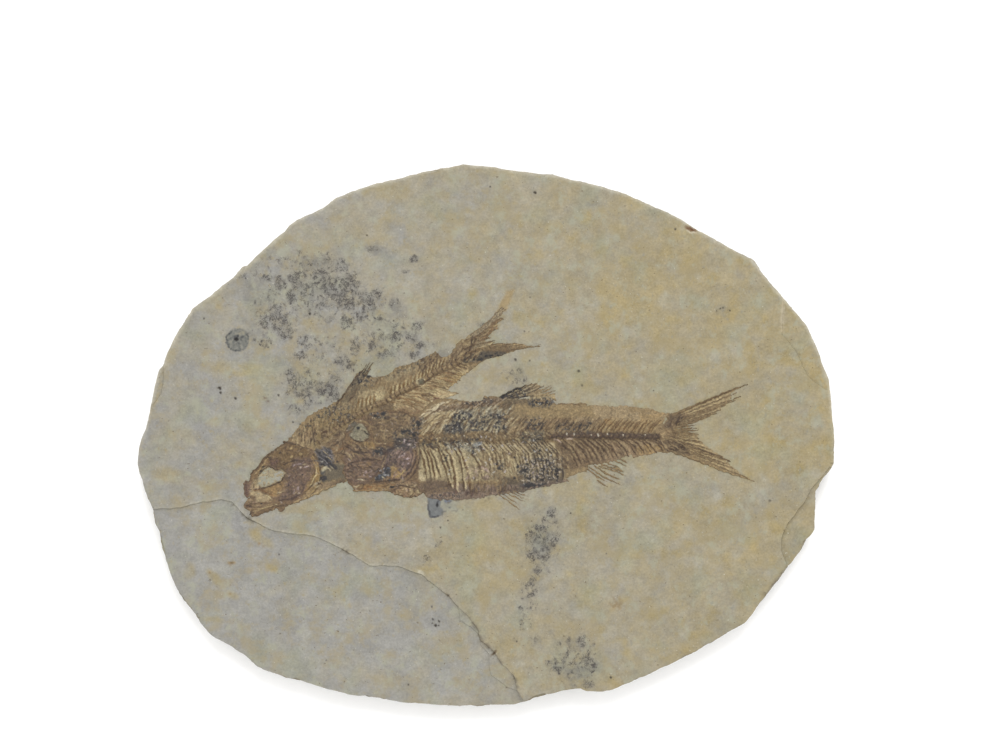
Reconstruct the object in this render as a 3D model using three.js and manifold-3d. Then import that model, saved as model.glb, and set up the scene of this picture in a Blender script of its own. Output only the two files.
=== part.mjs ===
// A plate of fine-grained limestone with two small fossil fish lying across each other.
// The plate lies flat: its back rests on z = 0 and the fish lie on its upper face.
// X runs along the plate, Y across it and Z up. All sizes are in millimetres.
import * as THREE from "three";
import { mergeVertices } from "three/addons/utils/BufferGeometryUtils.js";
import Module from "manifold-3d";

const wasm = await Module();
wasm.setup();

// Driving dimensions of the stone plate
const slabLength = 152.4;
const slabWidth = 118.6;
const slabThickness = 9;
const spallDepth = 0.7;
const flakeDepth = 0.35;
const eastLedgeDepth = 0.45;
const southEastLedgeDepth = 1.0;
const westChipDepth = 0.6;
const backSpallDepth = 0.9;

// Driving heights of the fossils above the upper face of the plate
const faceHeight = slabThickness;
const filmHeight = 0.35;
const ribHeight = 0.66;
const spineHeight = 0.92;
const rayHeight = 0.58;
const skullHeight = 0.8;
const keelHeight = 0.62;

// Widths of the bones, and the gap that keeps the two fish apart
const ribWidth = 1.0;
const spineBoneWidth = 0.7;
const rayWidth = 0.62;
const columnRadius = 0.95;
const upperColumnRadius = 0.75;
const fishGap = 0.3;

// Colours and finish
const stoneMaterial = new THREE.MeshStandardMaterial({ color: 0xada68e, roughness: 0.92, metalness: 0 });
const lowerBoneMaterial = new THREE.MeshStandardMaterial({ color: 0x7b6348, roughness: 0.6, metalness: 0 });
const upperBoneMaterial = new THREE.MeshStandardMaterial({ color: 0x8a7150, roughness: 0.6, metalness: 0 });

// Broken rim of the plate seen from above, clockwise from its highest point
const rim = [
  [-5.0, 59.2], [-2.6, 58.9], [0.4, 58.7], [3.3, 58.2], [7.4, 57.6], [12.0, 57.0], [14.6, 56.9],
  [18.5, 55.8], [24.0, 54.5], [28.3, 53.3], [31.2, 52.3], [34.9, 50.6], [39.5, 48.8], [42.7, 47.0],
  [46.4, 44.6], [49.9, 42.8], [53.4, 40.7], [58.1, 38.4], [59.0, 37.3], [60.1, 35.5], [62.9, 32.0],
  [67.4, 27.0], [70.1, 23.8], [70.9, 22.0], [72.4, 18.7], [73.7, 15.0], [74.8, 12.2], [75.4, 7.6],
  [75.6, 3.3], [76.2, -1.3], [75.9, -3.5], [76.0, -6.3], [74.8, -8.1], [73.2, -10.2], [72.0, -12.4],
  [71.9, -15.3], [71.8, -20.7], [71.2, -21.8], [70.0, -23.1], [69.3, -24.5], [66.7, -28.1],
  [63.1, -32.7], [60.4, -36.3], [57.8, -39.7], [56.5, -41.2], [53.3, -42.9], [49.9, -45.0],
  [46.7, -46.8], [40.8, -49.9], [35.2, -52.5], [29.6, -54.9], [26.8, -56.0], [24.1, -56.2],
  [22.1, -56.1], [20.7, -55.5], [19.4, -55.5], [16.6, -56.0], [13.0, -56.9], [8.6, -58.3],
  [6.5, -59.0], [2.4, -59.0], [-2.0, -59.3], [-8.1, -59.3], [-12.2, -59.0], [-18.0, -58.6],
  [-23.8, -57.7], [-29.6, -56.9], [-36.2, -55.2], [-40.0, -53.9], [-42.4, -53.4], [-47.3, -51.8],
  [-50.0, -50.7], [-52.8, -48.1], [-56.5, -46.0], [-59.8, -44.0], [-61.4, -42.3], [-63.9, -39.2],
  [-65.9, -36.5], [-67.5, -34.0], [-68.4, -31.6], [-70.5, -25.5], [-71.3, -23.0], [-71.3, -21.2],
  [-72.2, -19.1], [-72.5, -16.6], [-73.7, -13.7], [-74.5, -11.9], [-74.9, -9.8], [-75.6, -8.3],
  [-76.1, -6.3], [-75.9, -3.7], [-75.3, -1.3], [-74.3, 1.3], [-73.7, 3.7], [-73.0, 7.1],
  [-72.4, 10.5], [-71.4, 14.2], [-70.3, 15.5], [-69.6, 17.9], [-67.9, 21.4], [-66.0, 24.4],
  [-64.0, 27.5], [-62.3, 28.8], [-59.9, 30.5], [-57.1, 32.9], [-54.6, 34.9], [-53.2, 36.8],
  [-52.1, 37.1], [-50.4, 38.8], [-46.8, 42.1], [-44.0, 44.4], [-42.9, 45.8], [-41.2, 47.0],
  [-38.4, 48.2], [-35.6, 49.6], [-33.2, 51.4], [-29.7, 53.0], [-26.2, 54.2], [-21.4, 55.4],
  [-16.6, 56.7], [-11.6, 57.9], [-7.8, 58.6],
];

// Beds of the stone from the back to the face: the middle one is the widest
const beds = [
  { bottom: 0, top: 1.9, inset: 1.25, wander: 0.75, waves: 7, turn: 0.4 },
  { bottom: 0.6, top: 3.6, inset: 0.55, wander: 0.4, waves: 11, turn: 2.1 },
  { bottom: 2.4, top: 6.9, inset: 0, wander: 0, waves: 0, turn: 0 },
  { bottom: 6.2, top: slabThickness, inset: 0.22, wander: 0.2, waves: 9, turn: 1.2 },
];

// Edges where thin layers have split off the face, each run past the rim
const spallEdge = [
  [-80, -16.6], [-71.5, -16.1], [-66.5, -15.8], [-61.7, -14.6], [-57.8, -14.0], [-55.4, -14.6],
  [-54.2, -15.7], [-53.4, -16.6], [-51.8, -18.2], [-49.4, -19.4], [-47.6, -20.4], [-44.9, -21.1],
  [-37.6, -22.0], [-34.5, -23.3], [-30.4, -25.3], [-25.3, -28.4], [-19.1, -28.6], [-14.0, -30.5],
  [-8.8, -34.6], [-3.7, -39.7], [-1.8, -42.4], [-1.1, -44.9], [-0.2, -45.6], [1.5, -46.9],
  [3.5, -50.0], [6.3, -52.6], [6.8, -55.6], [8.5, -58.4], [9.5, -64],
];
const spallOutside = [[-20, -80], [-90, -70]];
const flakeEdge = [
  [-80, -16.7], [-66.5, -15.9], [-57.8, -14.1], [-53.5, -16.7], [-49.4, -19.5], [-44.9, -21.2],
  [-37.6, -22.1], [-30.4, -25.4], [-25.3, -28.5], [-19.1, -28.7], [-14.0, -30.6], [-8.8, -34.7],
  [-6.2, -37.4], [-5.6, -40.2], [-3.4, -41.8], [-1.2, -45.7], [0.6, -47.6], [1.0, -52.2],
  [2.8, -53.4], [4.6, -54.9], [6.7, -55.7], [8.4, -58.4], [9.4, -64],
];
const eastLedge = [
  [64.9, 31.5], [64.6, 26.2], [64.4, 21.8], [65.9, 20.4], [67.6, 18.1], [68.5, 16.1], [69.8, 13.1],
  [71.7, 11.6], [73.9, 9.9], [77, 9.0], [90, 20], [72, 40],
];
const southEastLedge = [
  [78, -5.6], [75.4, -6.1], [73.2, -8.9], [70.9, -11.6], [69.3, -14.6], [67.6, -16.9],
  [65.6, -19.4], [64.3, -22.7], [64.2, -25.3], [65.1, -26.9], [65.4, -28.3], [64.5, -30.3],
  [62.6, -32.5], [60.6, -35.2], [58.6, -37.6], [70, -50], [90, -20],
];
const westChip = [
  [-70.4, 16.0], [-70.2, 12.2], [-70.6, 9.2], [-71.6, 7.6], [-72.9, 6.2], [-73.6, 4.2], [-80, 2],
  [-80, 18],
];

// Shallow scars left on the back where the plate was split from the rock below
const backSpalls = [
  [[-80, 12], [-58, 15], [-44, 27], [-38, 44], [-30, 70], [-90, 60]],
  [[22, -70], [26, -48], [40, -36], [58, -30], [90, -30], [70, -80]],
];

// Lower fish, the larger one: its head points to -X and lies over the other fish
const lowerBody = [
  [-30.0, -10.5], [-31.0, -7.5], [-31.2, -4.0], [-30.8, -0.5], [-30.2, 1.8], [-28.6, 3.4],
  [-26.0, 4.6], [-22.4, 5.5], [-18.4, 5.3], [-15.4, 4.1], [-14.1, 3.6], [-11.9, 5.9], [-9.6, 7.4],
  [-6.1, 7.7], [-2.6, 7.2], [-0.3, 8.5], [3.2, 8.4], [8.0, 8.0], [14.3, 7.8], [15.2, 6.9],
  [20.6, 7.1], [22.4, 6.5], [28.0, 6.2], [29.8, 6.5], [33.7, 5.9], [36.9, 5.3], [40.1, 4.9],
  [39.6, 3.8], [41.0, 2.4], [41.4, -1.0], [41.0, -3.6], [40.2, -3.9], [37.2, -3.7], [35.7, -4.4],
  [32.0, -5.0], [29.8, -5.0], [28.0, -5.7], [25.0, -6.6], [22.0, -7.4], [20.1, -8.3],
  [18.1, -10.0], [14.1, -10.6], [9.9, -11.3], [6.5, -12.2], [3.6, -13.0], [0.7, -13.2],
  [-1.2, -13.8], [-5.0, -14.1], [-10.0, -14.1], [-12.3, -13.8], [-13.7, -12.2], [-15.0, -13.5],
  [-18.1, -13.4], [-19.7, -13.1], [-20.9, -12.3], [-24.0, -12.2], [-28.9, -12.2], [-29.2, -11.2],
];
const lowerDorsalFin = [
  [2.4, 7.6], [3.2, 8.4], [4.6, 9.4], [6.5, 10.2], [8.3, 10.8], [10.0, 11.6], [10.8, 11.2],
  [12.4, 9.6], [13.6, 8.6], [14.0, 7.4],
];
const lowerUpperLobe = [
  [38.2, 2.0], [40.1, 4.2], [41.2, 5.0], [42.5, 5.3], [42.9, 5.0], [44.4, 6.1], [45.9, 6.9],
  [47.9, 7.8], [50.0, 8.4], [51.9, 9.7], [53.0, 10.3], [54.7, 10.4], [57.3, 11.1], [57.3, 10.8],
  [55.5, 10.1], [54.3, 9.7], [55.5, 9.2], [55.9, 8.0], [55.5, 7.6], [52.1, 6.8], [51.4, 5.0],
  [48.1, 3.9], [44.6, 2.5], [43.1, 2.0], [41.0, 0.4],
];
const lowerLowerLobe = [
  [40.4, -0.8], [44.0, -0.2], [46.6, -0.8], [47.4, -1.7], [49.1, -3.3], [53.0, -5.6], [52.0, -5.8],
  [54.7, -7.6], [58.2, -10.0], [54.0, -8.8], [52.1, -8.3], [50.2, -7.4], [47.9, -6.3],
  [45.9, -5.4], [43.3, -4.4], [40.2, -3.8],
];

// Upper fish, the smaller one: its jaws are open and its tail points up to the right
const upperBody = [
  [-51.3, -9.1], [-51.2, -8.4], [-49.6, -7.1], [-47.9, -4.9], [-46.2, -2.9], [-45.2, -1.9],
  [-43.6, -1.1], [-42.2, 0.1], [-40.2, 1.4], [-38.4, 3.2], [-35.8, 5.2], [-32.8, 7.2],
  [-31.1, 8.6], [-30.1, 9.9], [-28.5, 12.3], [-27.0, 13.2], [-24.9, 12.4], [-22.2, 12.9],
  [-19.6, 14.7], [-16.3, 15.7], [-13.6, 16.9], [-11.1, 18.2], [-9.8, 17.0], [-8.7, 17.0],
  [-7.9, 17.4], [-6.6, 19.4], [-5.0, 20.6], [-2.4, 20.6], [-1.2, 18.6], [-1.2, 15.9],
  [-2.0, 15.0], [-4.5, 13.2], [-7.1, 10.8], [-8.0, 9.8], [-6.8, 8.8], [-9.6, 7.9], [-11.4, 6.8],
  [-14.0, 4.0], [-20.0, 0.0], [-26.0, -6.0], [-30.2, -10.4], [-32.2, -10.6], [-34.7, -11.7],
  [-36.0, -12.4], [-38.1, -13.6], [-40.9, -14.6], [-43.5, -15.4], [-43.9, -16.4], [-44.8, -16.8],
  [-45.4, -16.6], [-45.8, -15.9], [-47.6, -16.6], [-49.6, -17.4], [-51.1, -17.9], [-51.7, -17.2],
  [-52.1, -16.2], [-53.0, -15.4], [-52.1, -14.2], [-52.65, -12.7], [-52.8, -10.6], [-52.4, -10.0],
  [-51.6, -10.1],
];
const upperOrbit = [
  [-49.3, -9.1], [-48.6, -7.9], [-47.6, -7.15], [-46.7, -7.15], [-46.1, -7.8], [-44.9, -8.1],
  [-44.1, -8.7], [-44.6, -9.6], [-45.9, -10.4], [-47.4, -11.1], [-48.6, -11.2], [-49.4, -10.7],
];
const upperMouth = [
  [-51.2, -12.2], [-48.9, -12.2], [-47.6, -12.9], [-46.2, -13.9], [-47.6, -14.2], [-49.7, -14.4],
  [-50.7, -13.6],
];
const upperUpperLobe = [
  [-5.4, 20.4], [-2.9, 22.3], [-1.0, 22.6], [0.0, 23.6], [1.1, 24.5], [1.7, 25.5], [1.9, 26.3],
  [3.0, 27.3], [3.8, 27.7], [4.1, 27.1], [3.3, 26.2], [4.1, 25.6], [2.7, 24.6], [2.7, 23.5],
  [1.1, 22.6], [0.6, 21.7], [-0.2, 20.9], [-1.6, 19.3], [-3.6, 18.6],
];
const upperLowerLobe = [
  [-2.4, 19.2], [0.6, 19.6], [3.8, 19.9], [7.0, 20.0], [10.2, 19.9], [12.3, 19.3], [10.2, 18.8],
  [8.3, 18.5], [6.6, 18.3], [3.8, 17.4], [0.6, 16.6], [-2.2, 15.2],
];
const upperDorsalFin = [
  [-29.6, 10.4], [-28.2, 13.3], [-26.4, 14.5], [-25.6, 16.2], [-24.2, 16.4], [-24.0, 15.7],
  [-24.9, 14.9], [-25.0, 12.2],
];

// Two dimensional helpers
function mix(a, b, share) {
  return a + (b - a) * share;
}

function between(from, to, share) {
  return [mix(from[0], to[0], share), mix(from[1], to[1], share)];
}

// The point a share of the way along a line of points
function along(path, share) {
  const place = share * (path.length - 1);
  const start = Math.min(Math.floor(place), path.length - 2);
  return between(path[start], path[start + 1], place - start);
}

// Centres an outline on the origin and gives it its exact length and width
function fitted(outline, length, width) {
  const box = new THREE.Box2();
  box.setFromPoints(outline.map(([x, y]) => new THREE.Vector2(x, y)));
  const centre = box.getCenter(new THREE.Vector2());
  const size = box.getSize(new THREE.Vector2());
  return outline.map(([x, y]) => [
    (x - centre.x) * length / size.x,
    (y - centre.y) * width / size.y,
  ]);
}

// Draws an outline in towards the origin by a distance that wanders around it
function insetOutline(outline, inset, wander, waves, turn) {
  return outline.map(([x, y]) => {
    const angle = Math.atan2(y, x);
    const swing = Math.sin(angle * waves + turn) * 0.7 + Math.sin(angle * (2 * waves + 1)) * 0.3;
    const share = 1 - (inset + wander * swing) / Math.hypot(x, y);
    return [x * share, y * share];
  });
}

// Moves every point of an outline out along its own corner
function grownOutline(outline, distance) {
  const count = outline.length;
  const turn = Math.sign(THREE.ShapeUtils.area(outline.map(([x, y]) => new THREE.Vector2(x, y))));
  return outline.map(([x, y], index) => {
    const before = outline[(index + count - 1) % count];
    const after = outline[(index + 1) % count];
    const edge = new THREE.Vector2(after[0] - before[0], after[1] - before[1]).normalize();
    return [x + edge.y * distance * turn, y - edge.x * distance * turn];
  });
}

// Solids
function solidFrom(geometry) {
  const bare = geometry.index ? geometry : geometry.clone();
  bare.deleteAttribute("normal");
  bare.deleteAttribute("uv");
  const merged = mergeVertices(bare, 1e-5);
  return new wasm.Manifold(new wasm.Mesh({
    numProp: 3,
    vertProperties: new Float32Array(merged.attributes.position.array),
    triVerts: new Uint32Array(merged.index.array),
  }));
}

function joined(solids) {
  return solids.reduce((whole, solid) => whole.add(solid));
}

function plateGeometry(outline, bottom, top) {
  const shape = new THREE.Shape(outline.map(([x, y]) => new THREE.Vector2(x, y)));
  const geometry = new THREE.ExtrudeGeometry(shape, { depth: top - bottom, bevelEnabled: false });
  geometry.translate(0, 0, bottom);
  return geometry;
}

function plate(outline, bottom, top) {
  return solidFrom(plateGeometry(outline, bottom, top));
}

// A plate on the stone's face whose sides slope in towards its middle
function mound(outline, height, shrink) {
  const geometry = plateGeometry(outline, faceHeight, faceHeight + height);
  const total = outline.reduce(([x, y], point) => [x + point[0], y + point[1]], [0, 0]);
  const centre = [total[0] / outline.length, total[1] / outline.length];
  const position = geometry.attributes.position;
  for (let index = 0; index < position.count; index += 1) {
    if (position.getZ(index) > faceHeight) {
      const point = [position.getX(index), position.getY(index)];
      const drawnIn = between(centre, point, shrink);
      position.setXY(index, drawnIn[0], drawnIn[1]);
    }
  }
  return solidFrom(geometry);
}

// Joins rings of equal count into one closed skin with flat ends
function loft(rings) {
  const size = rings[0].length;
  const position = rings.flat(2);
  const faces = [];
  for (let ring = 0; ring < rings.length - 1; ring += 1) {
    for (let corner = 0; corner < size; corner += 1) {
      const next = (corner + 1) % size;
      const a = ring * size + corner;
      const b = ring * size + next;
      faces.push(a, a + size, b, b, a + size, b + size);
    }
  }
  const end = (rings.length - 1) * size;
  for (let corner = 1; corner < size - 1; corner += 1) {
    faces.push(0, corner, corner + 1, end, end + corner + 1, end + corner);
  }
  const geometry = new THREE.BufferGeometry();
  geometry.setAttribute("position", new THREE.Float32BufferAttribute(position, 3));
  geometry.setIndex(faces);
  return solidFrom(geometry);
}

// Unit vector across a path at one of its points, to the left of its direction
function acrossPath(path, index) {
  const before = path[Math.max(index - 1, 0)];
  const after = path[Math.min(index + 1, path.length - 1)];
  const length = Math.hypot(after[0] - before[0], after[1] - before[1]);
  return [(before[1] - after[1]) / length, (after[0] - before[0]) / length];
}

// A low three-sided bone that lies on the face along a path and fades at both ends
function bone(path, width, height) {
  const endWidth = 0.45;
  const endHeight = 0.62;
  const rings = path.map(([x, y], index) => {
    const atEnd = index === 0 || index === path.length - 1;
    const half = width / 2 * (atEnd ? endWidth : 1);
    const crest = height * (atEnd && path.length > 2 ? endHeight : 1);
    const [sideX, sideY] = acrossPath(path, index);
    return [
      [x + sideX * half, y + sideY * half, faceHeight],
      [x - sideX * half, y - sideY * half, faceHeight],
      [x, y, faceHeight + crest],
    ];
  });
  return loft(rings);
}

// The backbone: a half round column that narrows at the waist of each vertebra
function backbone(path, count, radius) {
  const waist = 0.72;
  const rings = [];
  for (let step = 0; step <= count * 2; step += 1) {
    const share = step / (count * 2);
    const [x, y] = along(path, share);
    const ahead = along(path, Math.min(share + 0.01, 1));
    const behind = along(path, Math.max(share - 0.01, 0));
    const [sideX, sideY] = acrossPath([behind, ahead], 0);
    const taper = mix(1, 0.75, share) * (step % 2 === 0 ? 1 : waist);
    const half = radius * taper;
    const top = spineHeight * mix(1, taper, 0.5);
    rings.push([
      [x + sideX * half, y + sideY * half, faceHeight],
      [x - sideX * half, y - sideY * half, faceHeight],
      [x - sideX * half * 0.6, y - sideY * half * 0.6, faceHeight + top],
      [x + sideX * half * 0.6, y + sideY * half * 0.6, faceHeight + top],
    ]);
  }
  return loft(rings);
}

// A fan of fin rays from evenly spaced points on a base line out to the given tips
function fan(baseStart, baseEnd, tips, height = rayHeight) {
  return tips.map((tip, index) => {
    const base = between(baseStart, baseEnd, index / Math.max(tips.length - 1, 1));
    return bone([base, tip], rayWidth, height);
  });
}

// Bones repeated along a line: each one is a copy of a path moved to the next place
function row(count, place, shapeAt, width, height) {
  const bones = [];
  for (let index = 0; index < count; index += 1) {
    const share = count > 1 ? index / (count - 1) : 0;
    const [x, y] = place(share);
    const path = shapeAt(share).map(([dx, dy]) => [x + dx, y + dy]);
    bones.push(bone(path, width, height));
  }
  return bones;
}

// An arc of bone around a centre, such as the rim of an eye socket
function arcBone(centre, radii, fromDegrees, toDegrees, steps, width, height) {
  const path = [];
  for (let step = 0; step <= steps; step += 1) {
    const angle = THREE.MathUtils.degToRad(mix(fromDegrees, toDegrees, step / steps));
    path.push([centre[0] + radii[0] * Math.cos(angle), centre[1] + radii[1] * Math.sin(angle)]);
  }
  return bone(path, width, height);
}

// The stone plate: beds of slightly different outline, with split-off layers cut away
function makeSlab() {
  const outline = fitted(rim, slabLength, slabWidth);
  const layers = beds.map((bed) => {
    const edge = insetOutline(outline, bed.inset, bed.wander, bed.waves, bed.turn);
    return plate(edge, bed.bottom, bed.top);
  });
  const above = slabThickness + 1;
  const below = -1;
  const cuts = [
    plate([...spallEdge, ...spallOutside], slabThickness - flakeDepth, above),
    plate([...flakeEdge, ...spallOutside], slabThickness - spallDepth, above),
    plate(eastLedge, slabThickness - eastLedgeDepth, above),
    plate(southEastLedge, slabThickness - southEastLedgeDepth, above),
    plate(westChip, slabThickness - westChipDepth, above),
    ...backSpalls.map((scar) => plate(scar, below, backSpallDepth)),
  ];
  return cuts.reduce((whole, cut) => whole.subtract(cut), joined(layers));
}

// The larger fish
function makeLowerFish() {
  const column = [[-15.2, -0.4], [-4, -0.3], [10, -0.3], [24, -0.1], [38.6, -0.4]];
  const orbitCentre = [-27.4, 0.3];
  const orbitRadii = [2.5, 2.2];
  const orbit = [];
  for (let step = 0; step < 10; step += 1) {
    const angle = step * Math.PI / 5;
    orbit.push([orbitCentre[0] + 1.9 * Math.cos(angle), orbitCentre[1] + 1.6 * Math.sin(angle)]);
  }
  const film = [
    plate(lowerBody, faceHeight, faceHeight + filmHeight),
    plate(lowerDorsalFin, faceHeight, faceHeight + filmHeight),
    plate(lowerUpperLobe, faceHeight, faceHeight + filmHeight),
    plate(lowerLowerLobe, faceHeight, faceHeight + filmHeight),
  ];
  const skull = [
    mound([
      [-30.2, -9.6], [-30.8, -4.0], [-29.8, -2.4], [-26.0, -2.6], [-23.0, -3.2], [-21.6, -4.8],
      [-22.8, -7.6], [-25.0, -10.0], [-28.0, -11.2],
    ], skullHeight, 0.86),
    mound([
      [-24.6, 3.6], [-22.4, 4.9], [-18.4, 4.7], [-15.6, 3.2], [-15.2, 0.6], [-17.2, -1.2],
      [-21.0, -1.8], [-24.2, -0.8],
    ], skullHeight, 0.84),
    mound([
      [-21.2, -3.4], [-17.2, -2.0], [-15.6, -3.6], [-15.5, -5.5], [-16.0, -7.5], [-17.2, -8.7],
      [-18.9, -9.5], [-20.6, -9.6], [-22.0, -7.4],
    ], skullHeight, 0.84),
    mound([
      [-28.8, -12.0], [-24.0, -12.0], [-20.9, -12.1], [-21.5, -10.4], [-25.5, -10.4],
    ], keelHeight, 0.85),
    mound([
      [-20.4, -10.2], [-16.0, -10.2], [-14.2, -12.0], [-15.0, -13.2], [-18.1, -13.2],
      [-19.7, -12.9],
    ], keelHeight, 0.85),
    mound(orbit, keelHeight, 0.8),
    arcBone(orbitCentre, orbitRadii, 20, 340, 10, 0.8, skullHeight),
    arcBone([-19.6, -4.4], [4.6, 5.4], 32, -92, 8, 0.6, skullHeight),
    arcBone([-19.6, -4.0], [5.6, 6.4], 24, -78, 8, 0.6, ribHeight),
    arcBone([-21.2, -1.0], [1.2, 1.2], 0, 320, 8, 0.5, spineHeight),
    bone([[-21.6, -4.2], [-22.6, -6.6], [-24.2, -8.8], [-25.8, -9.8]], 0.9, spineHeight),
    bone([[-30.2, -2.2], [-27.0, -3.6], [-24.4, -3.6]], 0.7, spineHeight),
    bone([[-24.8, 4.0], [-20.6, 4.6], [-16.2, 3.2]], 0.8, spineHeight),
  ];
  const keel = mound([
    [-14.6, -10.0], [-4.0, -10.3], [4.0, -10.4], [8.0, -10.6], [17.4, -9.4], [17.8, -9.9],
    [14.1, -10.5], [9.9, -11.2], [6.5, -12.1], [3.6, -12.9], [0.7, -13.1], [-5.0, -14.0],
    [-10.0, -14.0], [-12.2, -13.6], [-13.7, -12.0],
  ], keelHeight, 0.94);
  const ribs = [
    ...row(13, (s) => [mix(-14.2, 4.2, s), -0.9], (s) => [
      [0, 0], [mix(0.5, 0.9, s), -4.6], [mix(1.6, 1.7, s), -9.3],
    ], ribWidth, ribHeight),
    ...row(8, (s) => [mix(5.8, 15.4, s), -1.0], (s) => [
      [0, 0], [mix(1.2, 1.5, s), -3.8], [mix(1.9, 1.7, s), mix(-9.4, -8.0, s)],
    ], ribWidth, ribHeight),
  ];
  const spines = [
    ...row(31, (s) => [mix(-13.2, 36.2, s), 0.3], (s) => [
      [0, 0], [mix(2.9, 1.9, s), mix(5.0, 3.3, s)],
    ], spineBoneWidth, ribHeight),
    ...row(12, (s) => [mix(17.2, 35.4, s), -0.8], (s) => [
      [0, 0], [mix(2.6, 1.8, s), mix(-5.6, -2.6, s)],
    ], spineBoneWidth, ribHeight),
  ];
  const fins = [
    ...fan([4.0, 8.1], [12.6, 7.9], [
      [9.9, 11.5], [11.6, 12.4], [12.9, 11.0], [14.9, 11.5], [15.0, 10.6], [15.0, 9.8], [14.9, 8.9],
    ]),
    ...fan([21.9, -7.2], [27.6, -5.8], [
      [26.7, -11.5], [29.8, -11.0], [29.5, -9.7], [30.5, -9.1], [30.2, -8.1], [30.4, -7.1],
      [30.5, -6.3],
    ]),
    ...fan([39.6, 3.2], [40.6, 1.6], [
      [57.2, 10.95], [54.2, 9.7], [55.3, 9.0], [55.7, 7.9], [51.9, 6.3], [51.0, 5.1],
    ]),
    ...fan([40.4, 1.1], [40.4, -1.0], [
      [46.4, 2.2], [46.8, 1.1], [46.3, 0.3], [46.6, -0.7], [47.4, -1.7],
    ]),
    ...fan([40.6, -1.8], [40.6, -3.7], [
      [50.9, -4.3], [52.9, -5.5], [54.4, -7.5], [57.9, -9.85], [54.2, -8.7], [50.2, -7.2],
    ]),
    ...fan([3.0, -12.8], [4.6, -12.5], [[8.3, -16.9], [8.6, -15.4], [8.4, -14.2]]),
  ];
  const trunkColumn = backbone(column, 31, columnRadius);
  return joined([...film, ...skull, keel, ...ribs, ...spines, ...fins, trunkColumn]);
}

// The smaller fish, cut clear of the larger one that lies over its belly
function makeUpperFish() {
  const column = [
    [-36.4, -1.6], [-32.0, 1.8], [-28.0, 4.4], [-24.0, 6.6], [-20.0, 8.8], [-16.2, 10.7],
    [-12.5, 12.8], [-8.2, 14.9], [-4.6, 17.4], [-2.6, 18.6],
  ];
  const film = [
    plate(upperBody, faceHeight, faceHeight + filmHeight),
    plate(upperUpperLobe, faceHeight, faceHeight + filmHeight),
    plate(upperLowerLobe, faceHeight, faceHeight + filmHeight),
    plate(upperDorsalFin, faceHeight, faceHeight + filmHeight),
  ];
  const skull = [
    mound([
      [-46.6, -3.6], [-44.4, -1.8], [-41.4, -1.4], [-38.4, -3.2], [-37.4, -5.2], [-40.6, -6.4],
      [-44.0, -7.0], [-47.0, -6.2],
    ], skullHeight, 0.86),
    mound([
      [-43.4, -7.4], [-40.6, -6.8], [-37.2, -5.6], [-36.4, -7.6], [-37.2, -10.0], [-39.0, -12.6],
      [-41.2, -14.0], [-44.4, -14.2], [-45.0, -12.0], [-43.4, -10.0],
    ], skullHeight, 0.86),
    bone([[-51.0, -8.9], [-49.2, -7.2], [-47.6, -5.2], [-45.8, -2.9]], 0.9, skullHeight),
    bone([[-52.2, -10.4], [-52.3, -12.0], [-52.0, -13.6]], 0.9, skullHeight),
    bone([[-44.0, -9.3], [-45.2, -10.3], [-46.9, -11.1], [-48.6, -11.7], [-51.6, -12.0]], 0.7, ribHeight),
    bone([[-52.4, -15.4], [-50.2, -15.0], [-47.6, -15.0], [-45.0, -14.8]], 1.1, skullHeight),
    bone([[-51.0, -17.5], [-48.4, -16.6], [-45.8, -15.6]], 0.8, ribHeight),
    arcBone([-41.6, -8.4], [4.9, 5.6], 50, -70, 8, 0.6, spineHeight),
    bone([[-39.4, -13.4], [-36.0, -11.8], [-33.0, -10.9]], 0.8, ribHeight),
  ];
  const spines = [
    ...row(26, (s) => along(column, mix(0.04, 0.86, s)), (s) => [
      [0, 0.5], [mix(-0.2, 0.9, s), mix(4.6, 2.6, s)],
    ], spineBoneWidth, ribHeight),
    ...row(7, (s) => along(column, mix(0.66, 0.9, s)), (s) => [
      [0.2, -0.4], [mix(2.8, 2.2, s), mix(-1.6, -0.6, s)],
    ], spineBoneWidth, ribHeight),
  ];
  const ribs = row(9, (s) => along(column, mix(0.42, 0.72, s)), (s) => [
    [0.3, -0.6], [mix(3.4, 3.0, s), mix(-1.3, -1.3, s)], [mix(6.6, 5.6, s), mix(-2.6, -3.0, s)],
  ], ribWidth * 0.8, ribHeight);
  const fins = [
    ...fan([-29.2, 10.4], [-26.2, 11.8], [
      [-26.6, 14.2], [-25.6, 16.1], [-24.3, 16.3], [-24.2, 15.6],
    ]),
    ...fan([-4.6, 19.6], [-2.8, 18.8], [
      [1.8, 26.0], [3.8, 27.4], [3.9, 25.6], [2.5, 23.5], [1.0, 20.6],
    ]),
    ...fan([-2.6, 18.4], [-3.0, 16.2], [
      [7.0, 19.7], [12.0, 19.3], [8.0, 18.7], [6.2, 18.3], [3.6, 17.6],
    ]),
  ];
  const trunkColumn = backbone(column, 25, upperColumnRadius);
  const whole = joined([...film, ...skull, ...ribs, ...spines, ...fins, trunkColumn]);
  const cuts = [upperOrbit, upperMouth, grownOutline(lowerBody, fishGap)];
  return cuts.reduce((rest, cut) => rest.subtract(plate(cut, faceHeight - 1, faceHeight + 2)), whole);
}

function meshFrom(name, solid, material) {
  const result = solid.getMesh();
  const geometry = new THREE.BufferGeometry();
  const position = new Float32Array(result.vertProperties);
  geometry.setAttribute("position", new THREE.BufferAttribute(position, 3));
  geometry.setIndex(new THREE.BufferAttribute(new Uint32Array(result.triVerts), 1));
  geometry.computeVertexNormals();
  const mesh = new THREE.Mesh(geometry, material);
  mesh.name = name;
  return mesh;
}

const group = new THREE.Group();
group.add(meshFrom("slab", makeSlab(), stoneMaterial));
group.add(meshFrom("lower_fish", makeLowerFish(), lowerBoneMaterial));
group.add(meshFrom("upper_fish", makeUpperFish(), upperBoneMaterial));

export default group;
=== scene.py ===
"""Looks of a limestone plate that carries two small fossil fish, seen from straight above."""

import math

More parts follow.
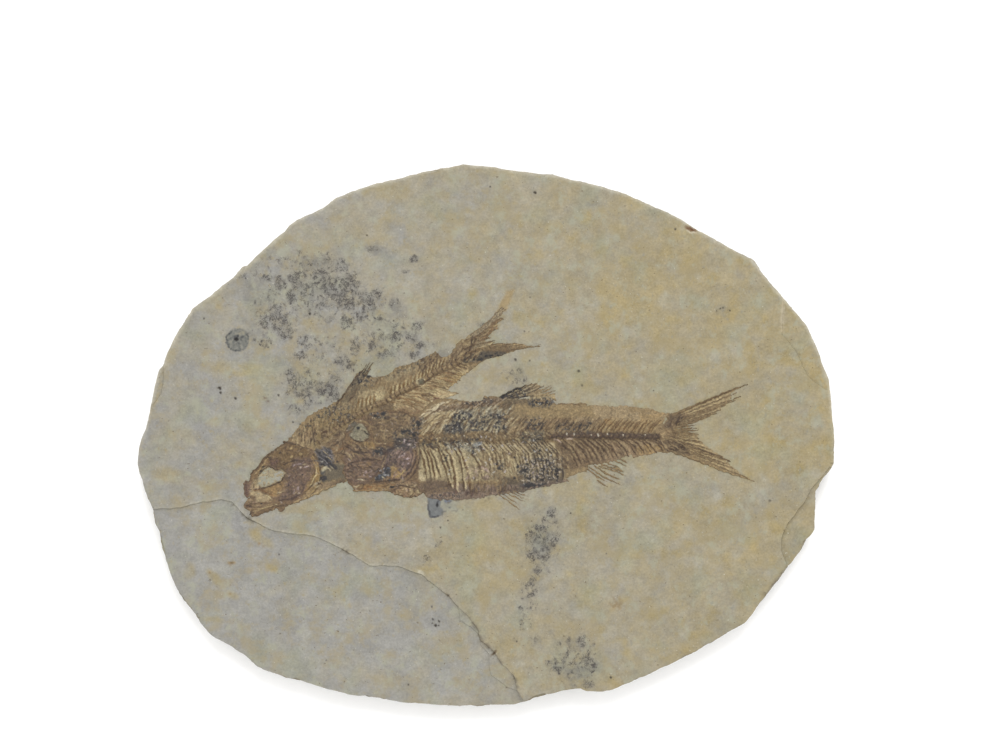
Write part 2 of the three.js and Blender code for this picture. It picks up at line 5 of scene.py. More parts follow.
import bpy
import numpy as np
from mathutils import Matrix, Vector
from mathutils.geometry import delaunay_2d_cdt


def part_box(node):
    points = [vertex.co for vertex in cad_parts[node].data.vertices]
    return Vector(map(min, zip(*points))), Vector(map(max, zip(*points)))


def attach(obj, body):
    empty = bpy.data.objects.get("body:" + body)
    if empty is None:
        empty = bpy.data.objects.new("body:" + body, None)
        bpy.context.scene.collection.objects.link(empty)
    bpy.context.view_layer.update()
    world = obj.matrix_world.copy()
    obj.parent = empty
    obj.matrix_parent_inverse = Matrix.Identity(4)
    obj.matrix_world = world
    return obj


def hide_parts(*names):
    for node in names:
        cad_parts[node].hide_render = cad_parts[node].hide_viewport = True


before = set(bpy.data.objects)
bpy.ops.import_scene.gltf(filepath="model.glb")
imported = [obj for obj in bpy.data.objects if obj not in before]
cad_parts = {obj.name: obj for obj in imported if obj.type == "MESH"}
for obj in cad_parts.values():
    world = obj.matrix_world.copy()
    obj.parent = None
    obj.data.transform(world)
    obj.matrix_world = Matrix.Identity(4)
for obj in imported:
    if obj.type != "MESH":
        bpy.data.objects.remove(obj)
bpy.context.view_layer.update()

# Lengths in this script are in millimetres on the plate, and meshes are written in metres
MM = 0.001
slab_low, slab_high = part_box("slab")
FACE = slab_high.z / MM
PLATE_LENGTH = (slab_high.x - slab_low.x) / MM
PLATE_WIDTH = (slab_high.y - slab_low.y) / MM

# The photograph: its size in pixels, the scale on the plate's face, and the pixel of the plate's centre
PHOTO_SIZE = (1008, 756)
MM_PER_PIXEL = 0.2177
PLATE_CENTRE_PIXEL = (486, 435)

# Colours below are given as seen: under the lights, a surface with this share of a colour looks like it
SURFACE_SHARE = 0.61


# Numbers and noise

# A length past any on the plate, and the least number that anything is divided by
FAR = 1e9
TINY = 1e-9

# Whole numbers that scatter a corner's column, row and seed, all 32 bits, and how many directions come out
COLUMN_FACTOR = 374761393
ROW_FACTOR = 668265263
SEED_FACTOR = 974634777
SCATTER_FACTOR = 1274126177
ALL_BITS = 0xFFFFFFFF
TURN_PARTS = 65536

# Brings the noise to about -1 to 1, and the step from one octave's seed to the next
NOISE_GAIN = 1.4
OCTAVE_SEED = 17


def smooth(low, high, value):
    """Rises from 0 at low to 1 at high with a level start and end, or falls where high is the lower."""
    share = np.clip((value - low) / (high - low), 0.0, 1.0)
    return share * share * (3.0 - 2.0 * share)


def mix(a, b, share):
    """The value that lies a share of the way from a to b."""
    return a + (b - a) * share


def corner_angle(column, row, seed):
    """A direction for a corner of the noise grid, the same on each run."""
    n = (column * COLUMN_FACTOR + row * ROW_FACTOR + seed * SEED_FACTOR) & ALL_BITS
    n = ((n ^ (n >> 13)) * SCATTER_FACTOR) & ALL_BITS
    return ((n ^ (n >> 16)) & (TURN_PARTS - 1)) * (2.0 * math.pi / TURN_PARTS)


def fade(share):
    """Runs from 0 to 1 so evenly that no seam shows between the cells of the noise grid."""
    return share * share * share * (share * (share * 6.0 - 15.0) + 10.0)


def noise(x, y, size, seed):
    """Smooth gradient noise from about -1 to 1, with bumps about as wide as size."""
    u = x / size
    v = y / size
    column = np.floor(u).astype(np.int64)
    row = np.floor(v).astype(np.int64)
    fu = u - column
    fv = v - row
    total = np.zeros(np.shape(u))
    wu = fade(fu)
    wv = fade(fv)
    for du in (0, 1):
        for dv in (0, 1):
            angle = corner_angle(column + du, row + dv, seed)
            slope = np.cos(angle) * (fu - du) + np.sin(angle) * (fv - dv)
            weight = (wu if du else 1.0 - wu) * (wv if dv else 1.0 - wv)
            total = total + slope * weight
    return total * NOISE_GAIN


def fbm(x, y, size, octaves, seed):
    """Noise in octaves, each half as wide and half as strong as the one before."""
    total = np.zeros(np.shape(x))
    strength = 1.0
    for octave in range(octaves):
        total = total + strength * noise(x, y, size / 2 ** octave, seed + OCTAVE_SEED * octave)
        strength *= 0.5
    return total


def tone(red, green, blue):
    """A colour as seen, from 0 to 255, as an array from 0 to 1."""
    return np.array((red, green, blue)) / 255.0


def linear(colour):
    """The light of a colour as seen, by the sRGB curve."""
    low = colour / 12.92
    high = ((np.maximum(colour, 0.0) + 0.055) / 1.055) ** 2.4
    return np.where(colour <= 0.04045, low, high)


# Shapes in the plane

def inside(x, y, outline):
    """True where a point lies inside a closed outline."""
    result = np.zeros(np.shape(x), bool)
    count = len(outline)
    for index in range(count):
        ax, ay = outline[index]
        bx, by = outline[(index + 1) % count]
        if ay == by:
            continue
        crosses = (ay > y) != (by > y)
        result ^= crosses & (x < (bx - ax) * (y - ay) / (by - ay) + ax)
    return result


def path_distance(x, y, path, closed=False):
    """Distance to a line of points, and the share of its length at the nearest place."""
    best = np.full(np.shape(x), FAR)
    share = np.zeros(np.shape(x))
    points = list(path) + ([path[0]] if closed else [])
    lengths = [math.dist(points[k], points[k + 1]) for k in range(len(points) - 1)]
    whole = max(sum(lengths), TINY)
    gone = 0.0
    for index, length in enumerate(lengths):
        ax, ay = points[index]
        bx, by = points[index + 1]
        dx = bx - ax
        dy = by - ay
        at = np.clip(((x - ax) * dx + (y - ay) * dy) / max(length * length, TINY), 0.0, 1.0)
        distance = np.hypot(x - ax - at * dx, y - ay - at * dy)
        nearer = distance < best
        best = np.where(nearer, distance, best)
        share = np.where(nearer, (gone + at * length) / whole, share)
        gone += length
    return best, share


def signed_distance(x, y, outline):
    """Distance to a closed outline, positive inside it."""
    distance, _ = path_distance(x, y, outline, closed=True)
    return np.where(inside(x, y, outline), distance, -distance)


def resampled(path, step, closed=False):
    """Points along a line, evenly spaced by about one step."""
    points = np.array(list(path) + ([path[0]] if closed else []), float)
    lengths = np.hypot(*np.diff(points, axis=0).T)
    along = np.concatenate(([0.0], np.cumsum(lengths)))
    count = max(int(round(along[-1] / step)), 2)
    places = np.linspace(0.0, along[-1], count + 1)
    if closed:
        places = places[:-1]
    return np.stack([np.interp(places, along, points[:, axis]) for axis in (0, 1)], axis=1)


def across(path, closed=False):
    """Unit vectors to the left of a line of points."""
    if closed:
        run = np.roll(path, -1, axis=0) - np.roll(path, 1, axis=0)
    else:
        run = np.gradient(path, axis=0)
    run = run / np.maximum(np.hypot(run[:, 0], run[:, 1]), TINY)[:, None]
    return np.stack([-run[:, 1], run[:, 0]], axis=1)


def arc(centre, radii, start, end, count=12):
    """Points along an ellipse from one angle to another, in degrees."""
    angles = np.radians(np.linspace(start, end, count))
    return [(centre[0] + radii[0] * math.cos(a), centre[1] + radii[1] * math.sin(a)) for a in angles]


def between(a, b, share):
    """The point that lies a share of the way from a to b."""
    return (mix(a[0], b[0], share), mix(a[1], b[1], share))


def shifted(path, along_x, along_y):
    """A line of points moved along x and y."""
    return [(x + along_x, y + along_y) for x, y in path]


def block(left, low, right, high):
    """The corners of an upright rectangle."""
    return [(left, low), (right, low), (right, high), (left, high)]


# The plate's outline and the edges where thin layers split off, as on the solid

RIM = [
    (-5, 59.2), (-2.6, 58.9), (0.4, 58.7), (3.3, 58.2), (7.4, 57.6), (12, 57), (14.6, 56.9), (18.5, 55.8),
    (24, 54.5), (28.3, 53.3), (31.2, 52.3), (34.9, 50.6), (39.5, 48.8), (42.7, 47), (46.4, 44.6),
    (49.9, 42.8), (53.4, 40.7), (58.1, 38.4), (59, 37.3), (60.1, 35.5), (62.9, 32), (67.4, 27), (70.1, 23.8),
    (70.9, 22), (72.4, 18.7), (73.7, 15), (74.8, 12.2), (75.4, 7.6), (75.6, 3.3), (76.2, -1.3), (75.9, -3.5),
    (76, -6.3), (74.8, -8.1), (73.2, -10.2), (72, -12.4), (71.9, -15.3), (71.8, -20.7), (71.2, -21.8),
    (70, -23.1), (69.3, -24.5), (66.7, -28.1), (63.1, -32.7), (60.4, -36.3), (57.8, -39.7), (56.5, -41.2),
    (53.3, -42.9), (49.9, -45), (46.7, -46.8), (40.8, -49.9), (35.2, -52.5), (29.6, -54.9), (26.8, -56),
    (24.1, -56.2), (22.1, -56.1), (20.7, -55.5), (19.4, -55.5), (16.6, -56), (13, -56.9), (8.6, -58.3),
    (6.5, -59), (2.4, -59), (-2, -59.3), (-8.1, -59.3), (-12.2, -59), (-18, -58.6), (-23.8, -57.7),
    (-29.6, -56.9), (-36.2, -55.2), (-40, -53.9), (-42.4, -53.4), (-47.3, -51.8), (-50, -50.7),
    (-52.8, -48.1), (-56.5, -46), (-59.8, -44), (-61.4, -42.3), (-63.9, -39.2), (-65.9, -36.5), (-67.5, -34),
    (-68.4, -31.6), (-70.5, -25.5), (-71.3, -23), (-71.3, -21.2), (-72.2, -19.1), (-72.5, -16.6),
    (-73.7, -13.7), (-74.5, -11.9), (-74.9, -9.8), (-75.6, -8.3), (-76.1, -6.3), (-75.9, -3.7),
    (-75.3, -1.3), (-74.3, 1.3), (-73.7, 3.7), (-73, 7.1), (-72.4, 10.5), (-71.4, 14.2), (-70.3, 15.5),
    (-69.6, 17.9), (-67.9, 21.4), (-66, 24.4), (-64, 27.5), (-62.3, 28.8), (-59.9, 30.5), (-57.1, 32.9),
    (-54.6, 34.9), (-53.2, 36.8), (-52.1, 37.1), (-50.4, 38.8), (-46.8, 42.1), (-44, 44.4), (-42.9, 45.8),
    (-41.2, 47), (-38.4, 48.2), (-35.6, 49.6), (-33.2, 51.4), (-29.7, 53), (-26.2, 54.2), (-21.4, 55.4),
    (-16.6, 56.7), (-11.6, 57.9), (-7.8, 58.6),
]

SPALL_EDGE = [
    (-80, -16.6), (-71.5, -16.1), (-66.5, -15.8), (-61.7, -14.6), (-57.8, -14), (-55.4, -14.6),
    (-54.2, -15.7), (-53.4, -16.6), (-51.8, -18.2), (-49.4, -19.4), (-47.6, -20.4), (-44.9, -21.1),
    (-37.6, -22), (-34.5, -23.3), (-30.4, -25.3), (-25.3, -28.4), (-19.1, -28.6), (-14, -30.5),
    (-8.8, -34.6), (-3.7, -39.7), (-1.8, -42.4), (-1.1, -44.9), (-0.2, -45.6), (1.5, -46.9), (3.5, -50),
    (6.3, -52.6), (6.8, -55.6), (8.5, -58.4), (9.5, -64),
]
FLAKE_EDGE = [
    (-6.6, -36.6), (-5.9, -38.2), (-5.7, -40.2), (-3.4, -41.8), (-1.5, -43.6), (-1.2, -45.7), (0.6, -47.6),
    (1, -52.2), (2.8, -53.4), (4.6, -54.9), (6.7, -55.7), (7.9, -58.4), (8.6, -64),
]
# Points past the rim that close the area below each of the two edges above
FACE_CORNER = [(-20, -80), (-90, -70)]
FLAKE_CORNER = [(20, -64), (12, -40), (2, -36)]
EAST_LEDGE = [
    (64.9, 31.5), (64.6, 26.2), (64.4, 21.8), (65.9, 20.4), (67.6, 18.1), (68.5, 16.1), (69.8, 13.1),
    (71.7, 11.6), (73.9, 9.9), (77, 9), (90, 20), (72, 40),
]
SOUTH_EAST_LEDGE = [
    (78, -5.6), (75.4, -6.1), (73.2, -8.9), (70.9, -11.6), (69.3, -14.6), (67.6, -16.9), (65.6, -19.4),
    (64.3, -22.7), (64.2, -25.3), (65.1, -26.9), (65.4, -28.3), (64.5, -30.3), (62.6, -32.5), (60.6, -35.2),
    (58.6, -37.6), (70, -50), (90, -20),
]
WEST_CHIP = [
    (-70.4, 16), (-70.2, 12.2), (-70.6, 9.2), (-71.6, 7.6), (-72.9, 6.2), (-73.6, 4.2), (-80, 2), (-80, 18),
]
BACK_SCARS = [
    [(-80, 12), (-58, 15), (-44, 27), (-38, 44), (-30, 70), (-90, 60)],
    [(22, -70), (26, -48), (40, -36), (58, -30), (90, -30), (70, -80)],
]

# How far each split layer lies below the face, and the back scars above the back
SPALL_DROP = 0.42
FLAKE_DROP = 0.2
EAST_DROP = 0.3
SOUTH_EAST_DROP = 0.7
WEST_DROP = 0.4
BACK_SCAR_DEPTH = 0.9

# The small breaks of an edge: how wide they are, and how finely the ledges and the scars are cut
BREAK_SIZE = 2.6
LEDGE_STEP = 0.25
SCAR_STEP = 0.5

# Unevenness of a split bed: its slow swell, its small bumps, and how far it lies low on the whole
SLOW_SWELL = 0.07
SMALL_SWELL = 0.018
SWELL_LOW = 0.05


def fitted(points):
    """Points centred on the plate, and stretched to the solid's exact length and width."""
    points = points - (points.max(axis=0) + points.min(axis=0)) / 2.0
    return points * np.array((PLATE_LENGTH, PLATE_WIDTH)) / (points.max(axis=0) - points.min(axis=0))


def ragged(path, step, swing, seed, closed=False):
    """A line of points cut finer, with small breaks that wander to either side."""
    points = resampled(path, step, closed)
    shift = fbm(points[:, 0], points[:, 1], BREAK_SIZE, 3, seed) * swing
    return points + across(points, closed) * shift[:, None]


def broken_edge(edge, swing, seed, closed=True, step=LEDGE_STEP):
    """A ragged edge as a list of points."""
    return list(map(tuple, ragged(edge, step, swing, seed, closed)))


SPALL = broken_edge(SPALL_EDGE, 0.16, 5, closed=False) + FACE_CORNER
FLAKE_LINE = broken_edge(FLAKE_EDGE, 0.12, 6, closed=False)
FLAKE = FLAKE_LINE + FLAKE_CORNER
EAST = broken_edge(EAST_LEDGE, 0.14, 7)
SOUTH_EAST = broken_edge(SOUTH_EAST_LEDGE, 0.16, 8)
WEST = broken_edge(WEST_CHIP, 0.12, 9)
SCARS = [broken_edge(scar, 0.3, 11 + k, step=SCAR_STEP) for k, scar in enumerate(BACK_SCARS)]


def face_drop(x, y):
    """How far the face lies below its highest bed because layers have split off."""
    spalled = inside(x, y, SPALL)
    drop = np.where(spalled, SPALL_DROP, 0.0)
    drop = np.where(spalled & inside(x, y, FLAKE), FLAKE_DROP, drop)
    for chip, depth in ((EAST, EAST_DROP), (SOUTH_EAST, SOUTH_EAST_DROP), (WEST, WEST_DROP)):
        drop = np.where(inside(x, y, chip), depth, drop)
    return drop


def face_swell(x, y):
    """Gentle unevenness of a split bed."""
    return SLOW_SWELL * fbm(x, y, 22.0, 2, 31) + SMALL_SWELL * fbm(x, y, 3.2, 3, 37) - SWELL_LOW


def face_height(x, y):
    """Height of the plate's face, with its ledges and its swell."""
    return FACE + face_swell(x, y) - face_drop(x, y)


# Mesh making

# Across a ledge the face falls within this length, and other points keep this far away from its edge
CLIFF_RUN = 0.16
LEDGE_ROOM = 0.4

# Rows of a hexagonal field lie this share of the step apart
ROW_SHARE = 0.866

# The border and the ledges are thinned by these counts where only the distance to them matters
RING_THINNED = 3
LEDGE_THINNED = 4

# Points nearer than this are one point to the triangulation, in millimetres or in steps of a grid
SAME_POINT = 1e-6
SAME_CORNER = 1e-7


def mesh_piece(name, vertices, faces, colours, weights):
    """A mesh object from points in millimetres, with colours as seen and named weights."""
    mesh = bpy.data.meshes.new(name)
    mesh.from_pydata((np.asarray(vertices) * MM).tolist(), [], [list(face) for face in faces])
    mesh.update()
    layer = mesh.attributes.new("tone", "FLOAT_COLOR", "POINT")
    values = np.ones((len(vertices), 4), np.float32)
    values[:, :3] = linear(np.clip(colours, 0.0, 1.0)) * SURFACE_SHARE
    layer.data.foreach_set("color", values.ravel())
    for key, values in weights.items():
        layer = mesh.attributes.new(key, "FLOAT", "POINT")
        layer.data.foreach_set("value", np.asarray(values, np.float32))
    mesh.polygons.foreach_set("use_smooth", [True] * len(mesh.polygons))
    piece = bpy.data.objects.new(name, mesh)
    bpy.context.scene.collection.objects.link(piece)
    return piece


def triangulated(points, ring_count):
    """Triangles over a cloud of points whose first ring_count points are its closed border."""
    cloud = [Vector((float(x), float(y))) for x, y in points]
    border = [(k, (k + 1) % ring_count) for k in range(ring_count)]
    _, _, faces, origins, _, _ = delaunay_2d_cdt(cloud, border, [], 1, SAME_POINT)
    first = [place[0] if place else -1 for place in origins]
    return [tuple(first[k] for k in face) for face in faces if all(first[k] >= 0 for k in face)]


def hexagonal(low, high, step):
    """Points over a box, in rows that are shifted by half a step in turn."""
    rows = np.arange(low[1], high[1], step * ROW_SHARE)
    columns = np.arange(low[0], high[0], step)
    x, y = np.meshgrid(columns, rows)
    x = x + (np.arange(len(rows)) % 2)[:, None] * step / 2.0
    return np.stack([x.ravel(), y.ravel()], axis=1)


def beside(line, half):
    """Two rows of points, one at each side of a line."""
    points = np.array(line)
    side = across(points) * half
    return np.concatenate([points + side, points - side])


def face_cloud(ring, step, ledges, finer):
    """Points over one face of the plate: its border, the rows along its ledges, and a hexagonal field."""
    border = list(map(tuple, ring))[::RING_THINNED]
    room = 0.5 * step
    rows = np.concatenate([beside(ledge, CLIFF_RUN / 2.0) for ledge in ledges])
    rows = rows[signed_distance(*rows.T, border) > room]
    field = hexagonal(ring.min(axis=0), ring.max(axis=0), step)
    for low, high, fine_step in finer:
        middle = (np.array(low) + high) / 2.0
        outside = (np.abs(field - middle) > (np.array(high) - low) / 2.0).any(axis=1)
        field = np.concatenate([field[outside], hexagonal(low, high, fine_step)])
    keep = signed_distance(*field.T, border) > room
    for ledge in ledges:
        keep &= path_distance(*field.T, ledge[::LEDGE_THINNED])[0] >= LEDGE_ROOM
    return np.concatenate([ring, rows, field[keep]])


# Painting

# Colours of stain, bone, film and mineral, as seen, in red, green and blue up to 255; the lilac and the
# glint colour are painted highlights
INK = (38, 36, 36)
NIGHT = (60, 59, 62)
SLATE = (92, 93, 93)
UMBER = (68, 52, 38)
DARK = (92, 73, 52)
BROWN = (118, 98, 72)
TAN = (138, 119, 89)
SAND = (158, 141, 109)
RUST = (128, 94, 60)
PLUM = (112, 94, 83)
LILAC_GLINT = (180, 166, 172)
CREAM = (182, 169, 136)
IVORY = (206, 196, 170)
GLINT = (198, 192, 176)

# How far the borders of painted shapes wander
WANDER = 0.16


class Canvas:
    """Points on the face with a colour and a height above the stone, and strokes that change them."""

    def __init__(self, x, y, colour, seed):
        self.seed = seed
        self.x = x
        self.y = y
        self.wx = x + WANDER * fbm(x, y, 1.0, 3, seed)
        self.wy = y + WANDER * fbm(x, y, 1.0, 3, seed + 2)
        self.height = np.zeros(x.shape)
        self.tone = np.zeros(x.shape + (3,)) + colour
        self.shine = np.zeros(x.shape)

    def window(self, points, reach):
        """Picks the points around a shape."""
        low = np.min(points, axis=0) - reach
        high = np.max(points, axis=0) + reach
        return (self.x > low[0]) & (self.x < high[0]) & (self.y > low[1]) & (self.y < high[1])

    def grain(self, cut, size, octaves, key):
        """Noise over some of the points, told apart by its key."""
        return fbm(self.x[cut], self.y[cut], size, octaves, self.seed + key)

    def paint(self, cut, cover, colour, rise=0.0, shine=None):
        """Colours some of the points as far as each is covered, and raises them."""
        cover = np.clip(cover, 0.0, 1.0)
        self.tone[cut] = mix(self.tone[cut], tone(*colour), cover[..., None])
        if rise:
            self.height[cut] += rise * cover
        if shine is not None:
            self.shine[cut] = mix(self.shine[cut], shine, cover)

    def area(self, outline, colour, amount=0.9, soft=0.4, rise=0.0, broken=0.35, shine=None):
        """Colours an area inside an outline, with patches where the old colour shows through."""
        cut = self.window(outline, soft + 0.5)
        away = signed_distance(self.wx[cut], self.wy[cut], outline)
        gaps = smooth(0.0, 0.7, self.grain(cut, 1.0, 3, 40 + len(outline)))
        cover = smooth(-soft, soft, away + 0.35 * self.grain(cut, 1.4, 2, 45)) * (1.0 - broken * gaps)
        self.paint(cut, cover * amount, colour, rise, shine)

    def blob(self, centre, radii, turn, colour, amount=0.9, rise=0.0, soft=0.5, ragged_by=0.3):
        """A ragged spot, given by its centre, half lengths and turn in degrees."""
        cut = self.window([centre], max(radii) * 1.5)
        angle = math.radians(turn)
        dx = self.x[cut] - centre[0]
        dy = self.y[cut] - centre[1]
        u = (dx * math.cos(angle) + dy * math.sin(angle)) / radii[0]
        v = (dy * math.cos(angle) - dx * math.sin(angle)) / radii[1]
        away = np.hypot(u, v) + ragged_by * self.grain(cut, 0.7, 3, 60)
        self.paint(cut, (1.0 - smooth(1.0 - soft, 1.0 + 0.3 * soft, away)) * amount, colour, rise)

    def line(self, path, width, colour, amount=0.7, rise=0.0, shine=None):
        """A thin painted line with fading ends, cut in where its rise is below nought."""
        cut = self.window(path, width + 0.3)
        distance, share = path_distance(self.wx[cut], self.wy[cut], path)
        ends = np.sin(np.pi * np.clip(share * 0.94 + 0.03, 0.0, 1.0)) ** 0.4
        cover = (1.0 - smooth(0.24 * width, 0.58 * width, distance)) * ends
        cover = cover * (1.0 + 0.6 * self.grain(cut, 0.9, 2, 23))
        self.paint(cut, cover * amount, colour, rise, shine)

    def lines(self, items, amount=0.85):
        """Lines given by path, width and colour."""
        for path, width, colour in items:
            self.line(path, width, colour, amount)

    def areas(self, items, soft=0.4):
        """Areas given by outline, colour and amount."""
        for outline, colour, amount in items:
            self.area(outline, colour, amount, soft)

    def blobs(self, items, amount=0.9, rise=0.02):
        """Spots given by x and y, long and short half length, turn and colour."""
        for x, y, long_way, short_way, turn, colour in items:
            self.blob((x, y), (long_way, short_way), turn, colour, amount, rise)

    def hatch(self, outline, angle, spread, length, width, colours, count, seed, amount=0.75, rise=0.04,
              shine=None):
        """Many short bent strokes strewn over an area, turned by an angle and its spread in degrees."""
        draw = np.random.default_rng(seed)
        low = np.min(outline, axis=0)
        high = np.max(outline, axis=0)
        places = draw.uniform(low, high, (count * 6, 2))
        places = places[inside(places[:, 0], places[:, 1], outline)][:count]
        for k, (x, y) in enumerate(places):
            turn = math.radians(angle + draw.normal(0.0, spread))
            half = 0.5 * length * draw.uniform(0.5, 1.5)
            bend = draw.uniform(-0.25, 0.25) * half
            dx = half * math.cos(turn)
            dy = half * math.sin(turn)
            middle = (x - bend * math.sin(turn), y + bend * math.cos(turn))
            path = ((x - dx, y - dy), middle, (x + dx, y + dy))
            self.line(path, width * draw.uniform(0.7, 1.4), colours[k % len(colours)], amount, rise, shine)

    def specks(self, outline, size, colour, amount, seed, low=0.3, high=0.55, rise=0.0, soft=0.6):
        """Scattered grains or glints in an area."""
        cut = self.window(outline, soft)
        cover = smooth(low, high, self.grain(cut, size, 3, seed))
        cover = cover * smooth(-soft, soft, signed_distance(self.wx[cut], self.wy[cut], outline))
        self.paint(cut, cover * amount, colour, rise)

    def mineral(self, outline, strength, seed):
        """Black crystals in a thin grey haze, grown over bone and stone alike, with a few pale glints
        painted as highlights.
        """
        spread = 0.22 * strength
        amount = 0.4 + 0.5 * strength
        self.specks(outline, 1.6, SLATE, 0.36 * strength, seed, -0.1, 0.7)
        self.specks(outline, 0.8, NIGHT, amount, seed + 1, 0.4 - spread, 0.56 - spread, 0.02)
        self.specks(outline, 0.6, INK, amount + 0.1, seed + 2, 0.45 - spread, 0.55 - spread, 0.03)
        self.specks(outline, 0.5, GLINT, amount, seed + 3, 0.74 - spread, 0.86 - spread, 0.02)


# The stone plate

STONE_GREY = tone(162, 159, 150)
STONE_TAN = tone(171, 158, 125)
STONE_OCHRE = tone(171, 151, 98)
STONE_PALE = tone(177, 174, 161)
STONE_BLUE_GREY = tone(150, 149, 149)
STONE_GREEN = tone(160, 162, 138)
HAZE = tone(118, 119, 118)
MINERAL_DARK = (70, 65, 64)
MINERAL_HALO = (126, 122, 117)

# Clouds in the stone below are given by x and y, two half widths, turn in degrees and strength

# Black mineral growths
MINERAL_CLOUDS = [
    (-37, 31.5, 13, 8.5, -15, 0.5), (-46, 25, 6, 6.5, 0, 0.45), (-36, 18, 8, 6, 0, 0.34),
    (-37.5, 10.5, 8, 5, 0, 0.5), (-21, 21, 8.5, 5.5, 0, 0.42), (-26.5, 28.5, 4.5, 5, 0, 0.5),
    (12, -24, 4.4, 7.5, -12, 0.5), (19.5, -49.5, 6, 5.5, 0, 0.5), (9.4, -36, 2.6, 7, -10, 0.4),
    (-35.8, 34, 2.6, 2.8, 0, 0.9), (-34, 31.5, 3.8, 2.2, -20, 1), (-31, 29, 3.4, 2.5, -20, 1),
    (-30, 33, 3.2, 3.2, 0, 0.85), (-32, 36.5, 3.2, 2.2, 0, 0.6), (-36, 37.5, 3.5, 2.4, 0, 0.5),
    (-41.5, 34, 2.7, 3, 0, 0.78), (-44.5, 33, 2.3, 1.6, -20, 0.75), (-42.5, 30, 1.9, 2.5, 0, 0.85),
    (-47.5, 34.3, 3.4, 0.9, 0, 0.5), (-26, 29, 2.3, 2.9, 0, 0.85), (-24, 31, 1.7, 2, 0, 0.7),
    (-26.5, 26, 2.5, 1.3, 20, 0.65), (-36, 28, 2.5, 2, 0, 0.55), (-45, 24.4, 3.2, 2.6, -40, 0.85),
    (-43.4, 22.2, 2.6, 1.6, 0, 0.8), (-48.5, 25, 1.3, 2.1, 30, 0.75), (-48, 20, 3, 1.6, -15, 0.6),
    (-52, 34.6, 2.3, 0.8, 0, 0.5), (-30.8, 24.2, 1.7, 2.3, 0, 0.8), (-39, 25.8, 2, 0.9, 0, 0.45),
    (-40, 20, 2.5, 2.4, 0, 0.55), (-40.6, 17.2, 1.8, 1.3, 0, 0.65), (-42, 12, 1.8, 3.8, 10, 0.62),
    (-40, 9, 2.6, 1.3, 0, 0.78), (-35, 10, 3.4, 2.3, -20, 0.85), (-33, 12, 2.2, 1.5, 0, 0.68),
    (-31, 15.8, 3.8, 1.7, -15, 0.7), (-28.4, 19, 1.4, 3.1, 0, 0.68), (-24.6, 19.6, 1.3, 1.5, 0, 0.8),
    (-21.8, 17.4, 2.7, 1.1, 0, 0.66), (-19.6, 21.4, 1.6, 2, 0, 0.85), (-19.8, 28, 2, 1.7, 0, 0.5),
    (-15, 23.6, 1.6, 1.3, 0, 0.8), (-15.8, 21, 1.4, 1.5, 0, 0.7), (-14.4, 19.6, 1.6, 1.1, 0, 0.78),
    (-15.6, 17.6, 1.6, 1.1, 0, 0.95), (-11, 19.4, 1.1, 0.9, 0, 0.5), (-41.8, 5.6, 1.6, 1.7, 0, 0.68),
    (-38.5, 6, 1.1, 1.7, 0, 0.45), (-15.6, 38.4, 1.1, 0.9, 0, 0.95), (-17.6, 35.6, 1.3, 0.7, 0, 0.6),
    (-25, 40.6, 1.7, 1.1, 0, 0.62), (-23, 25.4, 1.6, 1, 0, 0.6), (-1, 24.2, 1, 0.9, 0, 0.6),
    (14.2, -17, 1.3, 1.5, 0, 0.85), (15, -18.6, 1, 0.8, 0, 0.85), (12.8, -18.8, 1.5, 0.9, 0, 0.68),
    (11.6, -20.2, 1.8, 1.5, 0, 0.78), (9.6, -21.6, 1.4, 1.9, 0, 0.72), (11.2, -23, 2.6, 1.9, 0, 0.85),
    (14.6, -23.4, 1.3, 1.3, 0, 0.92), (13, -24.8, 1.9, 1.1, 0, 0.92), (10.6, -26.2, 1.9, 1.1, 0, 1),
    (11.2, -29.4, 1.3, 1, 0, 0.95), (13.4, -29.6, 0.9, 1.2, 0, 0.6), (10, -31.8, 0.9, 1.5, -20, 0.85),
    (9.8, -34.7, 1.2, 0.8, 20, 0.85), (7.6, -37.6, 1.2, 0.6, 0, 0.78), (7.8, -41.4, 1.1, 1.6, 0, 0.5),
    (18, -45, 0.9, 1.7, 0, 0.6), (20.7, -45, 1.1, 1.7, 0, 0.85), (23.4, -45.6, 0.7, 0.8, 0, 0.6),
    (17.6, -49, 1.3, 1.1, 0, 0.72), (15.6, -51, 1.7, 1.2, 0, 0.68), (22.6, -49.4, 1.7, 1, 0, 0.85),
    (23.4, -50.8, 0.9, 1.3, 0, 0.75), (18.6, -51.4, 2.3, 1.7, 0, 0.5), (22.4, -54.4, 1.7, 1, 0, 0.68),
    (13.6, -49.2, 0.9, 0.7, 0, 0.6), (10.6, -45, 1.3, 1.1, 0, 0.4), (-10.6, -23.6, 1.3, 0.9, 0, 0.58),
    (-12.6, -27.6, 1.4, 1.7, 0, 0.42), (6, 13.4, 3, 1.6, 0, 0.42), (7.6, 11.9, 2.4, 0.9, 20, 0.5),
]
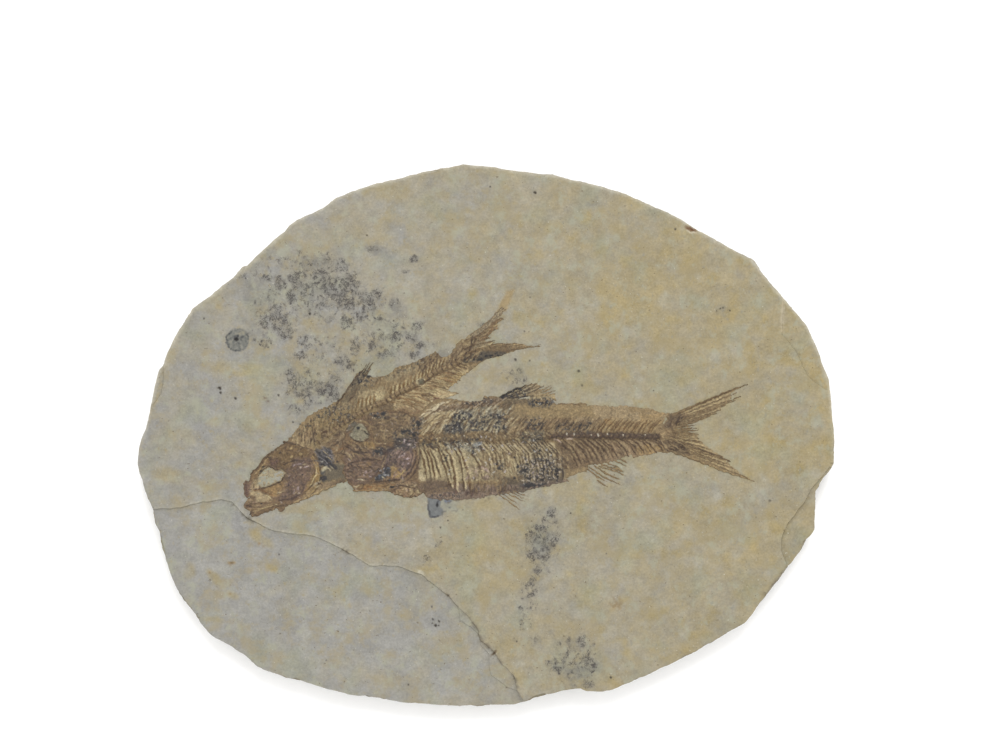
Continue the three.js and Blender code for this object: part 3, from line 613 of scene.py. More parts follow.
# Smooth grey haze in the stone, without specks
HAZE_CLOUDS = [
    (-52.6, 25.4, 2.4, 2, 0, 0.3), (-40.8, 25.2, 1.8, 1.6, 0, 0.3), (-51.8, 29.6, 2.6, 1.6, 0, 0.2),
    (-50.2, 22.2, 3.4, 2.4, 0, 0.4), (-43.4, 15.8, 3, 2.4, 0, 0.4), (-39.6, 4.2, 3, 2, 35, 0.35),
    (-37, 37.5, 4.5, 2.2, 0, 0.45), (-51, 32.6, 3.5, 2.5, 0, 0.4), (-19.8, 27.6, 2.4, 2, 0, 0.42),
    (-24, 40.4, 2.6, 1.6, 0, 0.35), (-20.5, 39.5, 1.6, 1.2, 0, 0.3), (-35, 31, 7, 4.5, 0, 0.32),
    (-45, 25, 3, 3.2, 0, 0.32), (-30.5, 24, 1.6, 1.8, 0, 0.35), (-33, 15.6, 3.8, 1.6, 0, 0.22),
    (-41.5, 12, 2.4, 5, 0, 0.3), (-34.5, 10, 3.6, 2.8, 0, 0.28), (-36, 7, 2.4, 1, 0, 0.3),
    (-9.5, 18, 2.2, 1.4, 0, 0.35), (-19.5, 21.5, 2.6, 2.4, 0, 0.32), (-14.6, 20.5, 2.2, 3.2, 0, 0.28),
    (-24.8, 19.5, 2, 2.2, 0, 0.15), (12, -23, 4, 4.8, -15, 0.5), (10.4, -30.6, 1.6, 3.2, 0, 0.4),
    (20.5, -51.5, 4.8, 3.8, 0, 0.55), (20, -46, 2.6, 2.2, 0, 0.35), (7.8, -39, 1.8, 3.4, 0, 0.25),
    (10.6, -45, 2, 1.8, 0, 0.25), (16, -50, 3, 2.6, 0, 0.35), (6.4, 12.6, 3.6, 2.2, 10, 0.2),
    (-36.2, -21.6, 0.8, 0.6, 0, 0.4), (23.4, 50.2, 1.4, 0.9, 0, 0.45), (51.7, 27.2, 2.4, 1.6, 0, 0.3),
    (-11.2, -40.4, 1.5, 1.5, 0, 0.3), (-5.6, -54, 2.2, 1.6, 0, 0.25), (-49.5, 28.5, 3, 4, 0, 0.22),
]
# Ochre and rust stains
OCHRE_CLOUDS = [
    (-52.8, 14.2, 3.2, 1.5, 0, 0.75), (-37.2, -15.6, 3.4, 1.5, 15, 0.5), (-31, -14.2, 2, 1.2, 15, 0.3),
    (-56.5, 14.6, 2.4, 1.6, 0, 0.4), (-50, -21.9, 1.5, 1.2, -60, 0.7), (-47.6, -23.4, 1.7, 1, -35, 0.5),
    (-59.2, -31, 2.2, 0.9, -45, 0.6), (-55.2, -34.9, 1.5, 0.8, -25, 0.7),
    (-59.8, -40.2, 2.2, 0.8, -10, 0.55), (-64.6, -29.8, 1.2, 1.9, 0, 0.6), (28.9, 44, 2.2, 1.8, 0, 0.4),
    (33.7, 35, 4, 2.4, 10, 0.4), (26, 31, 2.4, 3.4, 0, 0.35), (-46.7, -28.9, 1.5, 0.8, -25, 0.85),
    (43, 38.6, 3.4, 2.2, 0, 0.35), (2.2, 42, 1.8, 1.6, 0, 0.35), (-21, 53, 3.4, 2.2, 0, 0.3),
    (-9.6, 52.2, 1.6, 1, 0, 0.35), (13.8, 45.2, 1, 1.2, 0, 0.35), (71.5, -2.4, 0.9, 1.2, 0, 0.5),
    (-58.2, 27.9, 0.8, 0.7, 0, 0.5), (23, 10.4, 2.6, 1.6, -20, 0.45), (-68.5, -8.8, 4, 1.6, -10, 0.45),
    (-60.5, -11.5, 1, 0.8, 20, 0.5), (3, -44, 5, 2.4, -40, 0.25), (-64.2, -0.2, 1.8, 1.6, 0, 0.35),
    (0.6, -15, 3, 1.6, 0, 0.5), (20, -12.4, 6, 1.8, -20, 0.25), (-50.5, 2, 3, 2, 0, 0.3),
    (-53.5, 14, 2, 1.6, 0, 0.3), (-73.4, 5.6, 0.5, 1.6, 10, 0.6), (-57, -11, 0.9, 0.9, 0, 0.4),
    (46, -20, 6, 2, 10, 0.2), (30, 30, 9, 5, 0, 0.18), (3.2, -33, 4, 3, 0, 0.25), (-2, -24, 5, 3, 0, 0.25),
    (8, 20.6, 3, 1.6, 20, 0.25),
]
# Areas where the stone is yellower
WARM_CLOUDS = [
    (38, 28, 30, 18, -20, 0.3), (-1, -26, 12, 11, 0, 0.42), (58, 4, 12, 18, 0, 0.15),
    (8, 44, 26, 8, 0, 0.16), (10, -46, 14, 8, 0, 0.2),
]
# Single dark grains: x and y, size and darkness
GRAINS = [
    (-58, 10.2, 0.42, 0.85), (-57.8, 9.2, 0.34, 0.85), (-54.6, 8, 0.36, 0.9), (-38.4, 26.4, 0.36, 1),
    (10.7, 52.8, 0.42, 0.9), (27.2, -52.8, 0.34, 0.8), (0.9, 54.1, 0.26, 0.8), (-61.4, 25.4, 0.28, 0.6),
    (41.2, 44.8, 0.3, 0.7), (-34.8, -49.1, 0.22, 0.8), (-16.9, -54.4, 0.28, 0.7), (-25.9, 43.5, 0.24, 0.8),
    (61.8, -14.3, 0.4, 0.4), (6.7, -44.9, 0.26, 0.6), (20.9, 10.8, 0.36, 0.5), (36.5, 9.7, 0.26, 0.6),
    (6.4, 16.4, 0.38, 0.7), (9.5, 16.2, 0.26, 0.5), (20.2, 13.9, 0.45, 0.7), (9.6, 30, 0.3, 0.4),
    (8.4, 22.6, 0.26, 0.5), (-42, 2.8, 0.26, 0.8), (-40.4, 2.3, 0.3, 0.8), (-45.2, 8.7, 0.34, 0.75),
    (18.4, -17, 0.24, 0.8), (-8.3, -18.6, 0.24, 0.8), (-5, -16.3, 0.2, 0.7), (-9.9, -20.1, 0.34, 0.5),
    (-23.2, 23, 0.22, 0.7), (-20.1, 24.9, 0.24, 0.8), (26.2, -25.8, 0.2, 0.5), (-45.1, -26, 0.24, 0.6),
    (-17.8, 30.9, 0.2, 0.5), (-8.2, -34.9, 0.3, 0.6), (-11.8, -37.4, 0.32, 0.55), (-11.6, -40.1, 0.3, 0.8),
    (-10.2, -40.6, 0.34, 0.75), (-11, -41.5, 0.42, 0.85), (-11.7, -41, 0.26, 0.75),
    (-10.3, -41.5, 0.22, 0.7), (51, 27.5, 0.24, 0.8), (53.1, 27.1, 0.24, 0.8), (50.2, 27, 0.2, 0.7),
    (51.6, 27.7, 0.2, 0.7),
]
# Boxes of the face that carry fine marks: two corners and the spacing of their points
FINE_BOXES = [
    ((-58, -2), (-6, 43), 0.4), ((-57.4, 17.6), (-50.6, 23.9), 0.24), ((-13.6, -18.8), (-5.6, -13.4), 0.24),
    ((1.6, 26), (7.4, 32.6), 0.36), ((26.6, -38.8), (30.4, -35), 0.3), ((0.4, -49), (3, -46.4), 0.24),
    ((-15.8, -31), (-12.8, -28.6), 0.24), ((42.6, 43.4), (46.8, 46.4), 0.24),
]
FINE_BOXES += [((x - 0.6, y - 0.6), (x + 0.6, y + 0.6), 0.2) for x, y, _, _ in GRAINS]

# Spacing of the points on the face and on the back, and the angle in degrees that stays a sharp edge
FACE_SPACING = 0.6
BACK_SPACING = 1.9
SHARP_EDGE = 32.0

# Spacing of the rim's points, how far its small breaks swing, and how far inside the chips the face ends
RIM_STEP = 0.42
RIM_SWING = 0.1
BORDER_ROOM = 0.15

# The wall begins this far below the face
BORDER_LOW = 0.05

# The back: how rough it is, and its colour's share of the face's
BACK_ROUGHNESS = 0.12
BACK_SHADE = 0.97

# The wall: height shares where its thin beds part, and the radius of the circle that its noise runs on
BEDS = (0.985, 0.93, 0.86, 0.78, 0.735, 0.66, 0.57, 0.5, 0.44, 0.37, 0.29, 0.22, 0.13, 0.06, 0.0)
NOISE_CIRCLE = 60.0

# How far the wall stands back below a share of its height: the share, then depth, swing, the number of
# waves round the plate and where they start
LEANS = (
    (1.0, 0.22, 0.2, 9, 1.2),
    (0.76, 0.04, 0.0, 0, 0.0),
    (0.27, 0.5, 0.4, 11, 2.1),
    (0.1, 1.3, 0.6, 7, 0.4),
)
WALL_DARK = tone(158, 151, 132)
WALL_PALE = tone(182, 172, 146)
WALL_RUST = tone(160, 136, 98)
# Pale colour painted as highlight on the wall's upper part towards the light
WALL_LIT = tone(224, 217, 198)


def cloud_cover(x, y, clouds, seed, edge=0.55):
    """How far points are covered by soft clouds with wandering borders."""
    total = np.zeros(np.shape(x))
    wander = fbm(x, y, 3.4, 3, seed)
    for cx, cy, rx, ry, turn, strength in clouds:
        size = 2.0 * max(rx, ry)
        near = (np.abs(x - cx) < size) & (np.abs(y - cy) < size)
        if not near.any():
            continue
        angle = math.radians(turn)
        dx = x[near] - cx
        dy = y[near] - cy
        u = (dx * math.cos(angle) + dy * math.sin(angle)) / rx
        v = (dy * math.cos(angle) - dx * math.sin(angle)) / ry
        reach = np.hypot(u, v) + 0.35 * wander[near]
        cover = strength * (1.0 - smooth(edge, 1.4, reach))
        total[near] = np.maximum(total[near], cover)
    return total


def stone_tones(x, y):
    """Colour of the bare plate at points on its face."""
    rim_gap = signed_distance(x, y, RIM)
    spalled = inside(x, y, SPALL)
    warm = 0.42 + 0.0052 * x + 0.12 * (1.0 - smooth(0.0, 9.0, rim_gap))
    warm = np.where(spalled, warm - 0.34, warm + cloud_cover(x, y, WARM_CLOUDS, 53, 0.1))
    warm = warm + 0.34 * fbm(x, y, 8.0, 4, 51) + 0.2 * fbm(x, y, 2.2, 3, 52)
    colour = mix(STONE_GREY, STONE_TAN, np.clip(warm, -0.1, 1.2)[..., None])
    ochre = smooth(0.35, 1.0, fbm(x, y, 4.6, 4, 61) + 0.004 * x) * np.where(spalled, 0.2, 0.6)
    ochre = np.maximum(ochre, cloud_cover(x, y, OCHRE_CLOUDS, 63))
    colour = mix(colour, STONE_OCHRE, (ochre * 0.75)[..., None])
    pale = smooth(0.3, 1.0, fbm(x, y, 5.2, 4, 71)) * 0.6
    colour = mix(colour, STONE_PALE, pale[..., None])
    cool = smooth(0.35, 1.0, fbm(x, y, 6.5, 4, 81) - 0.004 * x) * 0.36
    colour = mix(colour, STONE_BLUE_GREY, cool[..., None])
    green = smooth(0.0, 0.9, fbm(x, y, 9.0, 3, 85)) * 0.45
    colour = mix(colour, STONE_GREEN, green[..., None])
    colour = colour * (1.0 + 0.016 * fbm(x, y, 14.0, 3, 86))[..., None]
    grey = cloud_cover(x, y, HAZE_CLOUDS, 83, 0.2) * (0.75 + 0.6 * fbm(x, y, 1.3, 3, 84))
    grey = np.maximum(grey, 0.24 * cloud_cover(x, y, MINERAL_CLOUDS, 87, 0.3))
    return mix(colour, HAZE, np.clip(grey, 0.0, 1.0)[..., None])


def ledge_shade_and_highlights(canvas):
    """Painted highlight on the ledge's edge, dirt and painted shade at its foot, painted shadow below it,
    painted highlight on the rim, and marks.
    """
    # Painted highlight: a pale line on the ledge's broken edge, which also lightens the step's shade
    canvas.line(SPALL_EDGE, 0.5, (200, 194, 174), 0.42)
    # Dark lines at the ledge's foot: dirt there, and painted shade of the step
    canvas.line(SPALL_EDGE[17:], 0.44, (104, 94, 78), 0.26)
    canvas.line(SPALL_EDGE[19:25], 0.4, (92, 82, 66), 0.4)
    whole = slice(None)
    # Painted highlight: a pale band along the rim, only on the upper side, towards the light
    rim_highlight = smooth(0.9, 0.15, path_distance(canvas.x, canvas.y, RIM, closed=True)[0])
    rim_highlight = rim_highlight * smooth(-20, 15, canvas.y)
    canvas.paint(whole, rim_highlight * (0.75 + 0.4 * canvas.grain(whole, 5, 2, 4)), (206, 200, 182))
    # Painted shadow: a soft dark band on the lower layer just below the ledge
    ledge_shadow = smooth(1.5, 0, path_distance(canvas.x, canvas.y, SPALL_EDGE)[0])
    ledge_shadow = ledge_shadow * inside(canvas.x, canvas.y, SPALL)
    canvas.paint(whole, ledge_shadow * (0.14 + 0.2 * canvas.grain(whole, 4, 2, 3)), (122, 117, 102))
    canvas.lines((
        ([(-53.6, -16.8), (-52, -18.2), (-50, -19.2)], 0.5, (112, 106, 92)),
        ([(-31.4, -24.8), (-29.4, -26.1)], 0.36, (118, 110, 94)),
        ([(-8.8, -34.6), (-7.8, -35.2)], 0.4, (118, 104, 80)),
        ([(5.6, -52.2), (6.5, -53.4), (6.8, -55)], 0.36, (104, 98, 84)),
        ([(1, -48.1), (1.7, -47.5), (2.3, -47)], 0.6, (88, 72, 52)),
        ([(65, -29.6), (63.2, -31.9), (60.6, -35.4)], 0.8, (122, 110, 90)),
        ([(43.6, 45.3), (44.5, 44.8), (45.8, 44.4)], 1, (104, 72, 46)),
        ([(43.7, 44.6), (44.8, 44), (46.2, 44.2)], 0.36, (208, 198, 174)),
    ))
    canvas.lines((
        ([(-14.9, -29.6), (-14.2, -29.9), (-13.7, -30.4)], 1.1, (196, 190, 170)),
        ([(57.8, 37.8), (59.2, 36.4), (60.4, 34.8)], 0.7, (208, 202, 186)),
        ([(-54.6, 34.4), (-51.4, 37), (-47.6, 40.6), (-43.6, 44)], 1, (184, 178, 158)),
        ([(-64, 26.4), (-60, 29.6), (-56.6, 32.4)], 0.6, (178, 172, 150)),
        ([(-70.6, 12.8), (-71.4, 8.6), (-72.8, 5.2)], 0.7, (176, 164, 134)),
        # Painted highlight on the lit edge of the east ledge
        ([(64.9, 31), (64.6, 26.2), (64.4, 22.2)], 0.6, (200, 188, 162)),
    ))


def stone_marks(canvas):
    """Single growths and stains on the plate's face."""
    centre = (-54.1, 20.7)
    disc = arc(centre, (2.4, 2.4), 55, 390, 22)
    canvas.area(disc, (124, 124, 117), 0.95, 0.2, broken=0.3)
    canvas.specks(disc, 0.7, (92, 93, 92), 0.7, 36, 0.1, 0.5, soft=0.2)
    canvas.specks(disc, 0.8, (150, 148, 138), 0.7, 37, 0.1, 0.5, soft=0.2)
    canvas.area([(-53.9, 23.2), (-52, 22.6), (-52.6, 21.8), (-53.6, 21.6)], (150, 147, 134), 0.7, 0.3)
    draw = np.random.default_rng(31)
    for start in range(60, 400, 13):
        reach = 2.4 + draw.uniform(-0.14, 0.14)
        strength = (0.85 if 115 < start < 300 else 0.4) * draw.uniform(0.5, 1)
        dash = arc(centre, (reach, reach), start, start + 9, 3)
        canvas.line(dash, draw.uniform(0.34, 0.56), (62, 64, 66), strength)
    canvas.lines((
        ([(-53.4, 21.2), (-52.6, 21.5)], 0.6, (92, 93, 92)),
        ([(-52.4, 21.9), (-51.6, 22.2)], 0.4, (84, 85, 84)),
        ([(-54.9, 20.9), (-54.2, 21.6)], 0.5, (78, 78, 78)),
    ), 0.8)
    canvas.blobs(((-54.35, 20.85, 0.6, 0.5, 20, INK), (-54, 21.6, 0.35, 0.35, 0, (72, 72, 72))), 0.95, 0)

    growth = [(-12.7, -13.6), (-12.8, -15.2), (-12.5, -16.6), (-12.1, -17.8), (-11.4, -18), (-10.2, -17.6),
              (-9.6, -17.2), (-9.5, -16.6), (-9.9, -15.6), (-9.6, -13.8)]
    canvas.area([(-10.2, -13.6), (-9.6, -16.6), (-6.3, -16.6), (-6, -13.8)], (150, 150, 138), 0.6, 0.3,
                broken=0.2)
    canvas.area(growth, (118, 120, 120), 0.95, 0.2, broken=0.1)
    canvas.lines((
        ([(-12.5, -14.4), (-12.7, -15.4), (-12.4, -16.6), (-12.1, -17.7)], 0.5, (78, 78, 80)),
        ([(-12.1, -17.8), (-11.4, -17.9), (-10.2, -17.6)], 0.55, (70, 70, 74)),
        ([(-9.6, -17.5), (-9.5, -16.8), (-8.6, -16.6)], 0.36, (112, 110, 104)),
        ([(-7.6, -16.6), (-6.4, -16.7), (-6.1, -16.2)], 0.3, (122, 116, 104)),
        ([(-10.6, -15.6), (-10.6, -14.8), (-10.2, -14.2), (-9.4, -14.2)], 0.5, (58, 60, 66)),
    ))
    canvas.blobs(((-10.6, -15.2, 0.3, 0.5, 0, INK), (-8.3, -14.4, 0.9, 0.5, 0, (104, 110, 126)),
                  (-7.9, -15.8, 0.4, 0.3, 0, (122, 122, 116))), 0.75, 0)

    canvas.area([(2, 26.4), (3.2, 29), (4.6, 31.2), (6.5, 32.2), (5.4, 29.4), (4.4, 27)], (166, 144, 103),
                0.8)
    canvas.hatch(block(27.4, -37.9, 29.7, -35.7), 45, 50, 1.4, 0.5, ((150, 130, 98), (160, 142, 108)), 12,
                 77, 0.5)
    canvas.blobs(((-55.4, -27.9, 0.95, 0.55, 10, (152, 126, 82)),
                  (-55.6, -27.8, 0.4, 0.26, 0, (118, 94, 62)), (-60.4, -30, 0.5, 0.24, -50, (146, 124, 88)),
                  (-55.8, -34.5, 0.6, 0.26, -30, (148, 128, 92)),
                  (-48.9, -23.9, 1.1, 0.2, -30, (148, 124, 88)), (-50.6, -21, 0.3, 0.2, 0, (140, 112, 70))),
                 0.8, 0)
    canvas.lines((([(-48.6, 8.3), (-47.9, 8), (-47.5, 7.3)], 0.4, (112, 94, 82)),
                  ([(-58.6, 10.2), (-57.6, 10.4)], 0.36, (78, 68, 56))))
    canvas.hatch([(-12, -13.6), (2, -13), (8, -12), (2, -14.4), (-8, -14.8)], 0, 20, 0.5, 0.3,
                 ((112, 100, 82), (178, 170, 150)), 40, 78)
    for x, y, size, darkness in GRAINS:
        canvas.blob((x, y), (size, size * 0.8), 360 * size, (56, 50, 44), darkness, 0)


def wall_lean(share, angle):
    """How far the wall stands back at a share of its height, for each angle round the plate."""
    for top, depth, swing, waves, start in LEANS:
        if share < top:
            lean = depth + swing * np.sin(waves * angle + start)
    return lean


def wall_rings(ring, face_z, chip):
    """Rings down the broken wall: thin beds that stand out by different amounts."""
    count = len(ring)
    angle = np.arange(count) / count * 2.0 * math.pi
    cx = NOISE_CIRCLE * np.cos(angle)
    cy = NOISE_CIRCLE * np.sin(angle)
    radius = np.hypot(ring[:, 0], ring[:, 1])
    rings = []
    for index, (top, low) in enumerate(zip(BEDS[:-1], BEDS[1:])):
        bite = 0.45 * np.abs(fbm(cx + 31.0 * index, cy, 5.0, 4, 101 + index))
        bite = bite + 0.5 * smooth(0.35, 0.9, noise(cx, cy + 13.0 * index, 11.0, 140 + index))
        inset = wall_lean((top + low) / 2.0, angle) + bite + (chip if index == 0 else 0.0)
        share = (1.0 - inset / radius)[:, None]
        wobble = 0.012 * noise(cx, cy, 6.0, 170 + index)
        for level in (top, low):
            height = face_z * np.clip(level + (wobble if 0.02 < level < 0.95 else 0.0), 0.0, 1.0)
            grain = 1.0 + 0.0008 * noise(cx * 3.0, cy * 3.0 + level * 40.0, 1.4, 190)
            rings.append(np.column_stack([ring * share * grain[:, None], height]))
    return rings


def wall_tones(vertices, bed):
    """Colours of one bed in the wall: a tone of its own, streaks, rust, and a pale painted highlight near
    the top on the side towards the light.
    """
    x, y, z = vertices.T
    colour = mix(WALL_DARK, WALL_PALE, 0.5 + 0.5 * math.sin(bed * 2.4))
    colour = colour + 0.035 * noise(x + y, z * 6.0, 3.0, 201)[..., None]
    rust = smooth(0.4, 1.0, fbm(x - y, z * 3.0 + 9.0 * bed, 7.0, 3, 211))[..., None]
    colour = mix(colour, WALL_RUST, rust * 0.5)
    # Painted highlight: paler upper wall on the side towards the light
    lit_top = smooth(-20.0, 15.0, y) * smooth(0.55, 0.75, z / FACE)
    return mix(colour, WALL_LIT, 0.75 * lit_top[..., None])


def back_heights(x, y):
    """Heights of points on the back: a rough split plane with shallow scars."""
    scar = inside(x, y, SCARS[0]) | inside(x, y, SCARS[1])
    rough = np.maximum(0.0, BACK_ROUGHNESS * fbm(x, y, 9.0, 4, 221))
    return np.where(scar, BACK_SCAR_DEPTH, 0.0) + rough


def make_slab():
    """The plate as one closed mesh: its face, the rings of its wall and its back."""
    ring = fitted(ragged(fitted(np.array(RIM)), RIM_STEP, RIM_SWING, 3, closed=True))
    count = len(ring)
    chip = 0.12 + 0.5 * smooth(0.1, 0.9, fbm(ring[:, 0], ring[:, 1], 7.0, 3, 91))
    border = ring * (1.0 - (chip + BORDER_ROOM) / np.hypot(ring[:, 0], ring[:, 1]))[:, None]
    cloud = face_cloud(border, FACE_SPACING, [SPALL[:-2], FLAKE_LINE, EAST, SOUTH_EAST, WEST], FINE_BOXES)
    x, y = cloud.T
    bare = stone_tones(x, y)
    canvas = Canvas(x, y, bare, 900)
    ledge_shade_and_highlights(canvas)
    stone_marks(canvas)
    top = np.column_stack([cloud, face_height(x, y)])

    walls = wall_rings(ring, top[:count, 2] - BORDER_LOW, chip)
    back_cloud = face_cloud(walls[-1][:, :2], BACK_SPACING, SCARS, [])
    back_z = back_heights(*back_cloud.T)
    walls[-2][:, 2] = np.maximum(walls[-2][:, 2], back_z[:count] + BACK_ROUGHNESS)
    walls[-1] = np.column_stack([back_cloud, back_z])

    faces = triangulated(cloud, count)
    above = np.arange(count)
    offset = len(top)
    for points in walls:
        here = np.arange(count) + offset
        faces += zip(above, np.roll(above, -1), np.roll(here, -1), here)
        above = here
        offset += len(points)
    faces += [tuple(k + above[0] for k in reversed(face)) for face in triangulated(back_cloud, count)]
    shades = [wall_tones(points, (index + 1) // 2) for index, points in enumerate(walls[:-1])]
    shades.append(stone_tones(-back_cloud[:, 0], back_cloud[:, 1]) * BACK_SHADE)
    colours = np.concatenate([canvas.tone] + shades)

    below = (0, sum(map(len, walls)))
    weights = {
        "mineral": np.pad(cloud_cover(x, y, MINERAL_CLOUDS, 87, 0.35), below),
        "face": np.pad(np.ones(len(top)), below),
        "marked": np.pad(smooth(0.02, 0.1, np.abs(canvas.tone - bare).max(axis=1)), below),
    }
    piece = mesh_piece("slab_stone", np.concatenate([top] + walls), faces, colours, weights)
    piece.data.set_sharp_from_angle(angle=math.radians(SHARP_EDGE))
    return turned_outward(piece)


def turned_outward(piece):
    """Flips the whole mesh if its faces point inward."""
    mesh = piece.data
    volume = 0.0
    mesh.calc_loop_triangles()
    for triangle in mesh.loop_triangles:
        a, b, c = (mesh.vertices[k].co for k in triangle.vertices)
        volume += a.dot(b.cross(c))
    if volume < 0.0:
        mesh.flip_normals()
    return piece


# Materials

STONE_SPECULAR = 0.32
BONE_SPECULAR = 0.42
PAPER_SPECULAR = 0.1
PAPER_ROUGHNESS = 0.9
PAPER_WHITE = (0.97, 0.97, 0.97, 1.0)
BONE_RUST = (150, 116, 74)
BONE_GLOSS = 0.26
EVEN = (1.0, 1.0, 1.0)

# Shades that darken and lighten the stone: size, detail, darkest and palest, stretch along x, y and z
STONE_SHADES = (
    (0.5, 4.0, 0.9, 1.09, EVEN),
    (1.9, 4.0, 0.915, 1.08, (0.9, 1.1, 1.0)),
    (6.0, 3.0, 0.94, 1.055, (1.1, 0.9, 1.0)),
)

# Stains in the bare stone: size, detail, roughness, stretch, where the noise begins and ends to show
# them, how strongly, and their colour
STONE_STAINS = (
    (5.5, 6.0, 0.66, EVEN, 0.49, 0.66, 0.5, (167, 152, 113)),
    (3.4, 6.0, 0.68, (1.1, 0.9, 1.0), 0.52, 0.68, 0.6, (174, 174, 153)),
    (1.3, 4.0, 0.65, (1.0, 1.0, 3.0), 0.57, 0.75, 0.4, (167, 149, 97)),
    (1.1, 4.0, 0.65, (1.2, 0.8, 1.0), 0.58, 0.72, 0.4, (146, 147, 140)),
    (0.8, 3.0, 0.6, (1.3, 0.9, 1.0), 0.66, 0.76, 0.55, (196, 193, 178)),
    (0.55, 2.0, 0.5, (0.8, 1.1, 1.0), 0.7, 0.75, 0.7, (104, 90, 68)),
    (0.5, 2.0, 0.5, (1.2, 0.9, 1.0), 0.71, 0.76, 0.8, (206, 202, 186)),
)

# Shades of the bones: size, darkest and palest
BONE_SHADES = ((0.2, 0.76, 1.22), (0.42, 0.86, 1.13), (0.9, 0.94, 1.06))


def new_material(name):
    """A material with one shader, and its node tree and shader."""
    material = bpy.data.materials.new(name)
    material.use_nodes = True
    tree = material.node_tree
    tree.nodes.clear()
    output = tree.nodes.new("ShaderNodeOutputMaterial")
    shader = tree.nodes.new("ShaderNodeBsdfPrincipled")
    tree.links.new(shader.outputs[0], output.inputs[0])
    return material, tree, shader


class Nodes:
    """Short calls for the few node kinds that the materials use."""

    def __init__(self, tree):
        self.tree = tree
        self.place = tree.nodes.new("ShaderNodeTexCoord").outputs["Object"]

    def link(self, value, socket):
        """Feeds a socket from another one, or from a constant value."""
        if isinstance(value, bpy.types.NodeSocket):
            self.tree.links.new(value, socket)
        else:
            socket.default_value = value

    def attribute(self, name, output="Fac"):
        """A value or colour that the mesh carries at its points."""
        node = self.tree.nodes.new("ShaderNodeAttribute")
        node.attribute_name = name
        return node.outputs[output]

    def stretched(self, scale):
        """The place on the piece, scaled along x, y and z."""
        node = self.tree.nodes.new("ShaderNodeVectorMath")
        node.operation = "MULTIPLY"
        self.link(self.place, node.inputs[0])
        node.inputs[1].default_value = scale
        return node.outputs[0]

    def noise(self, size, detail=3.0, roughness=0.55, vector=None, distortion=0.0):
        """Noise whose bumps are about size millimetres wide, from 0 to 1."""
        node = self.tree.nodes.new("ShaderNodeTexNoise")
        self.link(self.place if vector is None else vector, node.inputs["Vector"])
        node.inputs["Scale"].default_value = 1.0 / (size * MM)
        node.inputs["Detail"].default_value = detail
        node.inputs["Roughness"].default_value = roughness
        node.inputs["Distortion"].default_value = distortion
        return node.outputs["Fac"]

    def math(self, operation, a, b=0.0):
        """A sum, product or the like of two values."""
        node = self.tree.nodes.new("ShaderNodeMath")
        node.operation = operation
        self.link(a, node.inputs[0])
        self.link(b, node.inputs[1])
        return node.outputs[0]

    def ramp(self, value, low, high, out_low=0.0, out_high=1.0):
        """Runs softly from out_low to out_high while the value goes from low to high."""
        node = self.tree.nodes.new("ShaderNodeMapRange")
        node.interpolation_type = "SMOOTHSTEP"
        self.link(value, node.inputs["Value"])
        for key, number in (("From Min", low), ("From Max", high), ("To Min", out_low),
                            ("To Max", out_high)):
            self.link(number, node.inputs[key])
        return node.outputs["Result"]

    def blend(self, share, first, second, mode="MIX"):
        """Blends two colours, the second over the first."""
        node = self.tree.nodes.new("ShaderNodeMix")
        node.data_type = "RGBA"
        node.blend_type = mode
        self.link(share, node.inputs[0])
        self.link(first, node.inputs[6])
        self.link(second, node.inputs[7])
        return node.outputs[2]

    def bump(self, height, distance, strength, normal=None):
        """Bumps of a distance in millimetres, over those of another normal if one is given."""
        node = self.tree.nodes.new("ShaderNodeBump")
        node.inputs["Strength"].default_value = strength
        node.inputs["Distance"].default_value = distance * MM
        self.link(height, node.inputs["Height"])
        if normal is not None:
            self.link(normal, node.inputs["Normal"])
        return node.outputs[0]


def rgba(colour):
    """A colour as seen for a shader's colour socket."""
    return (*(linear(tone(*colour)) * SURFACE_SHARE).tolist(), 1.0)


def shaded(n, colour, size, detail, low, high, place=None):
    """A colour that is darkened and lightened by noise."""
    shade = n.ramp(n.noise(size, detail, 0.62, place), 0.3, 0.7, low, high)
    return n.blend(1.0, colour, shade, "MULTIPLY")


def crests(n, size, detail, place, distortion):
    """Nought along the thin winding lines where noise crosses its middle value, and more beside them."""
    return n.math("ABSOLUTE", n.math("SUBTRACT", n.noise(size, detail, 0.6, place, distortion), 0.5))


def mineral_growths(n, colour):
    """Black growths: branching threads and finer twigs, knots and grit, in a thin grey halo."""
    mineral = n.attribute("mineral")
    ridge = crests(n, 1.25, 4.0, None, 1.6)
    patchy = n.noise(1.3, 3.0, 0.55, n.stretched((1.2, 0.9, 1.0)), 0.6)
    gate = n.math("SUBTRACT", patchy, n.ramp(mineral, 0.0, 1.0, 0.72, 0.37))
    thread = n.math("MULTIPLY", n.ramp(ridge, 0.07, 0.018), n.ramp(n.noise(0.9, 2.0, 0.5), 0.4, 0.54))
    branch = n.math("MULTIPLY", thread, n.ramp(gate, -0.1, 0.07))
    thin = crests(n, 0.72, 3.0, n.stretched((1.0, 1.15, 1.0)), 1.9)
    twig = n.math("MULTIPLY", n.ramp(thin, 0.06, 0.014), n.ramp(n.noise(1.5, 3.0, 0.6), 0.47, 0.58))
    twig = n.math("MULTIPLY", twig, n.ramp(gate, -0.2, 0.0))
    branch = n.math("MAXIMUM", branch, n.math("MULTIPLY", twig, 0.9))
    grit = n.ramp(n.math("ADD", n.noise(0.5, 3.0, 0.6), gate), 0.66, 0.76, 0.0, 0.75)
    knot = n.ramp(n.math("SUBTRACT", n.noise(0.8, 3.0, 0.6), ridge), 0.5, 0.6, 0.0, 1.0)
    knot = n.math("MULTIPLY", knot, n.ramp(gate, 0.1, 0.24))
    grown = n.math("MAXIMUM", n.math("MAXIMUM", branch, knot), grit)
    grown = n.math("MULTIPLY", n.math("MULTIPLY", grown, 0.86), n.ramp(mineral, 0.03, 0.2))
    halo = n.math("MULTIPLY", n.ramp(gate, -0.2, 0.16, 0.0, 0.36), n.ramp(mineral, 0.02, 0.4))
    colour = n.blend(halo, colour, rgba(MINERAL_HALO))
    return n.blend(grown, colour, rgba(MINERAL_DARK))


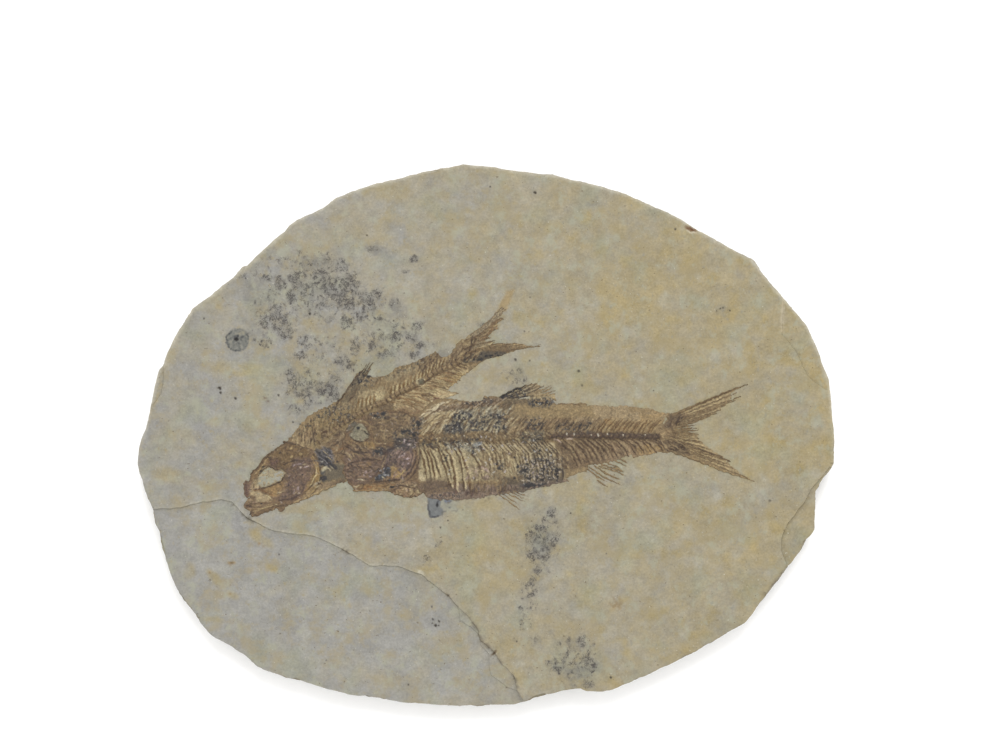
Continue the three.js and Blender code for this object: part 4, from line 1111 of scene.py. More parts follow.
def stone_material():
    """Fine-grained limestone: soft blotches, stains, a fine grain, black growths and bedding in the wall."""
    material, tree, shader = new_material("limestone")
    n = Nodes(tree)
    colour = n.attribute("tone", "Color")
    face = n.attribute("face")
    bare = n.math("SUBTRACT", 1.0, n.attribute("marked"))
    for size, detail, low, high, stretch in STONE_SHADES:
        colour = shaded(n, colour, size, detail, low, high, n.stretched(stretch))
    for size, detail, roughness, stretch, low, high, amount, stain in STONE_STAINS:
        cover = n.ramp(n.noise(size, detail, roughness, n.stretched(stretch)), low, high, 0.0, amount)
        colour = n.blend(n.math("MULTIPLY", cover, bare), colour, rgba(stain))
    colour = mineral_growths(n, colour)
    bedding = n.noise(0.9, 4.0, 0.6, n.stretched((0.12, 0.12, 2.6)))
    banded = n.blend(1.0, colour, n.ramp(bedding, 0.35, 0.68, 0.82, 1.07), "MULTIPLY")
    colour = n.blend(n.math("SUBTRACT", 1.0, face), colour, banded)
    n.link(colour, shader.inputs["Base Color"])
    n.link(n.ramp(n.noise(0.6, 3.0), 0.3, 0.7, 0.78, 0.94), shader.inputs["Roughness"])
    shader.inputs["Specular IOR Level"].default_value = STONE_SPECULAR
    coarse = n.bump(n.noise(1.6, 5.0, 0.6), 0.055, 0.5)
    fine = n.bump(n.noise(0.28, 4.0, 0.65), 0.03, 0.6, coarse)
    n.link(fine, shader.inputs["Normal"])
    return material


def bone_material(name):
    """Fossil bone: the painted bones and film with a fine grain, rust, and gloss where the highlights are
    painted.
    """
    material, tree, shader = new_material(name)
    n = Nodes(tree)
    colour = n.attribute("tone", "Color")
    shine = n.attribute("shine")
    for size, low, high in BONE_SHADES:
        colour = shaded(n, colour, size, 3.0, low, high)
    rust = n.ramp(n.noise(0.5, 2.0, 0.5, n.stretched((0.9, 1.2, 1.0))), 0.6, 0.78, 0.0, 0.22)
    colour = n.blend(rust, colour, rgba(BONE_RUST))
    n.link(colour, shader.inputs["Base Color"])
    rough = n.ramp(n.noise(0.35, 3.0, 0.6), 0.3, 0.7, 0.62, 0.8)
    rough = n.math("SUBTRACT", rough, n.math("MULTIPLY", shine, BONE_GLOSS))
    n.link(rough, shader.inputs["Roughness"])
    shader.inputs["Specular IOR Level"].default_value = BONE_SPECULAR
    coarse = n.bump(n.noise(0.5, 4.0, 0.6), 0.07, 0.55)
    fine = n.bump(n.noise(0.14, 3.0, 0.6), 0.03, 0.6, coarse)
    n.link(fine, shader.inputs["Normal"])
    return material


def floor_material():
    """Plain white paper."""
    material, tree, shader = new_material("white_paper")
    n = Nodes(tree)
    grain = n.ramp(n.noise(3.0, 2.0), 0.3, 0.7, 0.985, 1.0)
    colour = n.blend(1.0, PAPER_WHITE, grain, "MULTIPLY")
    n.link(colour, shader.inputs["Base Color"])
    shader.inputs["Roughness"].default_value = PAPER_ROUGHNESS
    shader.inputs["Specular IOR Level"].default_value = PAPER_SPECULAR
    return material


# Fossil bones painted and raised on a fine sheet over the stone

# Heights over the stone: the film, the sheet where nothing shows, and its border inside the stone
FILM = 0.12
HIDDEN = -0.3
SHEET_EDGE = -0.5

# Spacing of the sheet's points, and how far it reaches past the film
PITCH = 0.15
SHEET_REACH = 0.42

# Every rise of a bone is multiplied by this
RELIEF = 1.45

# Weathering deepens the colours away from a middle one, keeps them above a darkest one, and tints them
MIDDLE = tone(128, 112, 88)
DEPTH = 1.14
LEAST_TONE = 0.1
TINT = (0.98, 0.96, 0.91)


class Sheet(Canvas):
    """A canvas on a fine square grid, with bones that rise from it and a border where the film ends."""

    def __init__(self, low, high, seed):
        self.xs = np.arange(low[0], high[0] + PITCH, PITCH)
        self.ys = np.arange(low[1], high[1] + PITCH, PITCH)
        x, y = np.meshgrid(self.xs, self.ys)
        super().__init__(x, y, tone(*TAN), seed)
        self.height = self.height + HIDDEN
        self.extent = np.full(x.shape, -FAR)

    def window(self, points, reach):
        """Picks the rows and columns around a shape, at least one of each."""
        low = np.min(points, axis=0) - reach
        high = np.max(points, axis=0) + reach
        first_row, last_row = np.searchsorted(self.ys, (low[1], high[1]))
        first_column, last_column = np.searchsorted(self.xs, (low[0], high[0]))
        rows = slice(first_row, max(last_row, first_row + 1))
        return rows, slice(first_column, max(last_column, first_column + 1))

    def ground(self, outline, soft=0.13, level=FILM):
        """The stained film that carries the bones, with a ragged border."""
        cut = self.window(outline, 1.6)
        away = signed_distance(self.wx[cut], self.wy[cut], outline) + 0.2 * self.grain(cut, 0.8, 3, 33)
        cover = smooth(-soft, soft, away)
        self.height[cut] = np.maximum(self.height[cut], mix(HIDDEN, level, cover))
        self.extent[cut] = np.maximum(self.extent[cut], away)

    def bone(self, path, width, colour, amount=0.85, rise=0.16, tips=(0.8, 0.4), base=FILM):
        """A rounded bone along a path, narrower at its tips; it may lie beyond the film."""
        cut = self.window(path, width + 0.5)
        distance, share = path_distance(self.wx[cut], self.wy[cut], path)
        full = np.maximum(np.sin(np.pi * share) ** 0.6, mix(tips[0], tips[1], share))
        half = width / 2.0 * full * (1.0 + 0.4 * self.grain(cut, 1.0, 2, 21))
        near = distance / np.maximum(half, TINY)
        lift = base + RELIEF * rise * np.sqrt(np.clip(1.0 - near * near, 0.0, 1.0)) * full
        lift = np.where(near < 1.0, lift, mix(HIDDEN, base, smooth(1.7, 1.0, near)))
        self.height[cut] = np.maximum(self.height[cut], lift)
        self.extent[cut] = np.maximum(self.extent[cut], half * 1.3 - distance)
        cover = smooth(1.2, 0.5, near) * (1.0 + 0.45 * self.grain(cut, 0.8, 2, 22))
        self.paint(cut, cover * amount, colour)

    def bones(self, items, amount=0.8, rise=0.18):
        """Bones given by path, width and colour."""
        for path, width, colour in items:
            self.bone(path, width, colour, amount, rise)

    def comb(self, first, last, count, width, dark, pale, amount=0.8, bow=0.0, rise=0.14, jitter=0.25,
             fringe=0.15, seed=1, gap=1.0):
        """A row of bones from a first to a last one, each with a pale gap beside it.

        The jitter is a share of their spacing. The fringe and the bow are shares of their length.
        """
        draw = np.random.default_rng(seed)
        for k in range(count):
            share = (k + draw.uniform(-jitter, jitter)) / max(count - 1, 1)
            start = between(first[0], last[0], share)
            end = between(first[1], last[1], share)
            end = between(start, end, 1.0 - fringe * draw.uniform(0.0, 1.0))
            run = (end[0] - start[0], end[1] - start[1])
            middle = between(start, end, 0.5)
            middle = (middle[0] - bow * run[1], middle[1] + bow * run[0])
            half = 0.5 / max(count - 1, 1)
            path = (start, middle, end)
            beside_it = shifted(path, (last[0][0] - first[0][0]) * half, (last[0][1] - first[0][1]) * half)
            self.line(beside_it, width * 1.2, pale, amount * gap, -0.03)
            strength = amount * draw.uniform(0.7, 1.1)
            self.bone(path, width * draw.uniform(0.75, 1.3), dark, strength, rise, (0.9, 0.4))

    def fin(self, base, tips, count, width, dark, pale, seed, rise=0.16, lift=0.06, fringe=0.12,
            amount=0.85):
        """Fin rays from a base line to a line of tips, with paler skin between them."""
        draw = np.random.default_rng(seed)
        base_places = np.linspace(0.0, 1.0, len(base))
        tip_places = np.linspace(0.0, 1.0, len(tips))
        base = np.array(base)
        tips = np.array(tips)
        paths = []
        for share in np.linspace(0.0, 1.0, count):
            start = [np.interp(share, base_places, base[:, axis]) for axis in (0, 1)]
            wander = np.clip(share + draw.uniform(-0.25, 0.25) / count, 0.0, 1.0)
            end = [np.interp(wander, tip_places, tips[:, axis]) for axis in (0, 1)]
            end = between(start, end, 1.0 - fringe * draw.uniform(0.0, 1.0))
            paths.append((tuple(start), between(start, end, 0.5), end))
        for first, second in zip(paths[:-1], paths[1:]):
            skin = [between(a, b, 0.5) for a, b in zip(first, second)]
            self.line(skin, width * 1.1, pale, 0.8 * amount, -0.02)
        for path in paths:
            strength = amount * draw.uniform(0.75, 1.1)
            self.bone(path, width * draw.uniform(0.8, 1.25), dark, strength, rise, (0.9, 0.5), lift)

    def weather(self):
        """Deepens the painted colours and breaks them up with grain, blotches, dark pits and pale chips."""
        whole = (slice(None), slice(None))
        shade = 1.0 + 0.13 * self.grain(whole, 0.5, 3, 70) + 0.07 * self.grain(whole, 1.9, 3, 71)
        deeper = MIDDLE + DEPTH * (self.tone - MIDDLE)
        self.tone = np.maximum(deeper, LEAST_TONE) * shade[..., None] * TINT
        region = smooth(-0.3, 0.6, self.grain(whole, 3.0, 2, 72))
        self.paint(whole, 0.6 * smooth(0.4, 0.8, self.grain(whole, 0.55, 3, 73)) * region, UMBER)
        self.paint(whole, 0.45 * smooth(0.55, 0.95, self.grain(whole, 0.6, 3, 74)), CREAM)
        self.height = self.height + 0.03 * self.grain(whole, 0.6, 3, 75)

    def hide_under(self, outline, inset):
        """Sinks the part that another fossil covers."""
        cut = self.window(outline, 0.5)
        covered = smooth(inset, inset + 0.4, signed_distance(self.x[cut], self.y[cut], outline))
        self.height[cut] = mix(self.height[cut], np.minimum(self.height[cut], HIDDEN), covered)

    def to_piece(self, name):
        """A closed mesh of the sheet: the painted top, and a plain underside inside the stone."""
        used = self.extent > -SHEET_REACH
        cells = used[:-1, :-1] & used[1:, :-1] & used[:-1, 1:] & used[1:, 1:]
        keep = np.zeros(used.shape, bool)
        for rows in (slice(0, -1), slice(1, None)):
            for columns in (slice(0, -1), slice(1, None)):
                keep[rows, columns] |= cells
        inner = np.zeros(used.shape, bool)
        inner[1:-1, 1:-1] = cells[:-1, :-1] & cells[1:, :-1] & cells[:-1, 1:] & cells[1:, 1:]
        height = np.where(keep & ~inner, SHEET_EDGE, self.height)
        number = np.full(used.shape, -1)
        number[keep] = np.arange(keep.sum())
        x = self.x[keep]
        y = self.y[keep]
        vertices = np.column_stack([x, y, FACE + face_swell(x, y) + height[keep]])
        rows, columns = np.nonzero(cells)
        a = number[rows, columns]
        b = number[rows, columns + 1]
        c = number[rows + 1, columns + 1]
        d = number[rows + 1, columns]
        flip = ((rows + columns) % 2 == 0)[:, None]
        first = np.where(flip, np.stack([a, b, c], 1), np.stack([a, b, d], 1))
        second = np.where(flip, np.stack([a, c, d], 1), np.stack([b, c, d], 1))
        faces = np.concatenate([first, second]).tolist() + self.underside(cells, number)
        piece = mesh_piece(name, vertices, faces, self.tone[keep], {"shine": self.shine[keep]})
        return turned_outward(piece)

    def underside(self, cells, number):
        """Triangles that close the sheet below, between the points of its border."""
        sides = set()
        rows, columns = np.nonzero(cells)
        for row, column in zip(rows.tolist(), columns.tolist()):
            square = ((row, column), (row, column + 1), (row + 1, column + 1), (row + 1, column))
            for k in range(4):
                edge = (square[k], square[(k + 1) % 4])
                if (edge[1], edge[0]) in sides:
                    sides.remove((edge[1], edge[0]))
                else:
                    sides.add(edge)
        sides = sorted(sides)
        places = sorted({place for edge in sides for place in edge})
        order = {place: k for k, place in enumerate(places)}
        cloud = [Vector((column, row)) for row, column in places]
        edges = [(order[a], order[b]) for a, b in sides]
        _, _, faces, origins, _, _ = delaunay_2d_cdt(cloud, edges, [], 0, SAME_CORNER)
        result = []
        for face in faces:
            spots = [places[origins[k][0]] for k in face]
            row = int(sum(spot[0] for spot in spots) / 3.0)
            column = int(sum(spot[1] for spot in spots) / 3.0)
            if cells[min(row, cells.shape[0] - 1), min(column, cells.shape[1] - 1)]:
                result.append([int(number[spot]) for spot in reversed(spots)])
        return result


# The larger fish

LOWER_BODY = [
    (-30, -10.5), (-30.5, -9.2), (-31.5, -8), (-30.8, -6.6), (-31.7, -5.2), (-30.8, -3.6), (-31.6, -2.2),
    (-30.8, -0.8), (-31, 0.6), (-30.2, 1.8), (-28.6, 3.4), (-26, 4.6), (-22.4, 5.5), (-18.4, 5.3),
    (-15.4, 4.1), (-14.9, 4.7), (-13, 6.9), (-10.8, 8.3), (-6.1, 7.7), (-2.6, 7.2), (-1.2, 7.4), (-0.3, 8.5),
    (3.2, 8.4), (8, 8), (14.3, 7.8), (15.2, 6.9), (20.1, 6.9), (20.6, 7.1), (21.7, 6.9), (22.4, 6.5),
    (26.2, 6.4), (28, 6.2), (29.8, 6.5), (33.7, 5.9), (35.6, 5.9), (36.9, 5.3), (38.2, 4.9), (40.1, 4.9),
    (39.2, 3.8), (38.4, 2.5), (40.2, 2), (41, 0), (40.6, -3), (40.2, -3.9), (38.6, -3.9), (37.2, -3.7),
    (35.7, -4.4), (33.7, -4.7), (32, -5), (31.6, -4.3), (29.8, -5), (28, -5.7), (25, -6.3), (22.4, -6.6),
    (22, -7.4), (21.9, -8), (20.1, -8.3), (19, -8.8), (17.5, -9.4), (18.1, -10.1), (16.2, -10.5),
    (14.2, -11), (12.4, -11.4), (9.9, -11.8), (8.2, -12.3), (6.5, -12.5), (3.6, -13), (0.7, -13.2),
    (-1.2, -13.8), (-3.2, -13.9), (-5, -14.1), (-7, -14.2), (-10, -14.1), (-12.3, -13.8), (-13.1, -13.6),
    (-13.7, -12.4), (-15, -13.5), (-16.4, -13.7), (-18.1, -13.4), (-19.7, -13.1), (-20.9, -12.3),
    (-22.2, -12.2), (-24, -12.2), (-25.9, -12.3), (-27.5, -12.2), (-29, -12.2), (-28.6, -11.9),
    (-29.2, -11.2),
]
LOWER_UPPER_LOBE = [
    (38.2, 2), (40.1, 4.1), (42.5, 4.9), (44.4, 5.7), (45.9, 6.7), (47.9, 7.8), (50, 8.5), (52.4, 9.6),
    (54.4, 9.9), (53.4, 9), (54, 8.2), (52, 7.2), (51.6, 6), (50.6, 5.2), (48.6, 4.3), (46.4, 3.5),
    (44.4, 2.7), (42, 1.8), (41, 0.4),
]
LOWER_LOWER_LOBE = [
    (40.4, -0.4), (44.6, 0.2), (46, 0), (46.2, -0.8), (48, -2.2), (49.8, -3.6), (51.6, -4.8), (52.6, -5.9),
    (53.8, -7), (55.6, -8.6), (54, -8.7), (52.1, -8.1), (50.2, -7.3), (47.9, -6.3), (45.9, -5.4),
    (43.3, -4.4), (41.6, -4.1), (40.2, -3.8),
]
LOWER_COLUMN = [(-14.6, -0.9), (-8, -0.7), (2, -0.4), (12, -0.2), (24, -0.1), (32, -0.2), (37.4, -0.4)]


def lower_flank(sheet):
    """Film, bare stone and stained bone of the flank, from the back down to the belly keel."""
    sheet.area(block(-16, -14.5, 42, 9), (130, 112, 84), 1, 1)
    patches = (
        ([(5.5, 3.6), (13, 3.4), (24, 4), (24.4, 6.8), (15, 6.9), (6.2, 6.6)], (146, 128, 96), 0.95),
        ([(5, 0.6), (24, 0.6), (24.6, 3.3), (14, 3.4), (5, 3.6)], (144, 126, 99), 0.9),
        ([(5, 1.4), (9, 1.4), (9.2, 3.6), (5.2, 3.7)], (162, 146, 118), 0.9),
        ([(5.6, 3.8), (9, 3.8), (9, 5.2), (5.6, 5.2)], (128, 112, 86), 0.8),
        ([(6, 8.3), (10.8, 8.3), (10.8, 7), (6.2, 6.8)], (106, 94, 76), 0.7),
        ([(19.6, 1.4), (24.2, 1.4), (24.4, 3.6), (19.8, 3.8)], (148, 131, 106), 0.8),
        ([(22.8, 6.9), (41, 6.7), (41, 3.4), (34, 2.4), (24, 3.4)], (155, 138, 110), 0.95),
        ([(31, 6.2), (40, 5.4), (39.6, 4.4), (31.4, 5)], (142, 122, 90), 0.7),
        ([(25.8, 3.4), (31, 3), (36.6, 2.6), (36.4, 0.8), (27, 1)], (138, 116, 84), 0.8),
        ([(26, 3.2), (28.2, 3.2), (28.2, 2.2), (26, 2)], (158, 130, 86), 0.7),
        ([(25.4, 1.9), (27.6, 1.8), (27.4, 0.8), (25.6, 0.9)], CREAM, 0.6),
        ([(33, 4.6), (38.6, 4.6), (38.2, 2.6), (34, 2.2)], (156, 132, 92), 0.55),
        ([(-14.4, 3.4), (-12, 5.9), (-9.4, 7.2), (-5.6, 5.2), (-8.8, 1.4), (-13.6, 0.8)], (180, 172, 155),
         0.95),
        (block(-7, 0.9, 3.6, 6.4), (146, 141, 124), 0.9),
        ([(-5.6, 7.2), (-2, 7.8), (3.6, 8.4), (3, 7.2), (-3.2, 6), (-5.4, 6)], (116, 98, 82), 0.75),
        ([(3.4, 8.3), (6.6, 8.1), (6.4, 5.3), (3.6, 5.2)], (94, 84, 68), 0.75),
        ([(-15.3, -2.6), (4, -2.2), (15, -1.8), (15.4, -5), (10, -9), (4, -10), (-15.2, -10.2)],
         (162, 150, 121), 1),
        ([(-2.2, -4), (3.4, -4.2), (4.2, -9.4), (-0.8, -9.4)], (150, 136, 108), 0.85),
        ([(-3.4, -6.4), (0.6, -7), (3, -7.2), (3.2, -9.8), (-1.6, -9.8)], (114, 100, 80), 0.75),
        ([(-6, -2.8), (-1.2, -2.8), (-1.2, -4.4), (-6, -4.4)], (116, 106, 86), 0.5),
        ([(-10.8, -4.4), (-8.4, -4.4), (-8.4, -6), (-10.8, -6)], (108, 94, 74), 0.5),
        ([(8.2, -2.6), (11.2, -2.6), (11.4, -6), (8.4, -6)], (114, 102, 82), 0.65),
        ([(5.6, -1.2), (12.6, -1.2), (12.6, -2.8), (5.6, -2.8)], (118, 102, 80), 0.5),
        ([(4, -9), (10, -8.8), (10.4, -11.4), (3.6, -11.6)], (88, 78, 64), 0.8),
        ([(-9.2, -1), (-0.6, -0.8), (-0.4, -3), (-5, -3.6), (-9, -3)], (150, 145, 130), 0.85),
        ([(-15, -1.2), (-9.4, -1.2), (-9.4, -2.9), (-15, -2.9)], (118, 106, 84), 0.8),
        ([(8, -5.4), (17, -3), (17.6, -9.6), (9, -11), (6.6, -9)], (120, 108, 88), 0.9),
        ([(12.8, -2.6), (16.4, -2.4), (17, -5), (13.4, -5.4)], (162, 146, 114), 0.85),
        ([(15.6, -1.2), (38, -1), (38, -4.2), (28, -5.8), (22, -6.6), (18.6, -8), (16.4, -5)], (112, 94, 72),
         0.95),
        ([(26, -1.2), (38.4, -1.2), (38.4, -4.2), (30, -5.4), (26, -5.8)], (146, 127, 102), 0.85),
        ([(23, -3.6), (28, -3.2), (30.4, -4.4), (26.6, -5.7), (23.2, -6)], (124, 106, 84), 0.75),
        ([(17.4, -8.2), (21.6, -7), (21.6, -8.2), (18.4, -10.2), (16.8, -9.9)], (150, 132, 101), 0.8),
        ([(20.2, -2.6), (23, -2.6), (23, -4.8), (20.2, -4.8)], (140, 121, 95), 0.8),
        ([(32.2, -1.2), (35.2, -1.2), (35.2, -2.8), (32.2, -2.8)], (152, 132, 106), 0.7),
        ([(27.4, 2), (30.2, 2), (30.2, 3.6), (27.4, 3.6)], (164, 145, 112), 0.8),
    )
    sheet.areas(patches)
    sheet.area([(32.6, -2.4), (35, -2), (38.4, -2.6), (39, -3.6), (36, -4), (32.8, -4.6)], (156, 132, 92),
               0.8, 0.3)
    sheet.area([(-15.6, -11), (-13, -10.3), (-4, -10.8), (4, -10.9), (10, -10.4), (17.6, -9.6),
                (17.8, -10.3), (9, -12.4), (0, -14.2), (-12.4, -14.4), (-13.6, -12.2)], (126, 110, 98), 0.95,
               0.35, 0.08)
    sheet.area([(2, -10.8), (10, -10.5), (9, -12.4), (3, -12.9)], (102, 92, 78), 0.85, 0.5)
    sheet.area([(-15.7, -11.3), (-13.4, -10.1), (-11, -9.8), (-9.6, -9.9), (-7.4, -10.9), (-6.4, -12.2),
                (-12.4, -12.7)], (112, 95, 77), 0.95, 0.25, 0.08, 0.1)
    sheet.area([(-14.7, -7.3), (-15.3, -9.9), (-13.2, -9.9), (-13.8, -8.6)], (186, 174, 146), 0.85, 0.25)


def lower_spines(sheet):
    """Spines above the backbone, spines below it towards the tail, and fine bones between the muscles."""
    front = [(-14, 2.6), (-8.6, 2.4), (-4.8, 5.6), (-8, 7.2), (-12, 6), (-14.2, 3.6)]
    low_front = [(-14.2, 0.4), (-7.6, 0.6), (-6.6, 2.8), (-13.4, 2.9)]
    colours = (IVORY, BROWN, CREAM, DARK, SAND)
    sheet.hatch(front, 28, 8, 2.8, 0.34, colours, 130, 301)
    sheet.hatch(low_front, 46, 8, 2.2, 0.32, colours, 90, 300, 0.7)
    sheet.hatch(block(-7, 0.8, 6, 6.6), 42, 12, 1.6, 0.33, ((178, 173, 156), (80, 72, 62), SAND, DARK), 270,
                302, 0.65)
    sheet.hatch(block(5, 0.6, 24.5, 3.5), 49, 9, 1.7, 0.32, (UMBER, DARK, SAND, BROWN), 230, 303, 0.5)
    sheet.hatch(block(8, 4, 36, 6.4), 20, 40, 0.9, 0.36, (SAND, BROWN, TAN), 90, 304, 0.25)
    sheet.comb(((-11.5, 5), (-9, 6.6)), ((1.8, 6.6), (4.6, 8.3)), 24, 0.34, DARK, (176, 162, 144),
               jitter=0.5, fringe=0.3, seed=305)
    sheet.comb(((-13.5, 0.4), (-10.4, 4.4)), ((4, 0.6), (6.8, 4.6)), 14, 0.34, DARK, CREAM, 0.6, 0.05,
               seed=306)
    sheet.comb(((6, 0.5), (8.2, 3.6)), ((23, 0.6), (25.2, 3.6)), 16, 0.28, DARK, SAND, 0.45, 0.06, seed=307,
               gap=0.5)
    sheet.comb(((24, 0.6), (26.6, 3.9)), ((36, 0.5), (38.4, 3.4)), 14, 0.38, (96, 72, 46), (162, 142, 108),
               0.7, 0.06, seed=308)
    sheet.comb(((15.6, -0.9), (20.2, -7)), ((36.4, -0.8), (39.6, -3.5)), 18, 0.36, (76, 58, 42),
               (150, 132, 104), 0.85, 0.1, seed=309)
    sheet.hatch([(16, -1.2), (37, -1.2), (36, -3.4), (24, -5.2), (18, -6.6)], -52, 14, 1.2, 0.3,
                (UMBER, SAND, DARK), 80, 310, 0.4)
    for x, y in ((15, 1), (18, 1.2), (19.8, 1), (21.6, 1.2), (8.6, 1), (11.6, 1)):
        sheet.line(shifted([(0, 0), (0.6, 0.8), (1.1, 1.7)], x, y), 0.3, INK, 0.6)
    sheet.line([(14.8, 6.7), (18.6, 6.75), (22.2, 6.6)], 0.34, (98, 80, 56), 0.7)


def lower_ribs(sheet):
    """Ribs that lean back towards the tail, crisp and pale-gapped in front, dark and fused behind."""
    sheet.hatch(block(-14.8, -3.2, -8.8, -0.9), -60, 18, 1.3, 0.34, (SAND, DARK, CREAM, UMBER), 70, 321, 0.7)
    sheet.hatch(block(-9, -3.4, -0.6, -0.9), -62, 16, 1.3, 0.32, ((188, 184, 172), DARK, UMBER, CREAM), 80,
                320)
    ribs = (
        ((-14.4, -3.2), (-13.6, -5.5), (-13.2, -7.5), (-12.9, -9.4)),
        ((-13.4, -3.2), (-12.6, -5.5), (-12.3, -7.5), (-11.9, -9.8)),
        ((-12.8, -3.3), (-11.9, -5.3), (-11.5, -7.3), (-11.1, -9.6)),
        ((-12.2, -3.2), (-11.2, -5), (-10.6, -7), (-9.8, -9.3)),
        ((-10.4, -3), (-9.6, -5.4), (-8.9, -7.2), (-8.3, -9.6)),
        ((-9.6, -3.4), (-8.7, -5.4), (-8, -7.4), (-7.5, -9.6)),
        ((-8.6, -3.2), (-7.6, -5), (-7, -7.6), (-6.6, -11.6)),
        ((-6.9, -2.8), (-5.8, -5), (-5.2, -8), (-5.1, -9.2)),
        ((-5.8, -3.2), (-4.8, -5.5), (-4.2, -7.2), (-3.9, -8.6)),
        ((-3, -4.2), (-1.8, -6), (-1.1, -8.3), (-0.8, -9.4)), ((-6.7, -9.4), (-6.7, -11), (-6.6, -12.2)),
        ((-5.1, -9.6), (-4.9, -11), (-4.7, -12.2)), ((-3.8, -9), (-3.5, -11), (-3.2, -12.8)),
        ((-8.2, -9.6), (-8, -10.6), (-7.6, -11.4)),
    )
    for k, path in enumerate(ribs):
        width = (0.46, 0.4, 0.5)[k % 3]
        colour = ((96, 73, 48), (84, 66, 46))[k % 2]
        sheet.line(shifted(path, 0.52, 0), 0.5, (190, 177, 145), 0.85, -0.03)
        sheet.bone(path, width, colour, 0.9, 0.22, (0.9, 0.5))
    sheet.comb(((-2, -1.3), (1.6, -9)), ((13.4, -1.4), (16.8, -7.6)), 20, 0.34, (80, 64, 46),
               (180, 166, 138), 0.8, 0.14, 0.16, 0.25, 0.2, 324)
    sheet.hatch(block(-2.5, -9.6, 8, -3.4), -68, 18, 1.2, 0.33, (CREAM, BROWN, SAND, DARK), 150, 325, 0.5)
    sheet.hatch(block(-4.2, -9.8, 0.4, -7), 70, 50, 0.7, 0.36, ((158, 140, 134), PLUM, CREAM), 60, 326, 0.65)
    for x, top, low in ((13.3, -6.8, -9.6), (14.2, -6.4, -9.9), (15.4, -6.4, -9.8), (16.6, -7.6, -9.8),
                        (11, -8.4, -10.2), (9.4, -8.6, -10.4), (12.2, -7.6, -10.2)):
        sheet.bone([(x, top), (x + 0.15, (top + low) / 2), (x + 0.1, low)], 0.55, (72, 62, 54), 0.8, 0.18)
        sheet.line([(x + 0.5, top), (x + 0.6, low)], 0.4, (158, 144, 118), 0.6)
    sheet.area([(15.6, -2.2), (18.8, -2.6), (18.6, -7.4), (16.4, -7)], (120, 104, 82), 0.6, 0.8)
    sheet.hatch([(15.2, -2.2), (19, -2.4), (18.8, -7.8), (16.4, -7.4)], -56, 12, 1.6, 0.32,
                (DARK, SAND, UMBER), 26, 323, 0.6)
    sheet.area([(-13.2, -9.2), (-8.4, -9.2), (-8.4, -10.8), (-13.2, -10.8)], (104, 88, 70), 0.5, 0.5)
    sheet.hatch([(-13, -13.2), (0, -13.2), (14, -10.4), (15, -9.8), (4, -11.2), (-6, -12)], 82, 22, 0.8,
                0.34, ((80, 64, 56), (142, 124, 108), (96, 76, 66)), 130, 328, 0.6)
    sheet.hatch(block(-15, -13, -6.8, -10.2), 8, 14, 1.4, 0.34, (UMBER, TAN, PLUM), 22, 329, 0.35)
    sheet.hatch([(-3.4, -9.4), (4.6, -9.8), (4.6, -12), (-3.4, -13)], 84, 10, 1.3, 0.36, (UMBER, TAN, BROWN),
                60, 330, 0.5)


def lower_backbone(sheet):
    """The backbone: dark joints with crossed struts, pale bits, and glints painted as highlights on a few
    joints.
    """
    sheet.bone(LOWER_COLUMN, 1.9, (112, 96, 71), 0.75, 0.26, (1, 0.85))
    sheet.bone([(14, -0.2)] + LOWER_COLUMN[4:], 1.6, (84, 68, 55), 0.9, 0.32, (0.5, 0.8))
    sheet.area([(6.8, 0.7), (12.4, 0.8), (12.4, -1.2), (6.8, -1.3)], (112, 106, 90), 0.7, 0.3)
    sheet.area([(-15, 0), (-11.4, 0.2), (-11.2, -1.2), (-15, -1.4)], (142, 114, 74), 0.7, 0.3)
    for x, y in resampled(LOWER_COLUMN, 1.22):
        dark = UMBER if x > 12 else DARK
        sheet.line([(x - 0.5, y - 0.8), (x, y), (x - 0.5, y + 0.8)], 0.34, dark, 0.7, -0.05)
        sheet.line([(x + 0.5, y - 0.8), (x, y), (x + 0.5, y + 0.8)], 0.3, dark, 0.5, -0.03)
        sheet.line([(x - 0.55, y), (x - 0.15, y + 0.1)], 0.4, SAND if x < 12 else BROWN, 0.6, 0.06)
    sheet.hatch(block(-14.5, -1.6, 14, 0.7), -35, 40, 1, 0.3, (UMBER, SAND, DARK, CREAM), 130, 331, 0.55)
    # Painted highlights: small white glints on the glossy backbone
    for x, y, tall in ((17.6, 0.2, 0.36), (19.2, 0.2, 0.36), (24.4, 0, 0.55), (22.9, 0, 0.3), (29.8, 0, 0.2),
                       (26.4, 0.2, 0.2), (34.7, 0.1, 0.18), (-4.8, -0.2, 0.22)):
        sheet.blob((x, y), (0.2, tall), 8, (196, 190, 178), 0.85, 0.03, 0.5, 0.5)
    sheet.lines((([(17.4, -0.75), (18.9, -0.9)], 0.4, (200, 184, 172)),
                 ([(14.8, -0.8), (15.8, -1.2), (16.3, -1.8)], 0.4, (188, 168, 158))))


